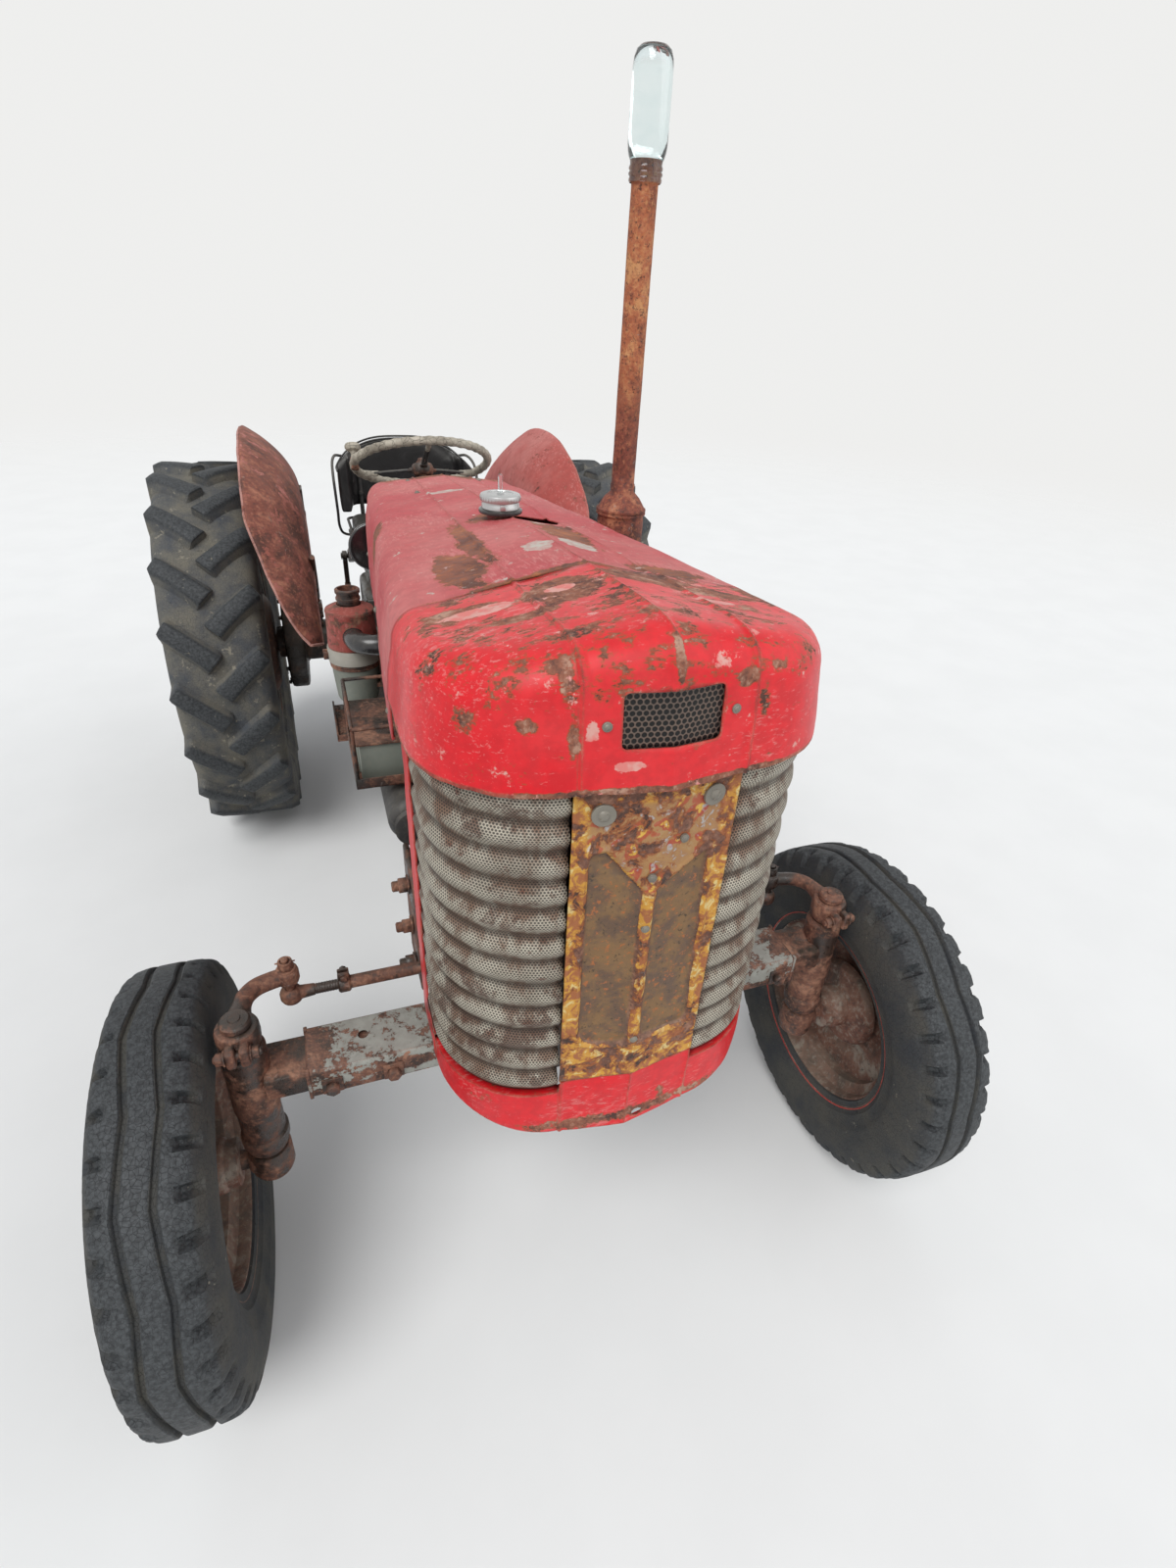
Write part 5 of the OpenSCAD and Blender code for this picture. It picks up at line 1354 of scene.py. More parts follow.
class TRACTOR_OT_nose_cap(bpy.types.Operator):
    """Nose cap with its creases, its vent and its screws"""

    bl_idname = "tractor.nose_cap"
    bl_label = "Nose cap"

    def execute(self, context):
        bm = start()
        rows = cap_rows()
        walls = list(range(len(rows)))
        inner = [110 * (1 - j / 9) for j in range(1, 10)]
        back = [0.0] + steps(-FRONT - CORNER, -SEAM, 8)[1:]
        across = [0, 1.5, 3, 4.5, 9, 20, 34, 48, 60, 74, 86, 93, 96.5, 99, 100.5, 102, 103.5, 105,
                  107.5, 108]
        for side in (1, -1):
            # Middle strip: up the front, round the shoulder and back to the seam.
            def strip(x, j, side=side):
                if j < len(rows):
                    row = rows[int(j)]
                    y = FRONT + row[0] - PROW * max(0.0, 1 - max(row[0], 0) / 70) * (1 - x / FLAT)
                else:
                    i = int(j) - len(rows)
                    y = CORNER_Y - inner[i] if i < len(inner) else -back[i - len(inner) + 1]
                    y -= PROW * max(0.0, 1 - (y - FRONT) / 70) * (1 - x / FLAT)
                    row = (0, None, 0.0)
                return cap_place(side * x, y, row, 1.0)

            grid(bm, across, list(range(len(rows) + len(inner) + len(back) - 1)), strip)

            # Side: straight from the corner back to the seam.
            def flank(y, j, side=side):
                if j < len(rows):
                    row = rows[int(j)]
                    return cap_place(side * (HALF - row[0]), y, row, 0.0)
                x = FLAT + inner[int(j) - len(rows)]
                return cap_place(side * x, y, (0, None, 0.0), 1.0)

            grid(bm, [-b for b in reversed([-CORNER_Y, *back[1:]])],
                 walls + [len(rows) + i for i in range(len(inner))], flank)

            # Corner: a quarter turn about the end of the flat front.
            def corner(t, j, side=side):
                if j < len(rows):
                    row, r = rows[int(j)], CORNER - rows[int(j)][0]
                else:
                    row, r = (0, None, 0.0), inner[int(j) - len(rows)]
                x, y = FLAT + r * cos(t), CORNER_Y - r * sin(t)
                return cap_place(side * x, y, row, 1.0 if j >= len(rows) else 0.0)

            grid(bm, steps(0, pi / 2, 18), walls + [len(rows) + i for i in range(len(inner))],
                 corner)
        bmesh.ops.remove_doubles(bm, verts=bm.verts, dist=0.3)
        cut_hole(bm, (0, -270, 1338), AHEAD, rounded(120, 66, 7),
                 lambda c: c.y < -215 and abs(c.x) < 90 and 1290 < c.z < 1390)
        piece("nose_cap_shell", bm, "nose", "red_paint", ["nose_cap"], facing=(0, -1, 0.2),
              thick=sizes().sheet, angle=28)
        bm = bmesh.new()
        for x, z, tall in ((-77, 1334, 4), (77, 1338, 4)):
            y = FRONT - PROW * (1 - min(abs(x), FLAT) / FLAT) - 4
            axis = Vector((0.14 * (1 if x > 0 else -1), -1, 0.05))
            if abs(x) > FLAT:
                turn = acos((abs(x) - FLAT) / (CORNER + 6))
                y = CORNER_Y - (CORNER + 6) * sin(turn)
                axis = Vector(((abs(x) - FLAT) * (1 if x > 0 else -1), y - CORNER_Y, 0))
            round_screw(bm, (x, y, z), axis, 8, tall * 0.7)
        piece("nose_cap_screws", bm, "screw", "bright_metal")
        return {"FINISHED"}


def round_screw(bm, at, axis, wide, tall=4.0, slot=True, washer=1.45):
    """A round head with a slot, on a washer."""
    axis = Vector(axis).normalized()
    bar(bm, Vector(at) - axis * 3, Vector(at) + axis * 1.2, wide * washer, round_by=0.5)
    profile = [(0, tall), (wide * 0.22, tall * 0.97), (wide * 0.38, tall * 0.75),
               (wide * 0.5, tall * 0.3), (wide * 0.5, 0)]
    lathe(bm, profile, at, axis, 20)
    if slot:
        turn = aim(Vector(at) + axis * tall, axis) @ about(0.7)
        block(bm, (-wide * 0.4, -0.9, -1.2), (wide * 0.4, 0.9, 0.15), 0, 0, turn)


class TRACTOR_OT_vent(bpy.types.Operator):
    """Perforated mesh behind the cap's vent"""

    bl_idname = "tractor.vent"
    bl_label = "Vent"

    def execute(self, context):
        bm = start()

        def place(x, z):
            y = FRONT - 6 * (1386 - z) / 90 + 4.5 - (PROW - 1) * (1 - abs(x) / FLAT)
            return Vector((x, y + rough((x, 0, z), 0.03, 1.6), z))

        grid(bm, steps(-64, 64, 32), steps(1302, 1374, 12), place)
        piece("vent_screen", bm, "vent", "black_paint", ["vent_mesh"], facing=AHEAD, thick=1.5,
              angle=20)
        return {"FINISHED"}


def hood_section(k):
    """Half section of the hood at k, 0 at the seam and 1 at the rear: points from its lower
    edge up to the ridge, each with the place across of its bead."""
    half = HALF - DRAW_IN * k
    top, fall, low = HOOD_TOP - TOP_FALL * k, 0.2 - 0.1 * k, HOOD_LOW - LOW_FALL * k
    shoulder = top - fall * (half - SHOULDER) - SHOULDER
    points = [(half + 5, low + 2.5), (half + 9.2, low), (half + 10.2, low + 3)]
    points += [(half + 10 - 0.9 * j / 3, low + 8 + 59 * j / 3) for j in range(4)]
    points += [(half + 9 - 3 * j / 3, low + 67 + 44 * j / 3) for j in range(1, 4)]
    points += [(half + 6 - 6 * j / 5, low + 111 + (shoulder - low - 111) * j / 5)
               for j in range(1, 5)]
    for t in steps(0, pi / 2, 9):
        points.append((half - SHOULDER * (1 - cos(t)), shoulder + SHOULDER * sin(t)))
    rib = BEAD_X * (1 - 0.28 * k)
    flat = half - SHOULDER
    across = [flat - (flat - rib - 6) * j / 6 for j in range(1, 7)]
    across += [rib + off for off in (4, 2.5, 1.2, 0, -1.2, -2.5, -4, -6)]
    across += [(rib - 6) * (1 - j / 7) for j in range(1, 7)] + [5, 3, 1.5, 0]
    return points + [(x, top - fall * x) for x in across], rib


class TRACTOR_OT_hood(bpy.types.Operator):
    """Hood with its ribs, its dents and the hole at the filler"""

    bl_idname = "tractor.hood"
    bl_label = "Hood"

    def execute(self, context):
        bm = start()
        count = len(hood_section(0)[0])

        def place(i, y):
            k = (y - SEAM) / HOOD_LONG
            points, rib = hood_section(k)
            i = int(i)
            side = 1 if i < count else -1
            x, z = points[i if i < count else 2 * count - 2 - i]
            lift = sizes().crease * (bead(x - rib, BEAD_WIDE) + 0.6 * bead(x, 4.5))
            if z < HOOD_TOP - TOP_FALL * k - 70:
                lift = 0.0
            lift += rough((x * side, y, z), 0.006, 3.2) + rough((x * side, y, z), 0.021, 1.3)
            # the torn and sunken sheet behind the filler
            sunk = exp(-(((x * side - 40) / 60) ** 2 + ((y - 500) / 55) ** 2))
            lift -= 7 * sunk
            # dent near the left rib, and the rolled rear edge
            lift -= 4 * exp(-(((x * side - 95) / 45) ** 2 + ((y - 70) / 50) ** 2))
            out = Vector((x * side * 0.6, 0, z - 1180)).normalized()
            at = Vector((x * side, y, z)) + out * lift
            if y > 1137:
                at -= out * 5
            return at

        along = [SEAM + 1.6, SEAM + 5] + steps(SEAM + 18, 1120, 58) + [1129, 1136, 1139.6, 1140]
        grid(bm, list(range(2 * count - 1)), along, place)
        cut_hole(bm, (46, 462, 1380), UP, ring_of(56, 21),
                 lambda c: abs(c.x - 46) < 90 and abs(c.y - 462) < 80 and c.z > 1300)
        piece("hood_shell", bm, "hood", "faded_red", ["hood"], facing=UP,
              thick=sizes().sheet, angle=28)
        bm = bmesh.new()
        for side, y in ((-1, 60), (-1, 560), (-1, 1050), (1, 60), (1, 560), (1, 1050)):
            k = (y - SEAM) / HOOD_LONG
            round_screw(bm, (side * (HALF - DRAW_IN * k + 9.4), y, HOOD_LOW - LOW_FALL * k + 26),
                        (side, 0, 0.03), 10)
        for x, y in ((-92, 1090), (-100, 880), (85, 1090)):
            k = (y - SEAM) / HOOD_LONG
            z = HOOD_TOP - TOP_FALL * k - (0.2 - 0.1 * k) * abs(x)
            round_screw(bm, (x, y, z), (0.15 * (1 if x > 0 else -1), 0, 1), 9)
        piece("hood_screws", bm, "screw", "bright_metal")
        return {"FINISHED"}


class TRACTOR_OT_grille(bpy.types.Operator):
    """Two perforated halves, pressed into corrugations round the corners"""

    bl_idname = "tractor.grille"
    bl_label = "Grille"

    def execute(self, context):
        high = CAP_LOW - 1.5
        tall = (high - GRILLE_LOW) / WAVES
        per = 10
        for side, name in SIDES:
            bm = start("groove")
            columns = [0.09, 0.12, 0.16, 0.2, *steps(0.2, 0.7, 22)[1:]]
            far = [0.0]
            for a, b in zip(columns, columns[1:]):
                pa, pb = nose_at(a, 3, SEAM - 20), nose_at(b, 3, SEAM - 20)
                far.append(far[-1] + dist(pa, pb))

            def wave(j):
                return (0.5 - 0.5 * cos(tau * j / per)) ** 0.8

            def place(i, j, side=side):
                out = 9 * wave(j) - 9
                x, y = nose_at(columns[int(i)], 3 - out, SEAM - 20)
                z = GRILLE_LOW + tall * j / per
                off = rough((x * side, y, z), 0.02, 1.4)
                return Vector((side * x, y - off, z + rough((x * side, y, 1), 0.012, 2.0)
                               * ease(z, GRILLE_LOW, 780) * ease(high - z, 0, 60)))

            grid(bm, list(range(len(columns))), list(range(per * WAVES + 1)), place,
                 uv=lambda i, j: (far[int(i)] * 0.001, tall * j / per * 0.00128),
                 marks={"groove": lambda i, j: 1 - wave(j)})
            piece(f"grille_half_{name}", bm, "zinc", "galvanised", [f"grille_{name}"],
                  facing=AHEAD, thick=2.0, angle=60)
        return {"FINISHED"}


LEFT_FIELD = [(-88, 1148), (-82, 1158), (-65, 1161), (-16, 1098), (-13, 1079), (-11, 821),
              (-17, 810), (-77, 821), (-86, 840)]
RIGHT_FIELD = [(74, 1159), (81, 1144), (3, 1095), (1, 1077), (4, 835), (9, 818), (77, 813),
               (87, 829)]


def inside_by(x, z, outline):
    """Distance of a point inside a closed outline; negative outside it."""
    near, odd = 1e9, False
    for (ax, az), (bx, bz) in zip(outline, outline[1:] + outline[:1]):
        wx, wz = bx - ax, bz - az
        t = max(0.0, min(1.0, ((x - ax) * wx + (z - az) * wz) / (wx * wx + wz * wz)))
        near = min(near, hypot(x - ax - t * wx, z - az - t * wz))
        if (az > z) != (bz > z) and x < ax + (z - az) * wx / wz:
            odd = not odd
    return near if odd else -near


class TRACTOR_OT_centre_panel(bpy.types.Operator):
    """Yellow panel down the prow: a border, two sunk fields and a forked rib"""

    bl_idname = "tractor.centre_panel"
    bl_label = "Centre panel"

    def execute(self, context):
        bm = start("recess", "field")
        left = [(x + 2, z) for x, z in LEFT_FIELD]
        right = [(x + 2, z) for x, z in RIGHT_FIELD]
        fork = [(-92, 1152), (-88, 1232), (88, 1232), (92, 1150), (4, 1088), (-10, 1088)]
        depth = {}

        def deep(x, z):
            key = (x, z)
            if key not in depth:
                a = inside_by(x, z, left)
                b = inside_by(x, z, right)
                depth[key] = (max(a, b), inside_by(x, z, fork))
            return depth[key]

        def place(x, z):
            best, top = deep(x, z)
            y = FRONT + 3 - PROW * (1 - abs(x) / PANEL_HALF)
            y += 4.5 * ease(best, -1.0, 4.5)
            y -= 2.6 * bead(best + 4.5, 5.0)
            brim = min(abs(abs(x) - PANEL_HALF), z - PANEL_LOW, PANEL_HIGH - z)
            y -= 2.2 * (1 - ease(brim, 3, 9))
            y += 1.5 * ease(top, 0, 6)
            y += rough((x, 0, z), 0.02, 2.4) + rough((x, 5, z), 0.07, 0.7)
            return Vector((x, y, z))

        grid(bm, steps(-PANEL_HALF, PANEL_HALF, 86), steps(PANEL_LOW, PANEL_HIGH, 196), place,
             marks={"recess": lambda x, z: ease(deep(x, z)[0], 1.0, 5.0),
                    "field": lambda x, z: ease(deep(x, z)[1], -2, 8)
                    * (1 - ease(deep(x, z)[0], -3, 1))})
        piece("panel_face", bm, "ochre", "yellow_paint", ["centre_panel"], facing=AHEAD,
              thick=3.0, angle=40)
        bm = bmesh.new()
        for x, z, wide in ((-71, 1216, 15), (71, 1222, 15), (36, 1167, 9), (-4, 1117, 9),
                           (-5, 1033, 9), (-2, 819, 9)):
            y = FRONT + 3 - PROW * (1 - abs(x) / PANEL_HALF) - 1.5
            axis = Vector((0.15 * (1 if x > 0 else -1), -1, 0))
            round_screw(bm, (x, y, z), axis, wide, wide * 0.3, slot=wide > 10,
                        washer=2.0 if wide > 10 else 1.3)
        piece("panel_screws", bm, "screw", "bright_metal")
        return {"FINISHED"}


class TRACTOR_OT_grille_frame(bpy.types.Operator):
    """Apron under the grille with its side strips, pressed in one"""

    bl_idname = "tractor.grille_frame"
    bl_label = "Grille frame"

    def execute(self, context):
        bm = start()
        apron = 616.0

        def low(x):
            return apron + 50 * min(1.0, abs(x) / HALF) ** 2.2

        ks = [0.2 + 0.5 * j / 20 for j in range(21)]
        xs = [108, 106.5, 105, 103.5, 102, 100.5, 99, 97, 90, 76, 60, 44, 30, 18, 9, 5, 3, 1.5, 0]
        plan = [nose_at(k, 2, 0) for k in ks]
        plan += [(x, FRONT + 2 - (PROW - 0.5) * (1 - x / FLAT)) for x in xs[1:]]
        for side in (1, -1):
            def place(i, j, side=side):
                x, y = plan[int(i)]
                top = PANEL_LOW - 1 if x < 105 else GRILLE_LOW - 2
                if 105 <= x <= 108:
                    top = PANEL_LOW - 1 - (x - 105) / 3 * (PANEL_LOW - GRILLE_LOW + 1)
                j = int(j)
                if j < 5:
                    z, inset = low(x) + (2.5, 0, 0.5, 3.5, 8)[j], (-9, -4, -1, 0, 0)[j]
                else:
                    z, inset = low(x) + 8 + (top - low(x) - 8) * min(1.0, (j - 4) / 9), 0
                out = Vector((x, y - CORNER_Y if x > FLAT else -150, 0)).normalized()
                lift = inset
                if j >= 3:
                    lift += sizes().crease * (bead(x - BEAD_X, BEAD_WIDE) + 0.6 * bead(x, 4.5))
                    lift += rough((x * side, y, z), 0.018, 2.6)
                    lift -= 5 * exp(-((x * side / 26) ** 2 + ((z - 640) / 18) ** 2))
                if j == 14:
                    lift -= 16
                at = Vector((x, y, z)) + out * lift
                return Vector((at.x * side, at.y, at.z))

            grid(bm, list(range(len(plan))), list(range(15)), place)

            # Strip beside the grille, up to the cap.
            def strip(y, z, side=side):
                half = HALF - 2
                base = low(half) + (CAP_LOW - 1.5 - low(half)) * z
                return Vector((side * (half + rough((half * side, y, base), 0.02, 1.5)), y, base))

            grid(bm, [9, 8, -20, -48, -50], steps(0, 1, 40), strip)
            grid(bm, [-50, -75, -95, -114],
                 [0, 0.02, 0.04, 0.06, 0.08, 0.1, 0.12, (GRILLE_LOW - 2 - low(264))
                  / (CAP_LOW - 1.5 - low(264))], strip)
        bmesh.ops.remove_doubles(bm, verts=bm.verts, dist=0.3)
        cut_hole(bm, (22, -285, 634), (0, -1, 0.1), ring_of(9, 9),
                 lambda c: c.y < -250 and abs(c.x - 22) < 24 and c.z < 665)
        piece("apron_shell", bm, "apron", "red_paint", ["grille_frame"], facing=AHEAD,
              thick=sizes().sheet, angle=32)
        return {"FINISHED"}


# Wheels. Each is drawn along Z, outwards, about its own hub.
def at_hub(side, x, y, z):
    """Matrix of a hub: Z outwards, X down on the left and up on the right."""
    return Matrix.Translation((side * x, y, z)) @ about(side * pi / 2, "Y")


def grid_round(bm, columns, rows, place, mark, matrix):
    """A closed band round a hub: place(angle, row) gives radius, height and angle."""
    angles = columns if isinstance(columns, list) else steps(0, tau, columns)

    def at(a, j):
        r, z, turn = place(a, int(j))
        return matrix @ Vector((r * cos(turn), r * sin(turn), z))

    grid(bm, angles, list(range(rows)), at, marks={"tread": lambda a, j: mark(a, int(j))},
         uv=lambda a, j: (a * 0.6, j * 0.01))


def mirrored(half):
    """A whole section from its half, whose first point lies in the middle."""
    return [(r, -z, *more) for r, z, *more in reversed(half)] + half[1:]


def front_profile():
    """Half section of a front tyre, from the middle of its tread to the bead.

    Each point has its radius, its place across, how much it counts as tread, and its kind:
    1 winds with the grooves, 2 takes part in the shoulder's notches.
    """
    return [(370, 0, 1, 0), (370, 9, 1, 0), (369.6, 15.8, 1, 1), (367.6, 18.4, 0.3, 1),
            (361.6, 19.8, 0, 1), (361.4, 26.0, 0, 1), (367.0, 27.8, 0.3, 1), (369.4, 30.4, 1, 1),
            (369.0, 37, 1, 0), (368.4, 43, 1, 2), (367.4, 49, 1, 2), (366, 55, 1, 2),
            (363.6, 60, 0.9, 2), (359, 64.6, 0.6, 2), (352, 68.5, 0.3, 2), (344, 72, 0.1, 2),
            (335, 75.2, 0, 2), (332, 76, 0, 0),
            (325, 78, 0, 0), (312, 80.6, 0, 0), (298, 82, 0, 0), (282, 81.6, 0, 0),
            (268, 79.8, 0, 0), (262, 79.4, 0, 0), (259, 77.6, 0, 0), (246, 74.4, 0, 0),
            (236, 71, 0, 0), (232, 70.8, 0, 0), (229, 67.6, 0, 0), (222.5, 64.6, 0, 0),
            (216, 62, 0, 0), (206, 60, 0, 0)]


class TRACTOR_OT_front_tyres(bpy.types.Operator):
    """Two front tyres: three ribs with winding grooves and notched shoulders"""

    bl_idname = "tractor.front_tyres"
    bl_label = "Front tyres"

    def execute(self, context):
        rows = mirrored(front_profile())
        blocks = sizes().blocks
        deep = sizes().groove / 8.0
        angles = []
        for i in range(blocks):
            for part in (0.0, 0.06, 0.16, 0.28, 0.34, 0.44, 0.72, 0.9):
                angles.append(tau * (i + part) / blocks)
        angles.append(tau)
        for side, name in SIDES:
            hub = at_hub(side, FRONT_X, 0, FRONT_R)

            def place(a, j):
                r, z, mark, kind = rows[j]
                share = (a / tau * blocks) % 1.0
                cell = int(a / tau * blocks + 1e-6)
                notch = 0.0
                if 0.1 < share < 0.3:
                    notch = 1.0
                elif 0.03 < share < 0.36:
                    notch = 0.55 if share < 0.31 else 0.3
                if kind == 1:
                    bend = (a / tau * blocks / 4) % 1.0
                    z += 13.0 * (abs(bend - 0.5) - 0.25) * 2
                    if r < 365:
                        r = 370 - (370 - r) * deep
                elif kind == 2 and notch:
                    far = abs(z)
                    r -= 19.0 * notch * ease(far, 40, 50) * (1 - ease(far, 66, 76))
                    z -= 6.0 * notch * ease(far, 50, 62) * (1 if z > 0 else -1)
                elif kind == 2 and abs(z) > 48:
                    r -= 3.0 * (1 - min(1.0, 4.0 * min((share - 0.34) % 1.0, (1.0 - share))))
                wear = noise.noise(Vector((cell * 3.1, z * 0.02, side * 7.0)))
                r += 0.8 * wear * mark
                return r, z, a

            bm = start("tread")
            grid_round(bm, angles, len(rows), place, lambda a, j: rows[j][2], hub)
            lathe_marked(bm, [(206, 60), (203.5, 52), (216, 46)], hub)
            lathe_marked(bm, [(206, -60), (203.5, -52), (216, -46)], hub)
            bmesh.ops.remove_doubles(bm, verts=bm.verts, dist=0.05)
            bmesh.ops.recalc_face_normals(bm, faces=bm.faces)
            piece(f"front_tyre_{name}_rubber", bm, "front_rubber", "tyre_rubber",
                  [f"front_tyre_{name}"], body=f"front_wheel_{name}_body", angle=32)
        return {"FINISHED"}


def lathe_marked(bm, profile, matrix):
    """A plain band round a hub in a piece whose corners are marked."""
    grid_round(bm, 96, len(profile), lambda a, j: (profile[j][0], profile[j][1], a),
               lambda a, j: 0.0, matrix)


def rear_profile():
    """Half section of a rear tyre under its bars, from the middle to the bead."""
    return [(582, 0), (582, 40), (581, 72), (578, 96), (572, 114), (563, 126), (551, 134),
            (534, 139.5), (512, 142), (488, 142.5), (466, 140.5), (452, 138.6), (449, 140),
            (444, 139.2), (441, 136), (424, 130), (410, 123.6), (402, 120.6), (399, 121.6),
            (394, 119.6), (391, 115), (383, 109.6), (376, 106), (366, 103.4), (360, 103)]


def carcass_at(z):
    """Radius of the rear tyre's carcass at a distance from its middle plane."""
    points = rear_profile()
    z = abs(z)
    for (r0, z0), (r1, z1) in zip(points, points[1:]):
        if z0 <= z <= z1:
            return r0 + (r1 - r0) * (z - z0) / max(z1 - z0, 1e-6)
    return 534.0


class TRACTOR_OT_rear_tyres(bpy.types.Operator):
    """Two rear tyres with slanting bars that meet in a V"""

    bl_idname = "tractor.rear_tyres"
    bl_label = "Rear tyres"

    def execute(self, context):
        rows = mirrored(rear_profile())
        s = sizes()
        wide, count = s.lug_wide, s.lugs
        right_half = [(0, 1.02), (0.5 * wide - 6, 1.0), (0.5 * wide - 1, 0.93),
                      (0.5 * wide + 3, 0.78), (0.5 * wide + 9, 0.4), (0.5 * wide + 18, 0.0)]
        section = [(-off, h) for off, h in reversed(right_half[1:])] + right_half
        along = [(-0.03, 0.0), (-0.01, 0.6), (0.0, 0.92), (0.02, 1.0), (0.14, 1.0), (0.28, 1.0),
                 (0.42, 1.0), (0.56, 1.0), (0.7, 1.0), (0.82, 1.0), (0.9, 1.0), (0.955, 0.97),
                 (0.975, 0.8), (1.0, 0.35), (1.02, 0.0)]
        for side, name in SIDES:
            hub = at_hub(side, REAR_X, REAR_Y, REAR_R)
            bm = start("tread")
            lathe_marked(bm, rows, hub)
            for half_side in (-1, 1):
                for i in range(count):
                    turn = (i + half_side * 0.25) * tau / count
                    worn = noise.noise(Vector((i * 1.7, half_side * 5.1, side * 3.3)))

                    def place(u, w, turn=turn, q=half_side, worn=worn):
                        off, h = section[int(u)]
                        t, h_end = along[int(w)]
                        h = h * h_end
                        off *= 1.0 + 0.12 * (1 - t) * (1 - ease(t, 0, 0.25))
                        # the bar bends a little straighter towards the shoulder
                        z = 3 + 134 * t
                        arc = -(66 - 128 * t + 12 * t * t)
                        dz, da = 134.0, (128 - 24 * t)
                        long = hypot(dz, da)
                        z -= off * da / long
                        arc += off * dz / long
                        z = max(-16.0, min(z, 141.0))
                        base = carcass_at(z) - 5
                        top = REAR_R - 0.4 - 9 * ease(abs(z), 108, 142) + worn * 2.0 - 2.0
                        r = base + (top - base) * h
                        back = 1.5 * (1 - h) if w > 11 else 0.0
                        angle = turn - side * (arc / REAR_R)
                        return Vector((r * cos(angle), r * sin(angle),
                                       q * (z + back)))

                    part = start("tread")
                    grid(part, list(range(len(section))), list(range(len(along))), place,
                         marks={"tread": lambda u, w: ease(section[int(u)][1] * along[int(w)][1],
                                                           0.5, 0.95)})
                    bmesh.ops.recalc_face_normals(part, faces=part.faces)
                    top = max(part.faces, key=lambda f: f.calc_center_median().xy.length)
                    if top.normal.dot(top.calc_center_median() * Vector((1, 1, 0))) < 0:
                        bmesh.ops.reverse_faces(part, faces=part.faces)
                    part.transform(hub)
                    pour(bm, part)
            piece(f"rear_tyre_{name}_rubber", bm, "rear_rubber", "tyre_rubber",
                  [f"rear_tyre_{name}"], body=f"rear_wheel_{name}_body", angle=34)
        return {"FINISHED"}


def spin_part(bm, profile, matrix, count=72, mat=0, close=False):
    """Spins a profile of radius and height about Z and lays it on a hub."""
    part = bmesh.new()
    lathe(part, profile, steps=count, close=close)
    join(bm, part, mat, matrix)


class TRACTOR_OT_front_wheels(bpy.types.Operator):
    """Front rims with their dished discs, hubs and bolts"""

    bl_idname = "tractor.front_wheels"
    bl_label = "Front wheels"

    def execute(self, context):
        for side, name in SIDES:
            hub = at_hub(side, FRONT_X, 0, FRONT_R)
            bm = bmesh.new()
            rim = mirrored([(182, 0), (183, 17), (188, 21), (199, 27), (203, 32), (203, 50),
                            (205, 54), (214, 57), (223, 60), (224, 62.5), (222, 64)])
            inner = [(r - 3.2, z) for r, z in reversed(rim)]
            spin_part(bm, rim + [(218, 63), *inner[2:-2], (218, -63)], hub, 96, close=True)
            disc = [(181, 6), (179, 12), (172, 16), (160, 17.5), (150, 19), (140, 23), (130, 29),
                    (120, 33.5), (108, 35.5), (70, 36.5), (40, 36.5), (40, 31.5), (70, 31),
                    (106, 30), (118, 27.5), (128, 22.5), (138, 16.5), (148, 13), (160, 11.5),
                    (172, 9.5)]
            spin_part(bm, disc, hub, 96, close=True)
            # drum dish inside, with its collar, and the cap outside
            spin_part(bm, [(0, -72), (34, -72), (41, -69), (42, -50), (46, -47), (48, -42),
                           (48, -20), (62, -14), (92, -8), (98, 2), (98, 12), (90, 14), (88, 6),
                           (60, 0), (48, 2), (48, 24), (75, 25), (75, 30), (40, 30)], hub, 72)
            spin_part(bm, [(62, 36), (60, 41), (44, 42), (40, 44), (38.5, 50), (38, 68),
                           (35, 74), (28, 76), (0, 77)], hub, 48)
            bolt_ring(bm, hub, 58, 36, 6, 21, 11, 1.25, turn=0.4)
            bolt_ring(bm, hub, 58, 1, 6, 19, 9, 0, up=-1, turn=0.7)
            for i in range(4):
                bolt(bm, on_circle(hub, 128, tau * (i + 0.5) / 4, 29),
                     hub.to_3x3() @ Vector((0.3, 0, 1)), 16, 7, 1.3, turn=i)
            # red paint left on the inner flange of the left wheel
            if side > 0:
                spin_part(bm, [(217, -60.6), (222, -65.2), (224.8, -62.6)], hub, 96, mat=1)
            # valve
            bar(bm, hub @ Vector((186, 0, 20)), hub @ Vector((176, 0, 52)), 8, 7)
            piece(f"front_rim_{name}", bm, "wheel apron", "rusty_steel", [f"front_wheel_{name}"],
                  body=f"front_wheel_{name}_body", angle=38)
        return {"FINISHED"}


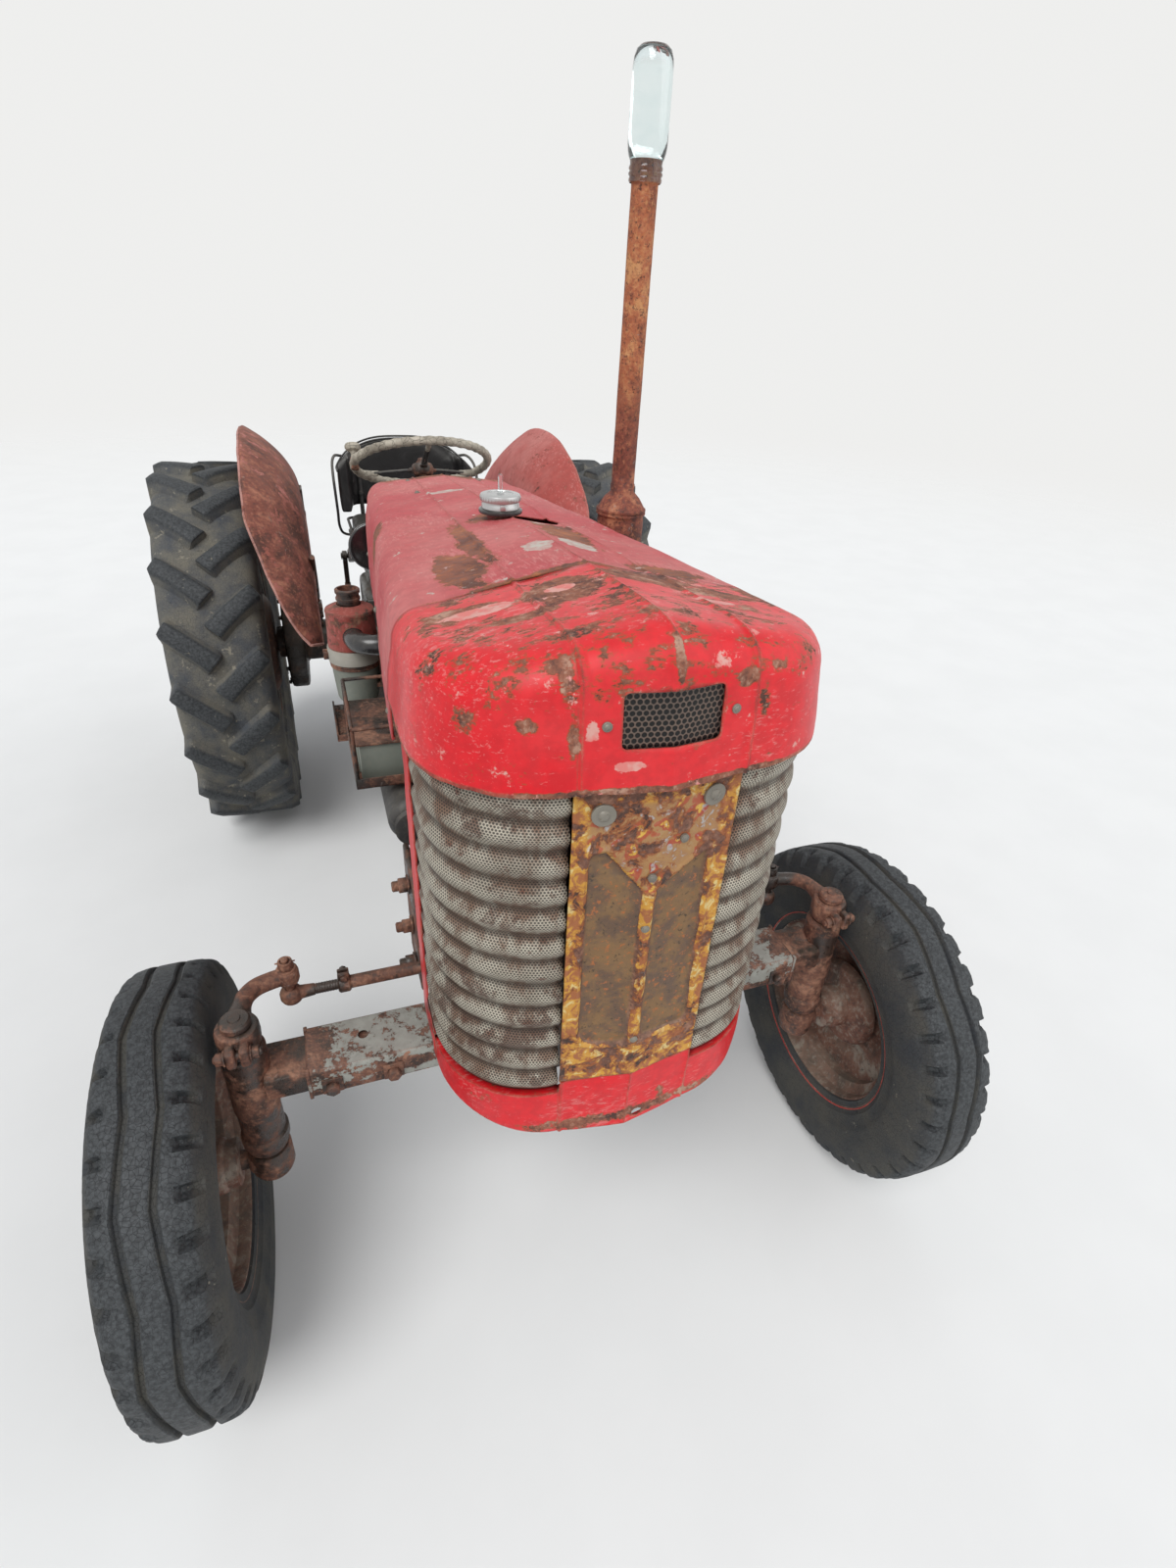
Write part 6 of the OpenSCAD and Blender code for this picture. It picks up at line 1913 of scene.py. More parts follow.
class TRACTOR_OT_rear_wheels(bpy.types.Operator):
    """Rear rims with loops, and the dished discs with their bolts and axle ends"""

    bl_idname = "tractor.rear_wheels"
    bl_label = "Rear wheels"

    def execute(self, context):
        for side, name in SIDES:
            hub = at_hub(side, REAR_X, REAR_Y, REAR_R)
            bm = bmesh.new()
            rim = mirrored([(326, 0), (327, 36), (334, 42), (350, 52), (356, 58), (356, 92),
                            (358, 97), (366, 100), (378, 103), (380, 107), (378, 110)])
            inner = [(r - 5.0, z) for r, z in reversed(rim)]
            spin_part(bm, rim + inner[1:-1], hub, 120, close=True)
            for i in range(8):
                turn = hub @ about(radians(22.5 + 45 * i))
                for y in (-24, 24):
                    block(bm, (297, y - 4, -12), (322, y + 4, 12), matrix=turn)
                block(bm, (295, -27, -13), (304, 27, 13), 4, 0, turn)
            piece(f"rear_rim_{name}_steel", bm, "brown", "rusty_steel", [f"rear_rim_{name}"],
                  body=f"rear_wheel_{name}_body", angle=38)
            bm = bmesh.new()
            disc = [(0, -131), (60, -131), (128, -131.5), (140, -130), (152, -124), (168, -110),
                    (186, -84), (206, -52), (222, -30), (236, -19), (252, -15), (290, -13.6),
                    (316, -13.6), (318, -16), (318, -22), (314, -23.6), (290, -23.6), (254, -24),
                    (238, -28), (226, -38), (210, -60), (190, -92), (174, -116), (158, -130),
                    (142, -138), (128, -140), (60, -140), (0, -140)]
            spin_part(bm, disc, hub, 120)
            bolt_ring(bm, hub, 306, -13.5, 8, 26, 14, first=0.5, turn=tau / 8)
            bolt_ring(bm, hub, 306, -24, 8, 24, 10, 1.2, first=0.5, up=-1, turn=tau / 8)
            bolt_ring(bm, hub, 102, -131, 8, 26, 16, 1.25, turn=tau / 8 * 1.3)
            spin_part(bm, [(46, -131), (44, -124), (43, -88), (40, -78), (34, -74), (12, -73),
                           (8, -70), (0, -70)], hub, 48)
            bar(bm, hub @ Vector((0, 0, -190)), hub @ Vector((0, 0, -138)), 59.8)
            piece(f"rear_disc_{name}_steel", bm, "disc", "rusty_steel", [f"rear_disc_{name}"],
                  body=f"rear_wheel_{name}_body", angle=38)
        return {"FINISHED"}


class TRACTOR_OT_front_axle(bpy.types.Operator):
    """Silver axle beam with the sliding arms, their tubes and clamp bolts"""

    bl_idname = "tractor.front_axle"
    bl_label = "Front axle"

    def execute(self, context):
        bm = bmesh.new()
        part = bmesh.new()
        block(part, (-468, -50, 556), (468, 50, 620), 7, segments=3)
        cut_round_hole(part, (-372, 6, 620), 9)
        cut_round_hole(part, (372, 6, 620), 9)
        join(bm, part, 0)
        # ends of the channel: a lip and the dark gap beside the sliding arm
        for s in (1, -1):
            block(bm, (s * 466 - 3, -51, 555), (s * 466 + 3, -40, 621), 1.5)
            block(bm, (s * 466 - 3, 40, 555), (s * 466 + 3, 51, 621), 1.5)
        # pivot cap and washer in the middle
        for y in (-54, 54):
            out = 1 if y > 0 else -1
            bar(bm, (0, y + 3 * out, AXLE_Z), (0, y + 4 * out, AXLE_Z), 64)
        piece("axle_beam_box", bm, "silver", "silver_paint", ["axle_beam"], angle=30)
        for s, name in SIDES:
            bm = bmesh.new()
            x = s * KINGPIN_X
            block(bm, (s * 300, -42, 564), (s * 535, 42, 612), 5)
            # neck that grows into the tube
            tube(bm, [(s * a, 0, AXLE_Z) for a in (496, 512, 530, KINGPIN_X)], 84, 20,
                 widths=[0.7, 0.86, 0.96, 1.0], flat=0.62)
            lathe(bm, [(19.6, 662), (28, 663), (33, 661), (36, 657), (36, 560), (38, 540),
                       (38, 520), (36, 508), (36, 448), (40, 444), (40, 426), (36, 420),
                       (35, 408), (32, 403), (20, 402)], (x, 0, 0), steps=48)
            for bx in (330, 430):
                block(bm, (s * bx - 17, -54, 563), (s * bx + 17, -49.5, 597), 1.5)
                bolt(bm, (s * bx, -53, 580), AHEAD, 25, 11, 0, turn=0.3 + bx)
                bolt(bm, (s * bx, 50, 580), BACK, 25, 14, 1.4, turn=bx)
            piece(f"axle_arm_{name}_steel", bm, "rust", "rusty_steel", [f"axle_arm_{name}"],
                  angle=36)
        return {"FINISHED"}


def cut_round_hole(part, at, r):
    """Sinks a small round hole into a flat top."""
    cut_hole(part, at, UP, ring_of(r, 12),
             lambda c: abs(c.x - at[0]) < 500 and c.z > at[2] - 1)


class TRACTOR_OT_knuckles(bpy.types.Operator):
    """Kingpins with their stub axles, clamped steering arms and ball joints"""

    bl_idname = "tractor.knuckles"
    bl_label = "Knuckles"

    def execute(self, context):
        for s, name in SIDES:
            bm = bmesh.new()
            x = s * KINGPIN_X
            # pin, boss under the tube and stub axle
            lathe(bm, [(0, 728), (14, 728), (17, 726), (19, 720), (19.9, 710), (19.9, 330)],
                  (x, 0, 0), UP, 40)
            lathe(bm, [(0, 332), (26, 332), (34, 336), (37, 344), (37, 392), (34, 398), (22, 400)],
                  (x, 0, 0), UP, 48)
            bar(bm, (x, 0, STUB_Z), (s * 596, 0, STUB_Z), 60, 54, 5, 36)
            bar(bm, (s * 590, 0, STUB_Z), (s * 735, 0, STUB_Z), 34.6, None, 3, 36)
            # clamp hub: ring with a slit and two ears, its bolt and nut
            lathe(bm, [(20, 712), (28, 713), (32, 711), (34, 706), (34.5, 692), (33, 676),
                       (30, 668), (26, 665), (20, 664)], (x, 0, 0), steps=40)
            for e in (-1, 1):
                block(bm, (x + e * 3, -52, 670), (x + e * 18, -20, 706), 5, segments=3)
            block(bm, (x - 4, -34, 666), (x + 4, -20, 711), 0)
            bolt(bm, (x + 18, -39, 688), LEFT, 22, 11, 1.2, turn=0.4)
            bolt(bm, (x - 18, -39, 688), RIGHT, 22, 12, 1.2, turn=0.1)
            bar(bm, (x - 36, -39, 688), (x + 36, -39, 688), 12)
            # round cap on the pin
            lathe(bm, [(0, 731), (9, 731), (10, 729), (21, 727.4), (24, 724), (24, 716), (20, 713)],
                  (x, 0, 0), UP, 32)
            # bent arm to the ball joint
            path = smoothed([(x, 14, 696), (s * 556, 38, 700), (s * 549, 66, 702),
                             (s * 533, 86, 701), (s * 510, 97, 699), (s * BALL_X, BALL_Y, 697)], 5)
            width = [1.5 - 0.5 * ease(i / (len(path) - 1), 0, 0.35) for i in range(len(path))]
            tube(bm, path, 28, 18, widths=width, flat=1.1)
            lathe(bm, [(0, 714), (14, 714), (18, 711), (19.5, 705), (19.5, 690), (17, 683),
                       (10, 680)], (s * BALL_X, BALL_Y, 0), UP, 32)
            # castle nut with its pin, and the ball's stud below
            bolt(bm, (s * BALL_X, BALL_Y, 712), UP, 27, 13, 1.2, turn=0.5)
            lathe(bm, [(12, 724), (12, 731), (8.5, 731), (8, 725)], (s * BALL_X, BALL_Y, 0),
                  steps=18)
            bar(bm, (s * BALL_X, BALL_Y, 722), (s * BALL_X, BALL_Y, 736), 12)
            bar(bm, (s * BALL_X - 17, BALL_Y, 728), (s * BALL_X + 17, BALL_Y, 728), 3, steps=10)
            bar(bm, (s * BALL_X, BALL_Y, 634), (s * BALL_X, BALL_Y, 690), 17)
            piece(f"knuckle_{name}_forging", bm, "rust", "rusty_steel", [f"knuckle_{name}"],
                  body=f"steered_{name}", angle=40)
        return {"FINISHED"}


class TRACTOR_OT_steering_rods(bpy.types.Operator):
    """Tie rods, drag link, drop arm and the lever over the axle"""

    bl_idname = "tractor.steering_rods"
    bl_label = "Steering rods"

    def execute(self, context):
        for s, name in SIDES:
            bm = bmesh.new()
            z, y = ROD_Z, BALL_Y
            for x in (BALL_X, 28):
                lathe(bm, [(0, 634), (10, 635), (17, 639), (19.5, 645), (19.5, 655), (17, 661),
                           (10.5, 665), (9.4, 666)], (s * x, y, 0), steps=28)
            bar(bm, (s * 478, y, z), (s * 440, y, z), 26, 21, 3)
            bar(bm, (s * 446, y, z), (s * 396, y, z), 18.5, None, 1)
            bar(bm, (s * 404, y, z), (s * 62, y, z), 24, None, 3)
            bar(bm, (s * 66, y, z), (s * 34, y, z), 21, 26, 3)
            # thread of the adjustable end, clamp with two ears and a bolt
            for i in range(9):
                far = 440 - 4.6 * i
                bar(bm, (s * far, y, z), (s * (far - 1.4), y, z), 20, None, 0.5, 16)
            bar(bm, (s * 403, y, z), (s * 381, y, z), 33, None, 3)
            block(bm, (s * 392 - 10, y - 8, z + 10), (s * 392 + 10, y - 2.5, z + 30), 2)
            block(bm, (s * 392 - 10, y + 2.5, z + 10), (s * 392 + 10, y + 8, z + 30), 2)
            bolt(bm, (s * 392, y - 8, z + 21), AHEAD, 13, 6, 1.3)
            bolt(bm, (s * 392, y + 8, z + 21), BACK, 13, 7, 1.3)
            piece(f"tie_rod_{name}_steel", bm, "rust", "rusty_steel", [f"tie_rod_{name}"],
                  body=f"tie_rod_{name}_body", angle=40)
        # lever over the axle
        bm = bmesh.new()
        lathe(bm, [(16.4, 641), (30, 641), (34, 644), (35, 650), (35, 684), (33, 689), (28, 692),
                   (16.4, 692)], (0, 0, 0), UP, 36)
        block(bm, (-22, 0, 668), (22, 108, 690), 5, segments=3)
        block(bm, (-30, 88, 668), (30, 123, 690), 6, segments=3)
        block(bm, (10, -18, 672), (118, 18, 690), 5, segments=3)
        lathe(bm, [(0, 671), (20, 672), (22, 675), (22, 687), (20, 690), (0, 690)], (120, 0, 0),
              UP, 28)
        for x in (-28, 28):
            bolt(bm, (x, 105, 689), UP, 22, 11, 1.2)
        piece("centre_lever_forging", bm, "brown", "castings", ["centre_arm"], body="centre_lever",
              angle=40)
        # cranked drag link
        bm = bmesh.new()
        path = smoothed([(120, 0, 705), (150, 50, 705), (206, 146, 705), (221, 176, 705),
                         (222, 220, 703)], 5)
        end = Vector((222, DROP_Y, DRAG_Z))
        tube(bm, path + [path[-1].lerp(end, t) for t in (0.2, 0.4, 0.6, 0.8, 1.0)], 24, 18)
        lathe(bm, [(0, 692), (17, 693), (21, 697), (21, 713), (17, 717), (0, 718)], (120, 0, 0),
              UP, 28)
        bolt(bm, (120, 0, 714), UP, 22, 8, 0)
        bar(bm, (208, DROP_Y, DRAG_Z), (236, DROP_Y, DRAG_Z), 42, None, 4, 28)
        piece("drag_link_steel", bm, "brown", "rusty_steel", ["drag_link"], body="drag_rod",
              angle=40)
        bm = bmesh.new()
        bar(bm, (182, DROP_Y, DROP_Z), (204, DROP_Y, DROP_Z), 62, None, 4, 36)
        bar(bm, (146, DROP_Y, DROP_Z), (190, DROP_Y, DROP_Z), 29.8, None, 1, 28)
        bolt(bm, (204, DROP_Y, DROP_Z), LEFT, 32, 14, 1.3)
        part = bmesh.new()
        block(part, (182, -18, -176), (202, 18, 0), 4)
        for v in part.verts:
            v.co.y *= 1.25 - 0.35 * min(1.0, -v.co.z / 176)
        join(bm, part, 0, Matrix.Translation((0, DROP_Y, DROP_Z)))
        bar(bm, (182, DROP_Y, DRAG_Z), (202, DROP_Y, DRAG_Z), 44, None, 3, 28)
        bar(bm, (200, DROP_Y, DRAG_Z), (240, DROP_Y, DRAG_Z), 17.8, None, 1, 20)
        bolt(bm, (236, DROP_Y, DRAG_Z), LEFT, 22, 6, 1.2)
        piece("drop_arm_forging", bm, "brown", "castings", ["drop_arm"], body="drop_lever",
              angle=40)
        return {"FINISHED"}


def fender_section(a):
    """Cross line of a fender at angle a: inner wall, long round shoulder and outer lip."""
    full = min(1.0, max(0.0, (a - 19) / 30))
    taper = max(0.35, 1 - (a - 120) / 60) if a > 120 else 1.0
    wide = sqrt(full) * taper + 0.02
    r = REAR_R + 127 - 22 * ease(a, 55, 95) * (1 - ease(a, 110, 140))
    deep = 0.22 + 0.78 * min(1.0, max(0.0, (a - 10) / 40))
    flat = [(345 + off * wide, r + drop * deep) for off, drop in
            ((0, -270), (0, -225), (3, -188), (12, -148), (30, -108), (58, -70), (94, -36),
             (126, -13), (148, 0), (156, -6))]
    turn = radians(a)
    return smoothed([(q, REAR_Y - p * cos(turn), REAR_R + p * sin(turn))
                     for q, p in flat], 5)


class TRACTOR_OT_fenders(bpy.types.Operator):
    """Leaf-shaped fenders with rolled edges and their folded straps"""

    bl_idname = "tractor.fenders"
    bl_label = "Fenders"

    def execute(self, context):
        angles = steps(20, 146, 72)
        lines = {a: fender_section(a) for a in angles}
        count = len(lines[angles[0]]) - 1
        for side, name in SIDES:
            turn = Matrix.Diagonal((side, 1, 1, 1))

            def place(u, a, side=side):
                p = lines[a][round(u * count)]
                dent = 4.0 * noise.noise(Vector((p.x * 0.008 * side, p.y * 0.007, p.z * 0.009)))
                return Vector((side * (p.x - abs(dent)), p.y, p.z))

            bm = bmesh.new()
            grid(bm, steps(0, 1, count), angles, place)
            piece(f"fender_{name}_sheet", bm, f"fender_{name}", "faded_red", [f"fender_{name}"],
                  facing=(side, 0, 0.6), thick=3.0, angle=60)
            bm = bmesh.new()
            outer = [place(1.0, a) for a in angles]
            inner = [place(0.0, a) for a in angles]
            low = [place(u / count, angles[0]) for u in range(count + 1)]
            high = [place(u / count, angles[-1]) for u in range(count + 1)]
            for path in (outer, low, high, inner):
                tube(bm, path, 8.0, 10)
            piece(f"fender_{name}_roll", bm, f"roll_{name}", "faded_red")
            # strap folded down to a saddle on the trumpet
            bm = bmesh.new()
            for x0, x1, wide, z0, z1, r in (
                (341, 349, 38, 84, 535, 3), (332, 341, 30, 150, 300, 3), (326, 352, 46, 96, 110, 4),
                (326, 352, 46, 122, 136, 4), (330, 398, 50, 71, 83, 5)
            ):
                block(bm, (x0, REAR_Y - wide, REAR_R + z0), (x1, REAR_Y + wide, REAR_R + z1), r, 0,
                      turn)
            for y in (-34, 34):
                bolt(bm, (side * 384, REAR_Y + y, REAR_R + 82), UP, 18, 9, turn=y)
            for z in (180, 262, 420, 505):
                for y in (-20, 20):
                    bolt(bm, (side * 350, REAR_Y + y, REAR_R + z), (side, 0, 0), 15, 6, turn=z + y)
            # brace that stiffens the front of the leaf
            tube(bm, smoothed([(side * 338, REAR_Y - 60, REAR_R + 180),
                               (side * 339, REAR_Y - 240, REAR_R + 300),
                               (side * 341, REAR_Y - 420, REAR_R + 420)], 6), 16, 10)
            piece(f"fender_{name}_strap", bm, "brown", "rusty_steel")
        return {"FINISHED"}


def puffed(made, most):
    """Blows a closed pad up as cloth; no point moves farther than most, in millimetres."""
    scene = bpy.context.scene
    frames = 20
    remesh = made.modifiers.new("Remesh", "REMESH")
    remesh.mode = "VOXEL"
    remesh.voxel_size = 0.006
    apply_all(made)
    before = [v.co.copy() for v in made.data.vertices]
    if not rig.quick():
        cloth = made.modifiers.new("Cloth", "CLOTH")
        cloth.settings.use_pressure = True
        cloth.settings.uniform_pressure_force = 4.0
        cloth.settings.effector_weights.gravity = 0.0
        cloth.settings.mass = 0.3
        cloth.point_cache.frame_start = 1
        cloth.point_cache.frame_end = frames
        for number in range(1, frames + 1):
            scene.frame_set(number)
        apply_all(made)
        scene.frame_set(1)
        for v, old in zip(made.data.vertices, before):
            step = v.co - old
            if step.length > most * 0.001:
                v.co = old + step.normalized() * most * 0.001
    round_off = made.modifiers.new("Soft", "SUBSURF")
    round_off.levels = round_off.render_levels = 1
    made.data.shade_smooth()


def apply_all(made):
    """Turns a piece's modifiers into its mesh."""
    graph = bpy.context.evaluated_depsgraph_get()
    mesh = bpy.data.meshes.new_from_object(made.evaluated_get(graph))
    old = made.data
    made.modifiers.clear()
    made.data = mesh
    bpy.data.meshes.remove(old)


def seat_outline(inset):
    """Outline of the seat cushion, inset from the frame's solid, anticlockwise."""
    x, y0, y1, r, s = 205 - inset, 1560 + inset, 1890 - inset, 70 - inset, 26
    made = []
    for cx, cy, at, radius in ((x - r, y0 + r, -90, r), (x - s, y1 - s, 0, s),
                               (s - x, y1 - s, 90, s), (r - x, y0 + r, 180, r)):
        for j in range(9):
            a = radians(at + 90 * j / 8)
            made.append(Vector((cx + radius * cos(a), cy + radius * sin(a), 0)))
    return made


def back_point(s, t, h):
    """A point of the seat back: s along its bent middle line, t across it, h of its height."""
    straight, bend = 145.0, 60.0 * pi / 2
    side = 1 if s > 0 else -1
    far = abs(s)
    if far < straight:
        x, y, out = far, 1938.9, Vector((0.0, -1.0))
    elif far < straight + bend:
        a = (far - straight) / 60.0
        x, y = straight + 60 * sin(a), 1878.9 + 60 * cos(a)
        out = Vector((-sin(a), -cos(a)))
    else:
        x, y, out = 205.0, 1878.9 - (far - straight - bend), Vector((-1.0, 0.0))
    wide = (t * 25 if far < straight else t * (25 - 7 * min(1.0, (far - straight) / 60)))
    x, y = x + out.x * wide, y + out.y * wide
    high = 1296.0 - 90.0 * (min(x, 225) / 225) ** 3
    return Vector((side * x, y, 1073 + (high - 1073) * h))


class TRACTOR_OT_seat(bpy.types.Operator):
    """Black padded seat with piping, on its pan and tubes"""

    bl_idname = "tractor.seat"
    bl_label = "Seat"

    def execute(self, context):
        low, top = 1001.0, 1055.0
        bm = bmesh.new()
        part = bmesh.new()
        face = part.faces.new([part.verts.new(p + Vector((0, 0, low))) for p in seat_outline(5)])
        grown = bmesh.ops.extrude_face_region(part, geom=[face])["geom"]
        bmesh.ops.translate(part, vec=(0, 0, top - low),
                            verts=[g for g in grown if isinstance(g, bmesh.types.BMVert)])
        rim = [e for e in part.edges if all(v.co.z > low + 1 for v in e.verts)]
        bmesh.ops.bevel(part, geom=rim, offset=14, segments=4, profile=0.5, affect="EDGES",
                        material=-1)
        join(bm, part, 0)
        made = piece("seat_cushion_pad", bm, "vinyl", "black_vinyl", ["seat_cushion"])
        puffed(made, 8.0)
        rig.padded(made, fill=0.7)
        # back, bent round the driver
        bm = bmesh.new()
        part = bmesh.new()
        bmesh.ops.create_cube(part, size=2.0)
        bmesh.ops.subdivide_edges(
            part, edges=[e for e in part.edges if abs(e.verts[0].co.x - e.verts[1].co.x) > 1],
            cuts=47, use_grid_fill=True)
        bmesh.ops.subdivide_edges(
            part, edges=[e for e in part.edges if abs(e.verts[0].co.z - e.verts[1].co.z) > 1],
            cuts=11, use_grid_fill=True)
        for v in part.verts:
            v.co = back_point(v.co.x * 300.0, -v.co.y * 0.9, (v.co.z + 1) / 2)
        join(bm, part, 0)
        made = piece("seat_back_pad", bm, "vinyl", "black_vinyl", ["seat_back"])
        puffed(made, 7.0)
        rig.padded(made, fill=0.7)
        # piping round the cushion and over the back
        bm = bmesh.new()
        wide = sizes().piping
        tube(bm, [p + Vector((0, 0, top - 12)) for p in seat_outline(0.5)], wide, 10, closed=True)
        tube(bm, [p + Vector((0, 0, low + 5)) for p in seat_outline(1.0)], wide * 0.8, 8,
             closed=True)
        for t in (-1.04, 1.04):
            tube(bm, [back_point(s, t, 0.985) for s in steps(-296, 296, 60)], wide * 0.7, 10)
        piece("seat_piping", bm, "vinyl", "black_vinyl")
        # pan, pedestal and the tubes that carry the back
        bm = bmesh.new()
        block(bm, (-178, 1592, 990), (178, 1899, 999.6), 4)
        block(bm, (-60, 1720, 872), (60, 1880, 884), 4)
        for x in (-50, 50):
            block(bm, (x - 7, 1730, 882), (x + 7, 1868, 991), 3)
        for i in range(7):
            bar(bm, (0, 1762 + 12 * i, 884), (0, 1763 + 12 * i, 984), 3, steps=8)
        # coil spring under the pan
        coil = [(30 * cos(a), 1800 + 30 * sin(a), 888 + a * 3.0)
                for a in steps(0, tau * 5, 100)]
        tube(bm, coil, 9, 8)
        for x in (-40, 40):
            for y in (1740, 1860):
                bolt(bm, (x, y, 884), UP, 16, 7, turn=x + y)
        for s in (1, -1):
            tube(bm, smoothed([(s * 150, 1900, 993), (s * 150, 1907, 1010), (s * 150, 1908, 1100),
                               (s * 150, 1908, 1196)], 6), 14, 12)
            # tube loop that runs round the wing and carries it
            tube(bm, smoothed([(s * 150, 1880, 986), (s * 215, 1880, 990), (s * 234, 1862, 1020),
                               (s * 236, 1838, 1080), (s * 238, 1824, 1150), (s * 238, 1838, 1200),
                               (s * 234, 1880, 1226), (s * 222, 1930, 1236),
                               (s * 200, 1960, 1230)], 6), 9, 12)
            for z in (1040, 1120, 1180):
                bolt(bm, (s * 150, 1902, z), AHEAD, 13, 5, turn=z)
        piece("seat_frame_steel", bm, "dark", "black_paint", ["seat_frame"])
        return {"FINISHED"}


def at_column():
    """The steering column's frame: Z runs up the column from the wheel's middle."""
    return Matrix.Translation((0, 1470, 1290)) @ about(radians(-27), "X")


class TRACTOR_OT_steering_wheel(bpy.types.Operator):
    """Thin weathered wheel with finger grips, sprung spokes and a mushroom knob"""

    bl_idname = "tractor.steering_wheel"
    bl_label = "Steering wheel"

    def execute(self, context):
        turn = at_column()
        r = 192.5
        bm = bmesh.new()
        grips = 40
        path, wide = [], []
        for i in range(grips * 6):
            a = tau * i / (grips * 6)
            path.append(turn @ Vector((r * cos(a), r * sin(a), 0)))
            wide.append(0.93 + 0.07 * cos(a * grips))
        tube(bm, path, 25, 14, mat=0, closed=True, widths=wide)
        for a in (30, 150, 270):
            spin = turn @ about(radians(a))
            for y in (-4.5, 4.5):
                tube(bm, [spin @ Vector(p) for p in ((20, y, -16), (60, y, -12), (110, y, -8),
                                                     (150, y * 0.9, -5))], 8, 10, mat=1)
            # moulded beige end of the spoke
            tube(bm, [spin @ Vector(p) for p in ((140, 0, -6), (160, 0, -4), (180, 0, -1),
                                                 (190, 0, 0))], 20, 12, mat=0,
                 widths=[0.75, 0.85, 1.0, 1.1], flat=0.8)
        piece("steering_wheel_ring", bm, "grip dark", "grey_plastic", ["steering_wheel"],
              body="hand_wheel")
        bm = bmesh.new()
        spin_part(bm, [(0, -34), (24, -34), (29, -30), (31, -24), (31, -10), (28, -4), (18, -2),
                       (17, 2), (13, 5), (0, 6)], turn, 40)
        bolt(bm, turn @ Vector((0, 0, 3)), turn.to_3x3() @ Vector(UP), 24, 9, 1.3)
        bar(bm, turn @ Vector((0, 0, -290)), turn @ Vector((0, 0, -30)), 19.6)
        for a in (30, 150, 270):
            spin = turn @ about(radians(a))
            block(bm, (18, -11, -20), (44, 11, -11), 3, 0, spin)
            bolt(bm, spin @ Vector((36, 0, -12)), turn.to_3x3() @ Vector(UP), 11, 4, 0)
        piece("steering_wheel_hub", bm, "rust", "rusty_steel", body="hand_wheel")
        # spinner knob on its clamp
        bm = bmesh.new()
        knob = turn @ Matrix.Translation((-190, 0, 0))
        spin_part(bm, [(0, 8), (9, 8), (8, 14), (7, 28), (10, 34), (18, 37), (22, 43), (22, 49),
                       (19, 54), (11, 56.5), (0, 57)], knob, 40, mat=0)
        block(bm, (-11, -13, -16), (11, 13, -9), 3, 1, knob)
        for y in (-15, 15):
            block(bm, (-9, y - 2, -14), (9, y + 2, 12), 1.5, 1, knob)
        block(bm, (-11, -17, 9), (11, 17, 14), 2, 1, knob)
        piece("steering_knob", bm, "grip rust", "grey_plastic", body="hand_wheel")
        return {"FINISHED"}


class TRACTOR_OT_steering_box(bpy.types.Operator):
    """Cast steering box, its side arm and the column tube"""

    bl_idname = "tractor.steering_box"
    bl_label = "Steering box"

    def execute(self, context):
        turn = at_column()
        bm = bmesh.new()
        block(bm, (-78, 1152, 860), (78, 1328, 926), 14, segments=3)
        block(bm, (-86, 1144, 860), (86, 1336, 872), 4)
        block(bm, (70, 1152, 864), (160, 1208, 926), 12, segments=3)
        block(bm, (142, 1152, 802), (176, 1208, 930), 12, segments=3)
        bar(bm, (132, DROP_Y, DROP_Z), (178, DROP_Y, DROP_Z), 66, round_by=4)
        bar(bm, (176, DROP_Y, DROP_Z), (179, DROP_Y, DROP_Z), 50, round_by=1)
        for a in range(6):
            c, s = cos(tau * a / 6), sin(tau * a / 6)
            bolt(bm, (-60 + 120 * (a % 2), 1165 + 70 * (a // 2), 872), UP, 16, 8, turn=a)
            bolt(bm, (175, DROP_Y + 25 * c, DROP_Z + 25 * s), LEFT, 9, 3, 0, turn=a)
        spin_part(bm, [(40, -428), (40, -416), (34, -410), (27, -396), (23, -380), (23, -60),
                       (26, -56), (26, -44), (20, -40), (11, -40)], turn, 40)
        spin_part(bm, [(24, -200), (27, -199), (27, -186), (24, -185)], turn, 40)
        bolt_ring(bm, turn, 31, -414, 4, 12, 6, 0)
        # throttle lever beside the column
        tube(bm, [turn @ Vector(p) for p in ((26, 0, -150), (60, 14, -120), (96, 24, -92),
                                             (120, 30, -84))], 8, 10, mat=0)
        piece("steering_box_casting", bm, "iron", "castings", ["steering_box"])
        return {"FINISHED"}


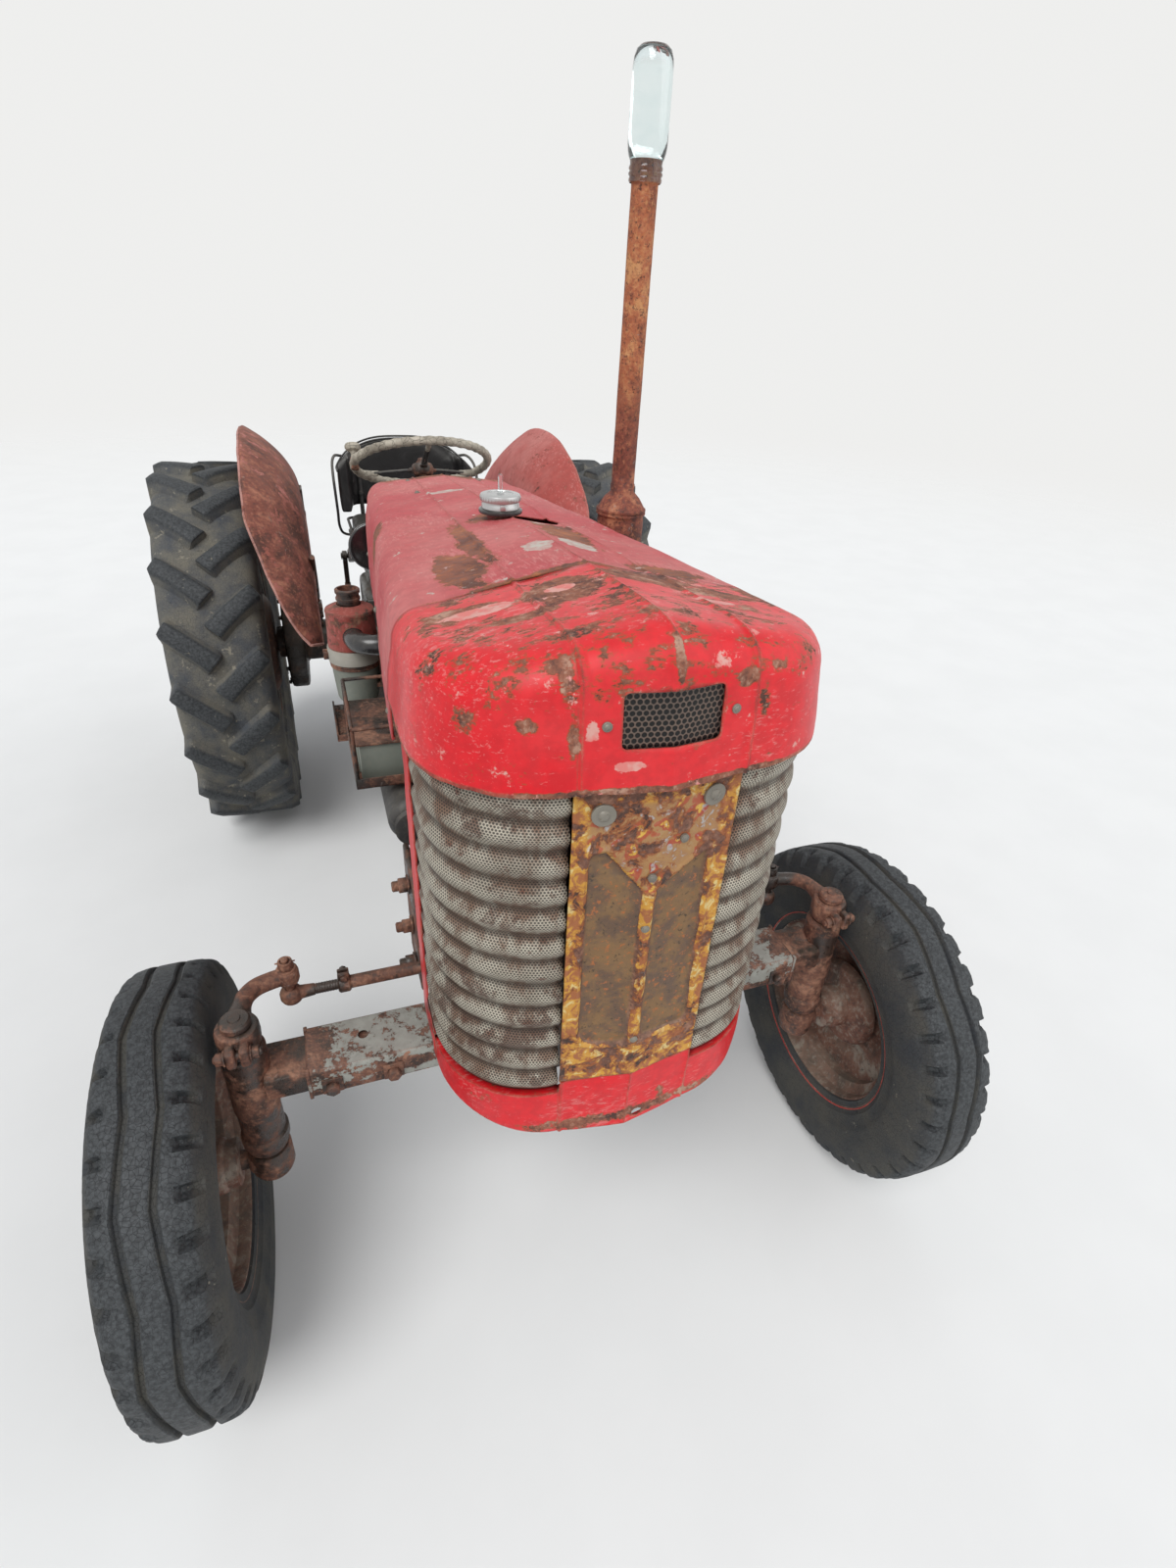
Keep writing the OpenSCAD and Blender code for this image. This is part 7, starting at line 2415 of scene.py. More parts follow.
class TRACTOR_OT_dash(bpy.types.Operator):
    """Dash plate with three dials behind the hood"""

    bl_idname = "tractor.dash"
    bl_label = "Dash"

    def execute(self, context):
        bm = bmesh.new()
        block(bm, (-170, 1125, 900), (170, 1131, 1281), 2)
        block(bm, (-130, 1125, 860), (130, 1131, 902), 2)
        block(bm, (-198, 1125, 1140), (198, 1131, 1180), 2)
        for s in (1, -1):
            block(bm, (s * 168 - 3, 1118, 902), (s * 168 + 3, 1138, 1279), 2)
            bolt(bm, (s * 186, 1131, 1160), BACK, 14, 5)
        block(bm, (-170, 1120, 1276), (170, 1140, 1283), 3)
        piece("dash_plate", bm, "dash", "faded_red", ["dash_panel"])
        for number, x in enumerate((-110, 0, 110)):
            at = Matrix.Translation((x, 1131, 1219)) @ about(-pi / 2, "X")
            bm = bmesh.new()
            spin_part(bm, [(32, 0), (38, 0), (38, 8), (36, 11), (33, 11.5), (32, 9)], at, 48, 0,
                      close=True)
            spin_part(bm, [(0, 5), (33, 5), (33, 3), (0, 3)], at, 48, 1)
            for i in range(11):
                spin = at @ about(radians(-120 + 24 * i))
                block(bm, (-0.6, 22, 4.9), (0.6, 28, 5.6), 0, 2, spin)
            spin = at @ about(radians(-100 + 70 * number))
            block(bm, (-0.9, -5, 6), (0.9, 24, 7), 0, 2, spin)
            spin_part(bm, [(0, 8), (4, 8), (4, 5), (0, 5)], at, 20, 2)
            piece(f"dial_{number + 1}", bm, "zinc_plain gauge dark", "bright_metal")
        bm = bmesh.new()
        for x, z in ((-60, 1120), (60, 1120), (0, 1080)):
            bar(bm, (x, 1131, z), (x, 1138, z), 26)
            bar(bm, (x, 1136, z), (x, 1156, z), 12, 16)
        block(bm, (-44, 1131, 1010), (44, 1140, 1050), 4)
        piece("dash_knobs", bm, "dark", "black_paint")
        return {"FINISHED"}


class TRACTOR_OT_exhaust(bpy.types.Operator):
    """Rusty stack with its muffler, collars and the upturned jar"""

    bl_idname = "tractor.exhaust"
    bl_label = "Exhaust and jar"

    def execute(self, context):
        bm = bmesh.new()
        x, y = STACK_X, STACK_Y
        profile = [(0, 1042), (26, 1042), (26, 1084), (30, 1088), (44, 1094), (49, 1102),
                   (50, 1112), (50, 1180), (51.5, 1183), (51.5, 1189), (50, 1192), (50, 1318),
                   (49, 1328), (50, 1330), (53, 1332), (53, 1336), (51, 1337.5), (53, 1339),
                   (53, 1343), (50, 1345), (46, 1352), (38, 1364), (29, 1373), (25.5, 1377),
                   (25.5, 1392), (24, 1394)]
        lathe(bm, profile + [(24, z) for z in steps(1420, 1929, 24)] + [(20.5, 1930), (20.5, 1900),
                                                                       (0, 1900)],
              (x, y, 0), steps=56)
        bmesh.ops.remove_doubles(bm, verts=bm.verts, dist=0.01)
        for v in bm.verts:
            flat = Vector((v.co.x - x, v.co.y - y, 0.0))
            if flat.length > 22 and v.co.z > 1096:
                rough_by = 0.9 if v.co.z < 1380 else 0.5
                v.co += flat.normalized() * rough_by * noise.noise(v.co * 0.06)
        # seam down the pipe
        tube(bm, [(x + 23.4, y + 3, z) for z in steps(1396, 1926, 12)], 3.4, 8)
        piece("exhaust_pipe", bm, "stack", "rusty_steel", ["exhaust_stack"], angle=50)
        bm = bmesh.new()
        at = Matrix.Translation((x, y, 0))
        outer = [(27.6, 1896), (29.4, 1898), (29.4, 1902), (28, 1904), (30.2, 1907), (30.2, 1910),
                 (28.2, 1912.5), (30, 1915), (30, 1918), (28.4, 1920), (28.8, 1926), (31.4, 1932),
                 (33.8, 1940), (34.8, 1950), (35, 1964), (34.8, 2030), (34.4, 2046), (33, 2060),
                 (29.4, 2070), (23, 2075.6), (14, 2077.6), (8, 2076), (0, 2075)]
        inner = [(0, 2070), (12, 2071.6), (21, 2070), (27, 2064), (30, 2055), (31.2, 2044),
                 (31.6, 2030), (31.8, 1964), (31.4, 1950), (30, 1941), (27.4, 1934), (25.8, 1927),
                 (25.4, 1916), (25.4, 1904), (25.6, 1897)]
        spin_part(bm, outer + inner, at, 64, close=False)
        piece("rain_jar_glass", bm, "glass", "clear_jar", ["rain_jar"], angle=50)
        return {"FINISHED"}


class TRACTOR_OT_air_cleaner(bpy.types.Operator):
    """Oil bath air cleaner with its clamp band, bowl and intake hose"""

    bl_idname = "tractor.air_cleaner"
    bl_label = "Air cleaner and hose"

    def execute(self, context):
        at = Matrix.Translation((CLEANER_X, CLEANER_Y, 0))
        bm = bmesh.new()
        spin_part(bm, [(56.4, 1003), (57, 1008), (55.6, 1040), (54.4, 1070), (54.6, 1084),
                       (55.6, 1088), (54, 1092), (44, 1097), (33, 1101), (27, 1103)], at, 72, 0)
        spin_part(bm, [(24, 1102), (25, 1104), (25, 1112), (27.4, 1113.5), (27.4, 1118),
                       (25, 1119.5), (25, 1128), (27.8, 1129.5), (27.8, 1136), (25.4, 1138),
                       (21, 1138), (20, 1120), (0, 1118)], at, 48, 1)
        spin_part(bm, [(54, 1004), (59.4, 1004), (60, 1001), (60, 974), (59, 969.5), (56, 968.4)],
                  at, 72, 2)
        spin_part(bm, [(54.5, 968.5), (57.4, 967.5), (58, 965), (57.4, 962.5), (55.4, 961.5),
                       (57, 959.8), (57, 956.6), (54.6, 955)], at, 72, 1)
        spin_part(bm, [(54.8, 956), (54, 950), (51.8, 920), (49.6, 890), (48.4, 878), (46, 871),
                       (41, 868.4), (20, 869.6), (0, 870)], at, 72, 3)
        # clamp ears and bracket
        for side in (-1, 1):
            block(bm, (-60 - 10, side * 9 - 3, 975), (-60 + 4, side * 9 + 3, 993), 1.5, 1, at)
        bolt(bm, (CLEANER_X - 65, CLEANER_Y - 14, 984), BACK, 10, 30, 0, mat=1)
        block(bm, (-240, 802, 900), (-135, 832, 911), 3, 1)
        block(bm, (-226, 800, 900), (-218, 834, 1000), 3, 1)
        piece("air_cleaner_shell", bm, "cleaner rust pale_band bowl", "rusty_steel",
              ["air_cleaner"], angle=40)
        bm = bmesh.new()
        path = [(-278, 781, 1040)]
        path += [(-228 - 50 * cos(radians(a)), 774 - 50 * sin(radians(a)), 1040)
                 for a in steps(0, 90, 12)]
        path += [(-206, 724, 1040), (-180, 724, 1040), (-151, 724, 1040)]
        tube(bm, path, 46, 28)
        tube(bm, path[:1] + [(-278, 774, 1040)], 48, 28)
        for x in (-166, -158):
            lathe(bm, [(23, -2), (24.6, -2), (24.6, 2), (23, 2)], (x, 724, 1040), LEFT, 28)
        piece("intake_elbow", bm, "hose", "black_rubber", ["intake_hose"], angle=50)
        return {"FINISHED"}


class TRACTOR_OT_side_fittings(bpy.types.Operator):
    """Battery box in its rod frame, and the black side lamp"""

    bl_idname = "tractor.side_fittings"
    bl_label = "Battery box and lamp"

    def execute(self, context):
        bm = bmesh.new()
        block(bm, (-320, 450, 838), (-180, 700, 842), 1.5)
        for x in (-320, -183):
            block(bm, (x, 450, 838), (x + 3, 700, 862), 1.5)
        for y in (450, 697):
            block(bm, (-320, y, 838), (-180, y + 3, 862), 1.5)
        block(bm, (-186, 560, 838), (-150, 600, 846), 2)
        for x in (-316, -184):
            for y in (454, 696):
                tube(bm, smoothed([(x, y, 846), (x, y, 920), (x, y, 972)], 4), 8, 10)
            tube(bm, [(x, 454, 975), (x, 580, 976), (x, 696, 975)], 8, 10)
        for y in (454, 696):
            tube(bm, [(-316, y, 975), (-250, y, 976), (-184, y, 975)], 8, 10)
        block(bm, (-312, 470, 926), (-188, 682, 931), 2)
        piece("battery_frame", bm, "rust", "rusty_steel", ["battery_tray"])
        bm = bmesh.new()
        block(bm, (-306, 476, 843), (-194, 676, 928), 5)
        for x in (-306, -194):
            for i in range(5):
                y = 500 + 38 * i
                block(bm, (x - 3, y, 850), (x + 3, y + 10, 920), 1.5)
        piece("battery_case", bm, "bowl", "castings")
        bm = bmesh.new()
        at = Matrix.Translation((-186, 1160, 1137)) @ about(-pi / 2, "X")
        spin_part(bm, [(0, 2), (50, 2), (56, -1), (60, 0), (62, 3), (62, 9), (60, 12), (58.6, 14),
                       (57.4, 22), (54, 32), (47, 41), (38, 47), (26, 51), (14, 52.6), (0, 53)],
                  at, 64)
        for i in range(3):
            spin = at @ about(tau * i / 3)
            bolt(bm, spin @ Vector((60, 0, 10)), BACK, 7, 3, 0)
        block(bm, (-169, 1132, 1130), (-150, 1162, 1145), 3)
        piece("side_lamp_shell", bm, "enamel", "black_paint", ["side_lamp"], angle=50)
        return {"FINISHED"}


class TRACTOR_OT_fuel_cap(bpy.types.Operator):
    """Two-step silver filler cap on a black gasket, with a clear vial"""

    bl_idname = "tractor.fuel_cap"
    bl_label = "Fuel cap"

    def execute(self, context):
        low, high = node_box("fuel_cap")
        at = Matrix.Translation(((low.x + high.x) / 2, (low.y + high.y) / 2, low.z))
        bm = bmesh.new()
        spin_part(bm, [(25, 0), (39, 0), (39.5, 2), (39, 5), (36, 7), (34, 7.4)], at, 64, 0)
        spin_part(bm, [(33, 6.4), (34, 8), (33.6, 14), (32, 17), (32, 19.6)], at, 64, 1)
        spin_part(bm, [(31, 19), (35.4, 19.6), (36, 21), (36, 28.6), (35.2, 30.4), (33, 31.4),
                       (24, 31.8), (23, 30.6), (14, 30.4), (0, 30.6)], at, 64, 1)
        for i in range(36):
            spin = at @ about(tau * i / 36)
            block(bm, (35.6, -1.1, 21.4), (36.6, 1.1, 28.2), 0.4, 1, spin)
        for a in (0.4, 2.5, 4.6):
            spin = at @ about(a)
            block(bm, (30, -5, 8), (35, 5, 18), 1.5, 1, spin)
        spin_part(bm, [(6, 30), (6, 32), (4, 33), (0, 33)], at, 24, 1)
        piece("fuel_cap_steps", bm, "hose bright", "bright_metal", ["fuel_cap"], angle=35)
        bm = bmesh.new()
        spin_part(bm, [(0, 32), (4.2, 32), (4.4, 60), (3.4, 63), (0, 64)], at, 24)
        piece("fuel_cap_vial", bm, "glass", "clear_jar")
        return {"FINISHED"}


def on_circle(at, r, angle, z):
    """A point on a circle round Z of a frame."""
    return at @ Vector((r * cos(angle), r * sin(angle), z))


def bolt_ring(bm, at, r, z, count, wide, tall, washer=1.35, first=0.0, up=1, turn=0.0):
    """Bolts round Z of a frame, on its height z; turn is how far each one stands turned."""
    for i in range(count):
        bolt(bm, on_circle(at, r, tau * (i + first) / count, z),
             at.to_3x3() @ Vector((0, 0, up)), wide, tall, washer, turn=(i + first) * turn)


def bolt_row(bm, a, b, count, axis, wide, tall):
    """Bolts at even distances from a to b, with their heads towards axis."""
    a, b = Vector(a), Vector(b)
    for i in range(count):
        bolt(bm, a.lerp(b, i / (count - 1)), axis, wide, tall, 1.3, turn=i * 1.3)


class TRACTOR_OT_bolster(bpy.types.Operator):
    """Front casting that holds the axle's pivot, the radiator and the side plates"""

    bl_idname = "tractor.bolster"
    bl_label = "Front bolster"

    def execute(self, context):
        bm = bmesh.new()
        block(bm, (-70, -90, 521), (70, -57, 646), 9, segments=3)
        block(bm, (-42, -90, 640), (42, -57, 744), 6)
        block(bm, (-60, 57, 500), (60, 82, 622), 6)
        block(bm, (-58, 78, 502), (58, 300, 618), 12, segments=3)
        block(bm, (-34, 90, 614), (34, 290, 640), 8)
        for x0, x1 in ((-194, -125), (125, 190)):
            block(bm, (x0, 276, 501), (x1, 359, 789), 12, segments=3)
        block(bm, (-130, 276, 501), (130, 290, 789), 6)
        block(bm, (-130, 276, 501), (130, 359, 548), 8)
        block(bm, (-190, -92, 741.5), (190, 310, 755), 5)
        for x, z in ((-150, 733), (0, 706), (150, 733)):
            block(bm, (x - 6, -40, z), (x + 6, 300, 743), 3)
        for y, z in ((-84, 733), (304, 715)):
            block(bm, (-186, y - 5, z), (186, y + 5, 743), 3)
        bar(bm, (0, -100, AXLE_Z), (0, 92, AXLE_Z), 44, round_by=3, steps=36)
        bar(bm, (0, -97, AXLE_Z), (0, -90, AXLE_Z), 66, round_by=2, steps=36)
        bar(bm, (0, 0, 622), (0, 0, 744), 31.6, round_by=1, steps=32)
        bar(bm, (0, 0, 695), (0, 0, 744), 50, round_by=3, steps=36)
        bar(bm, (0, 0, 621), (0, 0, 637), 50, round_by=3, steps=36)
        # crank pulley in the hollow
        lathe(bm, [(0, -4), (20, -4), (22, 0), (54, 2), (64, 0), (64, 6), (56, 12), (64, 18),
                   (64, 24), (50, 24), (22, 26), (22, 40), (0, 40)], (0, 300, 620), BACK, 48)
        piece("bolster_casting", bm, "iron", "castings", ["front_bolster"])
        # side plate with three studs beside the grille
        bm = bmesh.new()
        block(bm, (-250, 182, 502), (-238, 328, 779), 6, segments=3)
        block(bm, (-244, 190, 512), (-192, 200, 770), 3)
        block(bm, (-244, 310, 512), (-192, 320, 770), 3)
        for z in (540, 640, 745):
            bar(bm, (-285, 235, z), (-240, 235, z), 20, round_by=2, steps=20)
            bolt(bm, (-252, 235, z), RIGHT, 31, 17, 1.25, turn=z)
            for i in range(5):
                bar(bm, (-271 - 2.6 * i, 235, z), (-272.6 - 2.6 * i, 235, z), 21.4, round_by=0.5,
                    steps=14)
        piece("bolster_side_plate", bm, "rust", "rusty_steel")
        return {"FINISHED"}


class TRACTOR_OT_radiator(bpy.types.Operator):
    """Radiator with its finned core, tanks, neck and shutter frame"""

    bl_idname = "tractor.radiator"
    bl_label = "Radiator"

    def execute(self, context):
        bm = bmesh.new()
        block(bm, (-204, 62, 755.5), (204, 129, 800), 8, segments=3)
        block(bm, (-200, 57, 1206), (200, 133, 1262), 14, segments=3)
        for x in (-199, 187):
            block(bm, (x, 61, 790), (x + 12, 122, 1212), 3)
        for y in (61, 116):
            block(bm, (-196, y, 798), (196, y + 5, 812), 2)
        lathe(bm, [(0, 1258), (30, 1258), (30, 1284), (33, 1286), (33, 1298), (30, 1300),
                   (12, 1300), (0, 1299)], (-60, 96, 0), UP, 40)
        bar(bm, (60, 125, 1232), (60, 190, 1232), 48, round_by=2, steps=32)
        bar(bm, (60, 164, 1232), (60, 172, 1232), 53, round_by=1, steps=32)
        bolt_row(bm, (-180, 61, 800), (180, 61, 800), 7, AHEAD, 10, 4)
        piece("radiator_tanks", bm, "dark", "black_paint", ["radiator"])
        bm = bmesh.new()
        block(bm, (-188, 70, 798), (188, 112, 1208), 0)
        for i in range(62):
            x = -186 + 6.1 * i
            block(bm, (x - 0.7, 64, 800), (x + 0.7, 118, 1207), 0)
        for i in range(24):
            z = 812 + 16.6 * i
            block(bm, (-188, 66, z - 1), (188, 116, z + 1), 0)
        piece("radiator_core", bm, "dark", "black_paint")
        return {"FINISHED"}


class TRACTOR_OT_fan(bpy.types.Operator):
    """Six-bladed fan with its pulley"""

    bl_idname = "tractor.fan"
    bl_label = "Fan"

    def execute(self, context):
        bm = bmesh.new()
        at = Matrix.Translation((0, 226, FAN_Z))
        for i in range(6):
            turn = at @ about(radians(60 * i), "Y")
            grid_part = bmesh.new()
            across, along = steps(-1, 1, 8), steps(0, 1, 10)

            def blade(u, v):
                wide = 26 * (0.72 + 0.28 * v)
                tilt = radians(32 - 8 * v)
                x = u * wide
                return Vector((x * cos(tilt), x * sin(tilt) + 3 * (1 - u * u),
                               36 + 149 * v - 7 * u * u * v))

            grid(grid_part, across, along, blade)
            bmesh.ops.solidify(grid_part, geom=grid_part.faces[:], thickness=3.0)
            join(bm, grid_part, 0, turn)
            block(bm, (-11, -4, 30), (11, 5, 70), 2, 0, turn)
            for z in (48, 62):
                bolt(bm, turn @ Vector((0, -4, z)), AHEAD, 9, 4, 1.3)
        lathe(bm, [(12.6, -23), (34, -23), (40, -20), (45, -14), (45, 16), (44, 20), (12.6, 20)],
              (0, 228, FAN_Z), BACK, 48)
        lathe(bm, [(12.6, 18), (58, 18), (60, 20), (51, 26.5), (60, 33), (58, 36), (12.6, 36)],
              (0, 226, FAN_Z), BACK, 56)
        piece("fan_blades", bm, "fan", "rusty_steel", ["fan"], body="cooling_fan")
        return {"FINISHED"}


class TRACTOR_OT_engine(bpy.types.Operator):
    """Engine block with its sump, covers, filter, starter, belt and core plugs"""

    bl_idname = "tractor.engine"
    bl_label = "Engine"

    def execute(self, context):
        bm = bmesh.new()
        block(bm, (-149, 360, 502), (149, 996, 878), 12, segments=3)
        block(bm, (-154, 361, 846), (154, 980, 879), 5)
        block(bm, (-156, 361, 498), (156, 980, 522), 5)
        block(bm, (-174, 940, 442), (174, 1000, 879), 10, segments=3)
        # ribs on both sides between the bores
        for s in (1, -1):
            for y in (410, 520, 640, 760, 880):
                block(bm, (s * 146, y - 7, 526), (s * 155, y + 7, 850), 3)
            for y in (466, 582, 700, 820):
                bar(bm, (s * 147, y, 790), (s * 153, y, 790), 44, round_by=2.5, steps=32)
                bar(bm, (s * 147, y, 640), (s * 152, y, 640), 30, round_by=2, steps=28)
            bolt_row(bm, (s * 160, 380, 522), (s * 160, 960, 522), 9, UP, 13, 6)
        # front cover with its bolts, spindle bracket and crank pulley
        block(bm, (-119, 345, 702), (119, 364, 902), 8, segments=3)
        block(bm, (-105, 347, 520), (105, 364, 710), 8, segments=3)
        for x in (-106, 106):
            bolt_row(bm, (x, 345, 712), (x, 345, 890), 4, AHEAD, 12, 6)
        bar(bm, (0, 201, FAN_Z), (0, 364, FAN_Z), 24.6, round_by=1)
        block(bm, (-44, 302, 880), (44, 379, 1009), 14, segments=3)
        bar(bm, (0, 296, FAN_Z), (0, 312, FAN_Z), 52, round_by=4, steps=32)
        lathe(bm, [(0, -62), (18, -62), (20, -58), (58, -56), (64.6, -54), (58, -48), (64.6, -42),
                   (60, -38), (30, -34), (26, -8), (0, -6)], (0, 364, 620), BACK, 56)
        # covers and the filter's foot on the right side
        block(bm, (-158, 480, 622), (-148, 680, 800), 8, segments=3)
        for z in (634, 788):
            bolt_row(bm, (-158, 492, z), (-158, 668, z), 4, RIGHT, 12, 6)
        block(bm, (-190, 702, 700), (-140, 818, 740), 10, segments=3)
        # pump on the left side, with its pipes
        block(bm, (148, 472, 642), (196, 658, 758), 12, segments=3)
        for i in range(4):
            y = 500 + 44 * i
            bar(bm, (178, y, 752), (178, y, 782), 20, round_by=2, steps=20)
            bolt(bm, (178, y, 780), UP, 15, 8, 0)
            tube(bm, smoothed([(178, y, 786), (176, y + 2, 820), (160, y + 30 * i - 20, 850),
                               (152, 470 + 130 * i, 876)], 6), 7, 8)
        piece("engine_casting", bm, "iron", "castings", ["engine_block"])
        bm = bmesh.new()
        block(bm, (-126, 380, 412), (126, 968, 502), 22, segments=4)
        block(bm, (-140, 372, 494), (140, 976, 505), 3)
        bar(bm, (0, 620, 404), (0, 620, 416), 34, round_by=3)
        lathe(bm, [(0, 560), (34, 560), (40, 563), (42, 570), (42, 704), (40, 712), (34, 718),
                   (20, 720), (20, 724), (0, 724)], (-195, 760, 0), UP, 48)
        # starter with its solenoid
        lathe(bm, [(0, -220), (30, -220), (42, -216), (47.6, -206), (48, -150), (48, -60),
                   (44, -50), (40, -16), (0, -15)], (196, 1000, 560), BACK, 48)
        bar(bm, (196, 790, 626), (196, 900, 626), 40, round_by=4, steps=32)
        piece("engine_steel", bm, "dark", "black_paint")
        # belt round the lower half of the crank pulley
        bm = bmesh.new()
        belt = [(60 * cos(a), 313, 620 + 60 * sin(a))
                for a in steps(pi, tau, 16)]
        tube(bm, belt, 11, 8)
        piece("engine_belt", bm, "hose", "black_rubber")
        return {"FINISHED"}


class TRACTOR_OT_engine_top(bpy.types.Operator):
    """Cylinder head, rocker cover, injectors and the rusty manifold"""

    bl_idname = "tractor.engine_top"
    bl_label = "Head and manifold"

    def execute(self, context):
        bm = bmesh.new()
        block(bm, (-129, 401, 879), (129, 959, 974), 10, segments=3)
        block(bm, (-133, 398, 879), (133, 962, 886), 2)
        for s in (1, -1):
            bolt_row(bm, (s * 108, 424, 974), (s * 108, 936, 974), 9, UP, 18, 10)
        for i in range(4):
            y = 470 + 130 * i
            lathe(bm, [(0, 0), (15, 0), (15, 8), (11, 11), (11, 21), (7, 23), (0, 23)],
                  (-128, y, 925), RIGHT, 28)
            bar(bm, (-100, y, 972), (-100, y, 1004), 20, round_by=2, steps=20)
            bolt(bm, (-100, y, 1002), UP, 14, 8, 0)
        piece("head_casting", bm, "iron", "castings", ["cylinder_head"])
        bm = bmesh.new()
        block(bm, (-84, 420, 972), (69, 900, 1049), 22, segments=4)
        block(bm, (-90, 414, 972), (75, 906, 980), 2)
        for y in (500, 660, 820):
            bolt(bm, (-8, y, 1048), UP, 20, 10, 1.4)
        lathe(bm, [(0, 1046), (22, 1046), (22, 1052), (30, 1054), (30, 1068), (27, 1072),
                   (0, 1072)], (-10, 520, 0), UP, 32)
        block(bm, (-149, 690, 955), (-82, 760, 1064), 10, segments=3)
        bolt_row(bm, (-149, 702, 1050), (-149, 748, 1050), 2, RIGHT, 11, 5)
        piece("rocker_cover", bm, "tank", "faded_red")
        bm = bmesh.new()
        tube(bm, smoothed([(205, 446, 932), (205, 540, 933), (206, 643, 936), (205, 760, 933),
                           (205, 914, 932)], 6), 54, 24)
        for y in (480, 640, 800, 900):
            tube(bm, smoothed([(131, y, 932), (150, y, 932), (176, y, 933), (200, y + 6, 933)], 5),
                 42, 18)
            block(bm, (130, y - 34, 905), (140, y + 34, 960), 6)
            for z in (916, 949):
                bolt(bm, (140, y - 25, z), LEFT, 15, 8)
        tube(bm, smoothed([(210, 643, 938), (240, 643, 956), (272, 643, 976), (298, 643, 996),
                           (300, 643, 1020)], 6), 66, 24)
        block(bm, (262, 605, 1006), (338, 681, 1018), 5)
        lathe(bm, [(0, 1016), (40, 1016), (40, 1024), (33, 1028), (31, 1040), (0, 1040)],
              (300, 643, 0), UP, 40)
        for x in (272, 328):
            for y in (615, 671):
                bolt(bm, (x, y, 1016), UP, 14, 8)
        piece("manifold_casting", bm, "stack", "rusty_steel", ["exhaust_manifold"])
        # fuel tank under the hood
        bm = bmesh.new()
        block(bm, (-164, 351, 1131), (164, 1059, 1284), 34, segments=5)
        for y in (440, 920):
            block(bm, (-168, y, 1127), (168, y + 26, 1287), 30, segments=5)
        for y in (425, 880):
            block(bm, (-58, y, 1048), (58, y + 40, 1132), 4)
        bar(bm, (-13, 450, 1278), (-13, 450, 1405), 49, round_by=2, steps=36)
        piece("fuel_tank_shell", bm, "tank", "faded_red", ["fuel_tank"])
        bm = bmesh.new()
        lathe(bm, [(0, 0), (30, 0), (42, 4), (51, 14), (52, 22), (52, 180), (51, 188), (44, 196),
                   (30, 200), (0, 200)], (-215, 400, 770), BACK, 48)
        for i in range(10):
            spin = Matrix.Translation((-215, 600, 770)) @ about(-pi / 2, "X")
            spin = spin @ about(tau * i / 10)
            block(bm, (24, -4, -3), (44, 4, 0.5), 1, 0, spin)
        lathe(bm, [(8, -24), (30, -24), (42, -22), (34, -14), (42, -6), (40, 0), (8, 0)],
              (-215, 400, 770), BACK, 40)
        block(bm, (-200, 405, 760), (-152, 470, 800), 6)
        block(bm, (-190, 560, 724), (-150, 590, 760), 5)
        bolt(bm, (-215, 374, 770), AHEAD, 18, 2, 0)
        piece("generator_case", bm, "dark", "black_paint", ["generator"])
        return {"FINISHED"}


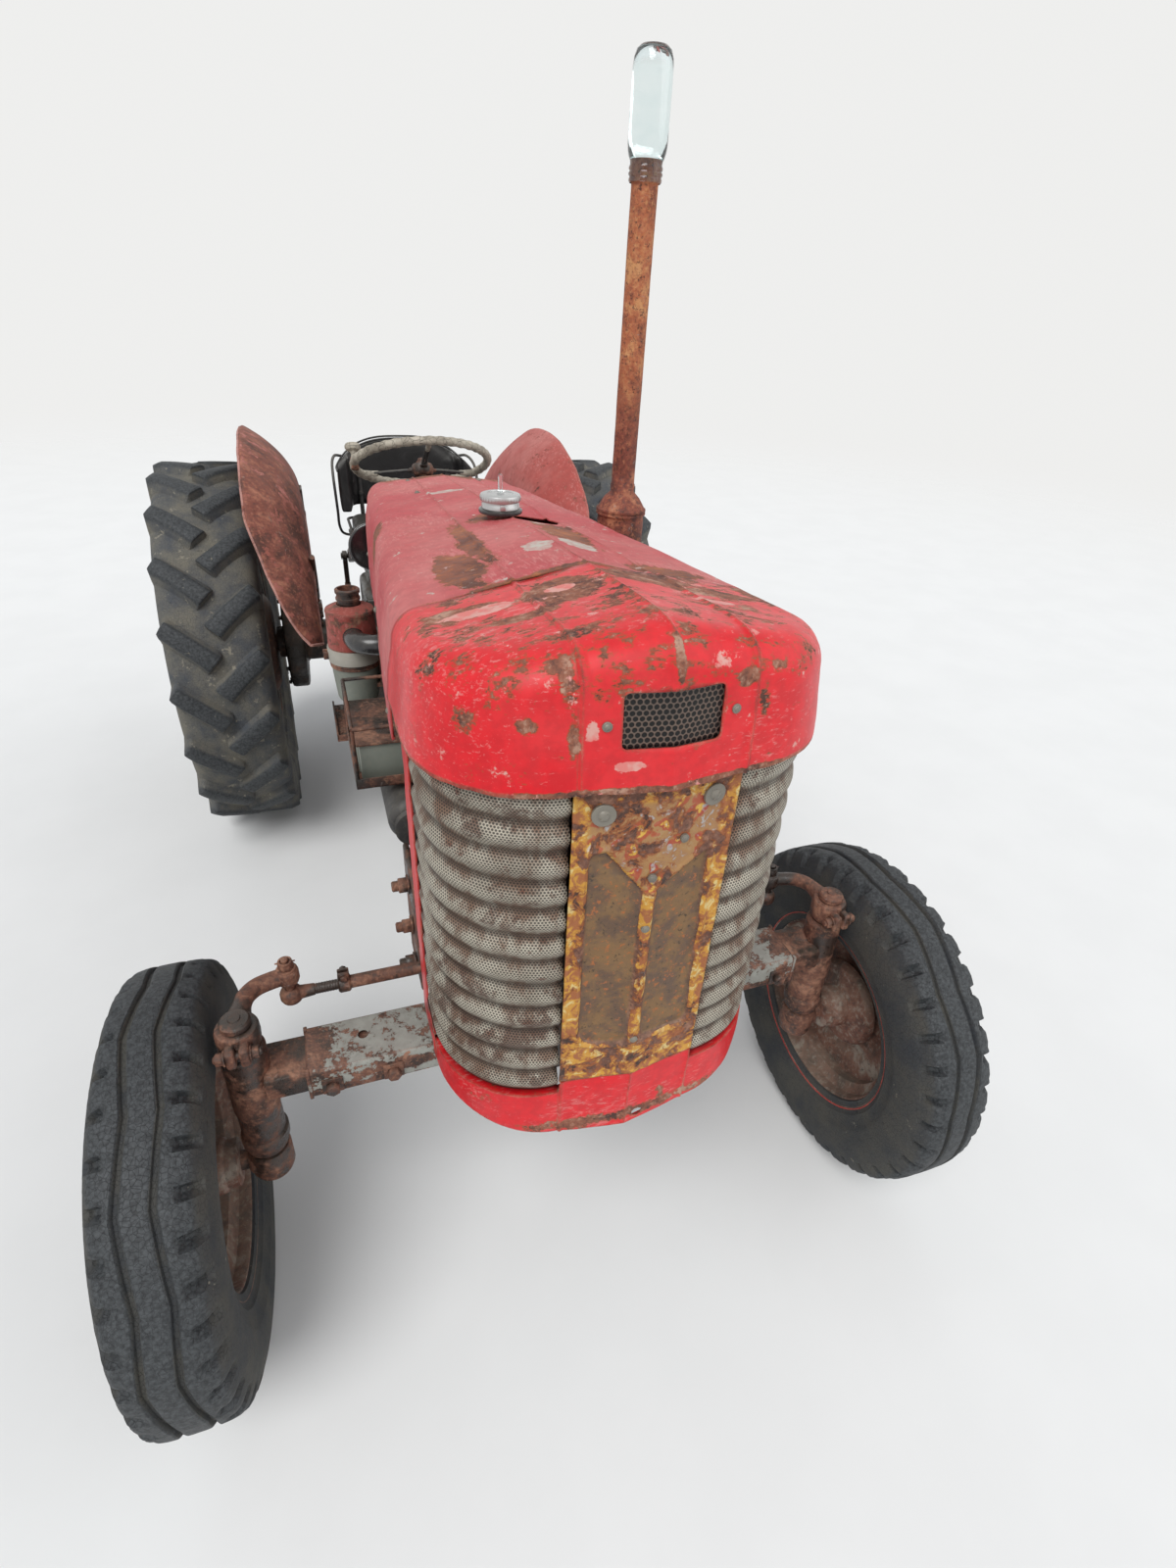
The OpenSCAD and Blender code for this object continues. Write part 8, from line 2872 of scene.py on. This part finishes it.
class TRACTOR_OT_gearbox(bpy.types.Operator):
    """Clutch housing, gearbox with ribs, levers, pedals and footrests"""

    bl_idname = "tractor.gearbox"
    bl_label = "Gearbox and footrests"

    def execute(self, context):
        bm = bmesh.new()
        block(bm, (-174, 1001, 442), (174, 1058, 879), 12, segments=3)
        block(bm, (-139, 1050, 452), (139, 1402, 859), 40, segments=5)
        block(bm, (-159, 1394, 432), (159, 1702, 849), 34, segments=4)
        block(bm, (-166, 1384, 426), (166, 1404, 855), 12, segments=3)
        for s in (1, -1):
            bolt_row(bm, (s * 158, 1056, 470), (s * 158, 1056, 860), 6, BACK, 18, 9)
            bolt_row(bm, (s * 154, 1404, 460), (s * 154, 1404, 830), 5, BACK, 16, 8)
            for z in (520, 640, 760):
                block(bm, (s * 134, 1090, z - 6), (s * 146, 1380, z + 6), 4)
            block(bm, (s * 156, 1440, 560), (s * 164, 1640, 740), 8, segments=3)
            for z in (576, 724):
                bolt_row(bm, (s * 164, 1456, z), (s * 164, 1624, z), 4, (s, 0, 0), 13, 6)
        block(bm, (-90, 1430, 846), (90, 1600, 868), 8, segments=3)
        for y in (1444, 1586):
            bolt_row(bm, (-76, y, 868), (76, y, 868), 3, UP, 15, 7)
        piece("gearbox_casting", bm, "iron", "castings", ["transmission_case"])
        bm = bmesh.new()
        # gear levers with their knobs
        for x, lean, tall in ((-22, -40, 250), (34, 30, 190)):
            lathe(bm, [(30, 866), (24, 878), (14, 890), (9, 894)], (x, 1520, 0), UP, 28)
            top = Vector((x + lean * 0.4, 1520 + lean, 880 + tall))
            tube(bm, smoothed([(x, 1520, 880), (x, 1522, 940), (x + lean * 0.2, 1520 + lean * 0.6,
                                                                880 + tall * 0.7), top], 6), 13, 12)
            part = bmesh.new()
            bmesh.ops.create_uvsphere(part, u_segments=20, v_segments=12, radius=17)
            join(bm, part, 0, Matrix.Translation(top))
        # cross shaft and pedals
        bar(bm, (-299, 1330, 560), (299, 1330, 560), 33, steps=32)
        for s in (1, -1):
            for x in (s * 214, s * 262):
                bar(bm, (x - 13, 1330, 560), (x + 13, 1330, 560), 54, round_by=4, steps=32)
                tube(bm, smoothed([(x, 1330, 578), (x, 1334, 640), (x + s * 4, 1322, 700),
                                   (x + s * 8, 1290, 742)], 6), 22, 12, flat=0.7)
                turn = (Matrix.Translation((x + s * 8, 1282, 752))
                        @ about(radians(-48), "X"))
                block(bm, (-34, -26, -5), (34, 26, 5), 4, 0, turn)
                for i in range(5):
                    block(bm, (-32, -22 + 10 * i, 4), (32, -18 + 10 * i, 8), 1, 0, turn)
        # footrests with raised treads and brackets
        for s in (1, -1):
            x0, x1 = sorted((s * 180, s * 340))
            block(bm, (x0, 1340, 470), (x1, 1600, 478), 3)
            block(bm, (x0, 1340, 478), (x1, 1345, 494), 2)
            block(bm, (s * 337 - 3, 1340, 470), (s * 337 + 3, 1600, 494), 2)
            for i in range(7):
                for j in range(11):
                    turn = (Matrix.Translation((x0 + 18 + 20 * i, 1364 + 22 * j, 478.5))
                            @ Matrix.Rotation(radians(45 if (i + j) % 2 else -45), 4, "Z"))
                    block(bm, (-7, -1.8, -1), (7, 1.8, 1.6), 0.8, 0, turn, 1)
            block(bm, (s * 158, 1420, 468), (s * 184, 1460, 500), 4)
            tube(bm, [(s * 170, 1440, 520), (s * 240, 1450, 472), (s * 320, 1460, 466)], 16, 10)
        piece("footrests_steel", bm, "rust", "rusty_steel", ["footrests"])
        return {"FINISHED"}


class TRACTOR_OT_rear_axle(bpy.types.Operator):
    """Rear housing with its trumpets, brake drums and the hydraulic cover"""

    bl_idname = "tractor.rear_axle"
    bl_label = "Rear axle"

    def execute(self, context):
        bm = bmesh.new()
        block(bm, (-179, 1700, 421), (179, 2059, 809), 30, segments=4)
        block(bm, (-184, 1696, 416), (184, 1716, 814), 10, segments=3)
        for s in (1, -1):
            turn = Matrix.Translation((0, REAR_Y, REAR_R)) @ about(s * pi / 2, "Y")
            spin_part(bm, [(110, 176), (128, 178), (130, 182), (130, 196), (126, 199), (112, 204),
                           (96, 226), (82, 262), (74, 300), (70, 340), (70, 392), (76, 398),
                           (150, 404), (162, 408), (165, 414), (165, 456), (162, 464), (150, 468),
                           (56, 470), (55, 494), (30.4, 494), (30.4, 440)], turn, 72)
            bolt_ring(bm, turn, 119, 198, 10, 18, 9, turn=tau / 10)
            bolt_ring(bm, turn, 150, 468, 10, 14, 7, turn=tau / 10)
            for i in range(24):
                spin = turn @ about(tau * i / 24)
                block(bm, (161, -2.5, 414), (166, 2.5, 456), 1, 0, spin)
            bar(bm, (s * 178, LINK_Y, LINK_Z), (s * 251.6, LINK_Y, LINK_Z), 24.6, round_by=2)
            bolt_row(bm, (s * 164, 2059, 450), (s * 164, 2059, 780), 5, BACK, 17, 8)
        lathe(bm, [(0, 2058), (70, 2058), (72, 2062), (70, 2066), (40, 2068), (17.6, 2068),
                   (17.6, 2000)], (0, 0, POWER_Z), BACK, 48)
        for i in range(6):
            a = tau * i / 6
            bolt(bm, (58 * cos(a), 2066, POWER_Z + 58 * sin(a)), BACK, 13, 6)
        bar(bm, (0, 1880, 414), (0, 1880, 424), 40, round_by=3)
        piece("rear_housing_casting", bm, "iron", "castings", ["rear_axle_housing"])
        bm = bmesh.new()
        block(bm, (-149, 1701, 810), (149, 2054, 871), 16, segments=3)
        block(bm, (-156, 1696, 810), (156, 2057, 820), 4)
        block(bm, (-119, 1901, 866), (119, 2029, 949), 26, segments=4)
        for s in (1, -1):
            bolt_row(bm, (s * 138, 1716, 871), (s * 138, 2040, 871), 6, UP, 16, 8)
            bar(bm, (s * 112, LIFT_Y, LIFT_Z), (s * 124, LIFT_Y, LIFT_Z), 84, round_by=4, steps=40)
        # quadrant and its levers
        block(bm, (126, 1780, 868), (134, 1900, 1000), 6)
        for y, lean in ((1812, -46), (1850, -10)):
            path = [(140, y, 880), (142, y + lean * 0.3, 950), (144, y + lean, 1052)]
            tube(bm, smoothed(path), 9, 10)
            bar(bm, (144, y + lean - 2, 1046), (145, y + lean - 12, 1092), 20, 26, 7, 20)
        piece("hydraulic_casting", bm, "iron", "castings", ["hydraulic_cover"])
        return {"FINISHED"}


class TRACTOR_OT_linkage(bpy.types.Operator):
    """Lift arms and rods, lower links, drawbar and power shaft"""

    bl_idname = "tractor.linkage"
    bl_label = "Rear linkage"

    def execute(self, context):
        bm = bmesh.new()
        bar(bm, (-204, LIFT_Y, LIFT_Z), (204, LIFT_Y, LIFT_Z), 54, round_by=3, steps=40)
        turn = Matrix.Translation((0, LIFT_Y, LIFT_Z)) @ about(radians(-20), "X")
        for s in (1, -1):
            part = bmesh.new()
            block(part, (-11, 0, -26), (11, LIFT_LONG, 26), 5, segments=3)
            for v in part.verts:
                v.co.z *= 1.0 - 0.28 * max(0.0, sin(pi * v.co.y / LIFT_LONG))
            join(bm, part, 0, turn @ Matrix.Translation((s * 190, 0, 0)))
            for y, d in ((0, 78), (LIFT_LONG, 51)):
                a = turn @ Vector((s * 178, y, 0))
                b = turn @ Vector((s * 202, y, 0))
                bar(bm, a, b, d, round_by=4, steps=36)
            for x0, x1, z, d in ((196, 229, 0, 17.6), (226, 226, 14, 4)):
                bar(bm, turn @ Vector((s * x0, LIFT_LONG, -z)),
                    turn @ Vector((s * x1, LIFT_LONG, z)), d)
        piece("lift_arms_forging", bm, "brown", "castings", ["lift_arms"], body="lift_shaft")
        bm = bmesh.new()
        top = turn @ Vector((0, LIFT_LONG, 0))
        droop = radians(DROOP)
        low = Vector((0, LINK_Y + 400 * cos(droop), LINK_Z - 400 * sin(droop)))
        for s in (1, -1):
            a, b = Vector((s * 214, top.y, top.z)), Vector((s * 212, low.y, low.z))
            lathe(bm, [(9.2, -9), (18, -9), (20, -7), (20, 7), (18, 9), (9.2, 9), (9.2, -9)], a,
                  LEFT, 32)
            lathe(bm, [(14.2, -9), (20, -9), (22, -7), (22, 7), (20, 9), (14.2, 9), (14.2, -9)],
                  b, LEFT, 32)
            way = (b - a).normalized()
            far = (b - a).length
            bar(bm, a + way * 18, a + way * (far - 20), 19, round_by=1)
            bar(bm, a + way * (far * 0.3), a + way * (far * 0.62), 30, round_by=5, steps=28)
            for t in (0.27, 0.64):
                bolt(bm, a + way * (far * t), way, 27, 12, 0)
        piece("lift_rods_steel", bm, "brown", "rusty_steel", ["lift_rods"], body="lift_rod_pair")
        for s, name in SIDES:
            bm = bmesh.new()
            turn = (Matrix.Translation((s * 235, LINK_Y, LINK_Z))
                    @ about(radians(-DROOP), "X"))
            part = bmesh.new()
            block(part, (-9, 26, -28), (9, 742, 28), 4)
            join(bm, part, 0, turn)
            at = turn @ Vector((0, 0, 0))
            lathe(bm, [(12.6, -10), (25, -10), (28, -7), (28, 7), (25, 10), (12.6, 10),
                       (12.6, -10)], at, LEFT, 40)
            at = turn @ Vector((0, 765, 0))
            lathe(bm, [(11.4, -20), (23, -20), (28, -14), (31, 0), (28, 14), (23, 20), (11.4, 20),
                       (11.4, -20)], at, LEFT, 48)
            lathe(bm, [(24, -12), (30, -11), (30.8, 0), (30, 11), (24, 12)], at, LEFT, 48)
            inner = -s * 37
            bar(bm, turn @ Vector((0, 400, 0)), turn @ Vector((inner, 400, 0)), 17.6)
            bar(bm, turn @ Vector((0, 400, 0)), turn @ Vector((-s * 12, 400, 0)), 30, steps=28)
            bar(bm, turn @ Vector((inner * 0.93, 400, -13)),
                turn @ Vector((inner * 0.93, 400, 13)), 4)
            # check chain's lug
            block(bm, (-s * 9 - 8, 300, -14), (-s * 9 + 8, 330, 14), 4, 0, turn)
            piece(f"lower_link_{name}_steel", bm, "brown", "rusty_steel", [f"lower_link_{name}"],
                  body=f"lower_link_{name}_body")
        bm = bmesh.new()
        part = bmesh.new()
        block(part, (-39, 1801, 390), (39, 2419, 420), 5)
        cut_round_hole(part, (0, 2380, 420), 12)
        join(bm, part, 0)
        for x in (-28, 28):
            for y in (1830, 1990):
                bolt(bm, (x * 0.9, y, 390), DOWN, 20, 9)
        block(bm, (-52, 2028, 386), (52, 2052, 424), 4)
        piece("drawbar_steel", bm, "brown", "rusty_steel", ["drawbar"])
        bm = bmesh.new()
        low_end, high_end = node_box("pto_shaft")
        end = high_end.y
        bar(bm, (0, low_end.y, POWER_Z), (0, end - 52, POWER_Z), 34.4, round_by=1, steps=36)
        lathe(bm, [(17, 2066), (23, 2066), (23, end - 54), (21, end - 50), (17, end - 48)],
              (0, 0, POWER_Z), BACK, 40)
        for i in range(6):
            spin = Matrix.Translation((0, end, POWER_Z)) @ about(pi / 2, "X")
            spin = spin @ about(tau * i / 6)
            block(bm, (11, -4.2, 1), (17.2, 4.2, 48), 0.8, 0, spin)
        bar(bm, (0, end - 50, POWER_Z), (0, end - 1, POWER_Z), 28, round_by=2, steps=36)
        piece("power_shaft_splines", bm, "oily", "rusty_steel", ["pto_shaft"], body="power_shaft")
        return {"FINISHED"}


PIECES_IN_ORDER = [
    "nose_cap", "vent", "hood", "grille", "centre_panel", "grille_frame", "front_tyres",
    "rear_tyres", "front_wheels", "rear_wheels", "front_axle", "knuckles", "steering_rods",
    "bolster", "fenders", "seat", "steering_wheel", "steering_box", "dash", "exhaust",
    "air_cleaner", "side_fittings", "fuel_cap", "radiator", "fan", "engine", "engine_top",
    "gearbox", "rear_axle", "linkage",
]


class TRACTOR_PT_panel(bpy.types.Panel):
    """Lists the tractor's pieces"""

    bl_idname = "TRACTOR_PT_panel"
    bl_label = "Vintage tractor"
    bl_space_type = "VIEW_3D"
    bl_region_type = "UI"
    bl_category = "Tractor"

    def draw(self, context):
        for made in OPERATORS:
            self.layout.operator(made.bl_idname)


OPERATORS = [c for name, c in sorted(globals().items()) if name.startswith("TRACTOR_OT_")]
ORDER = ["frame_finishes", *PIECES_IN_ORDER, "stage"]


def register():
    """Registers the properties, the operators and the panel."""
    for made in (TractorColours, TractorSizes, *OPERATORS, TRACTOR_PT_panel):
        bpy.utils.register_class(made)
    bpy.types.Scene.tractor_colours = bpy.props.PointerProperty(type=TractorColours)
    bpy.types.Scene.tractor_sizes = bpy.props.PointerProperty(type=TractorSizes)


def unregister():
    """Takes them out again."""
    del bpy.types.Scene.tractor_sizes
    del bpy.types.Scene.tractor_colours
    for made in (TRACTOR_PT_panel, *reversed(OPERATORS), TractorSizes, TractorColours):
        bpy.utils.unregister_class(made)


def main():
    """Builds every piece in order and writes the sizes."""
    register()
    for name in ORDER:
        getattr(bpy.ops.tractor, name)()
    low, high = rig.bounds()
    boxes = {"cad": [list(v) for v in CAD_BOX], "visual": [list(low), list(high)]}
    with open("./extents.json", "w") as out:
        json.dump(boxes, out)


if __name__ == "__main__":
    main()
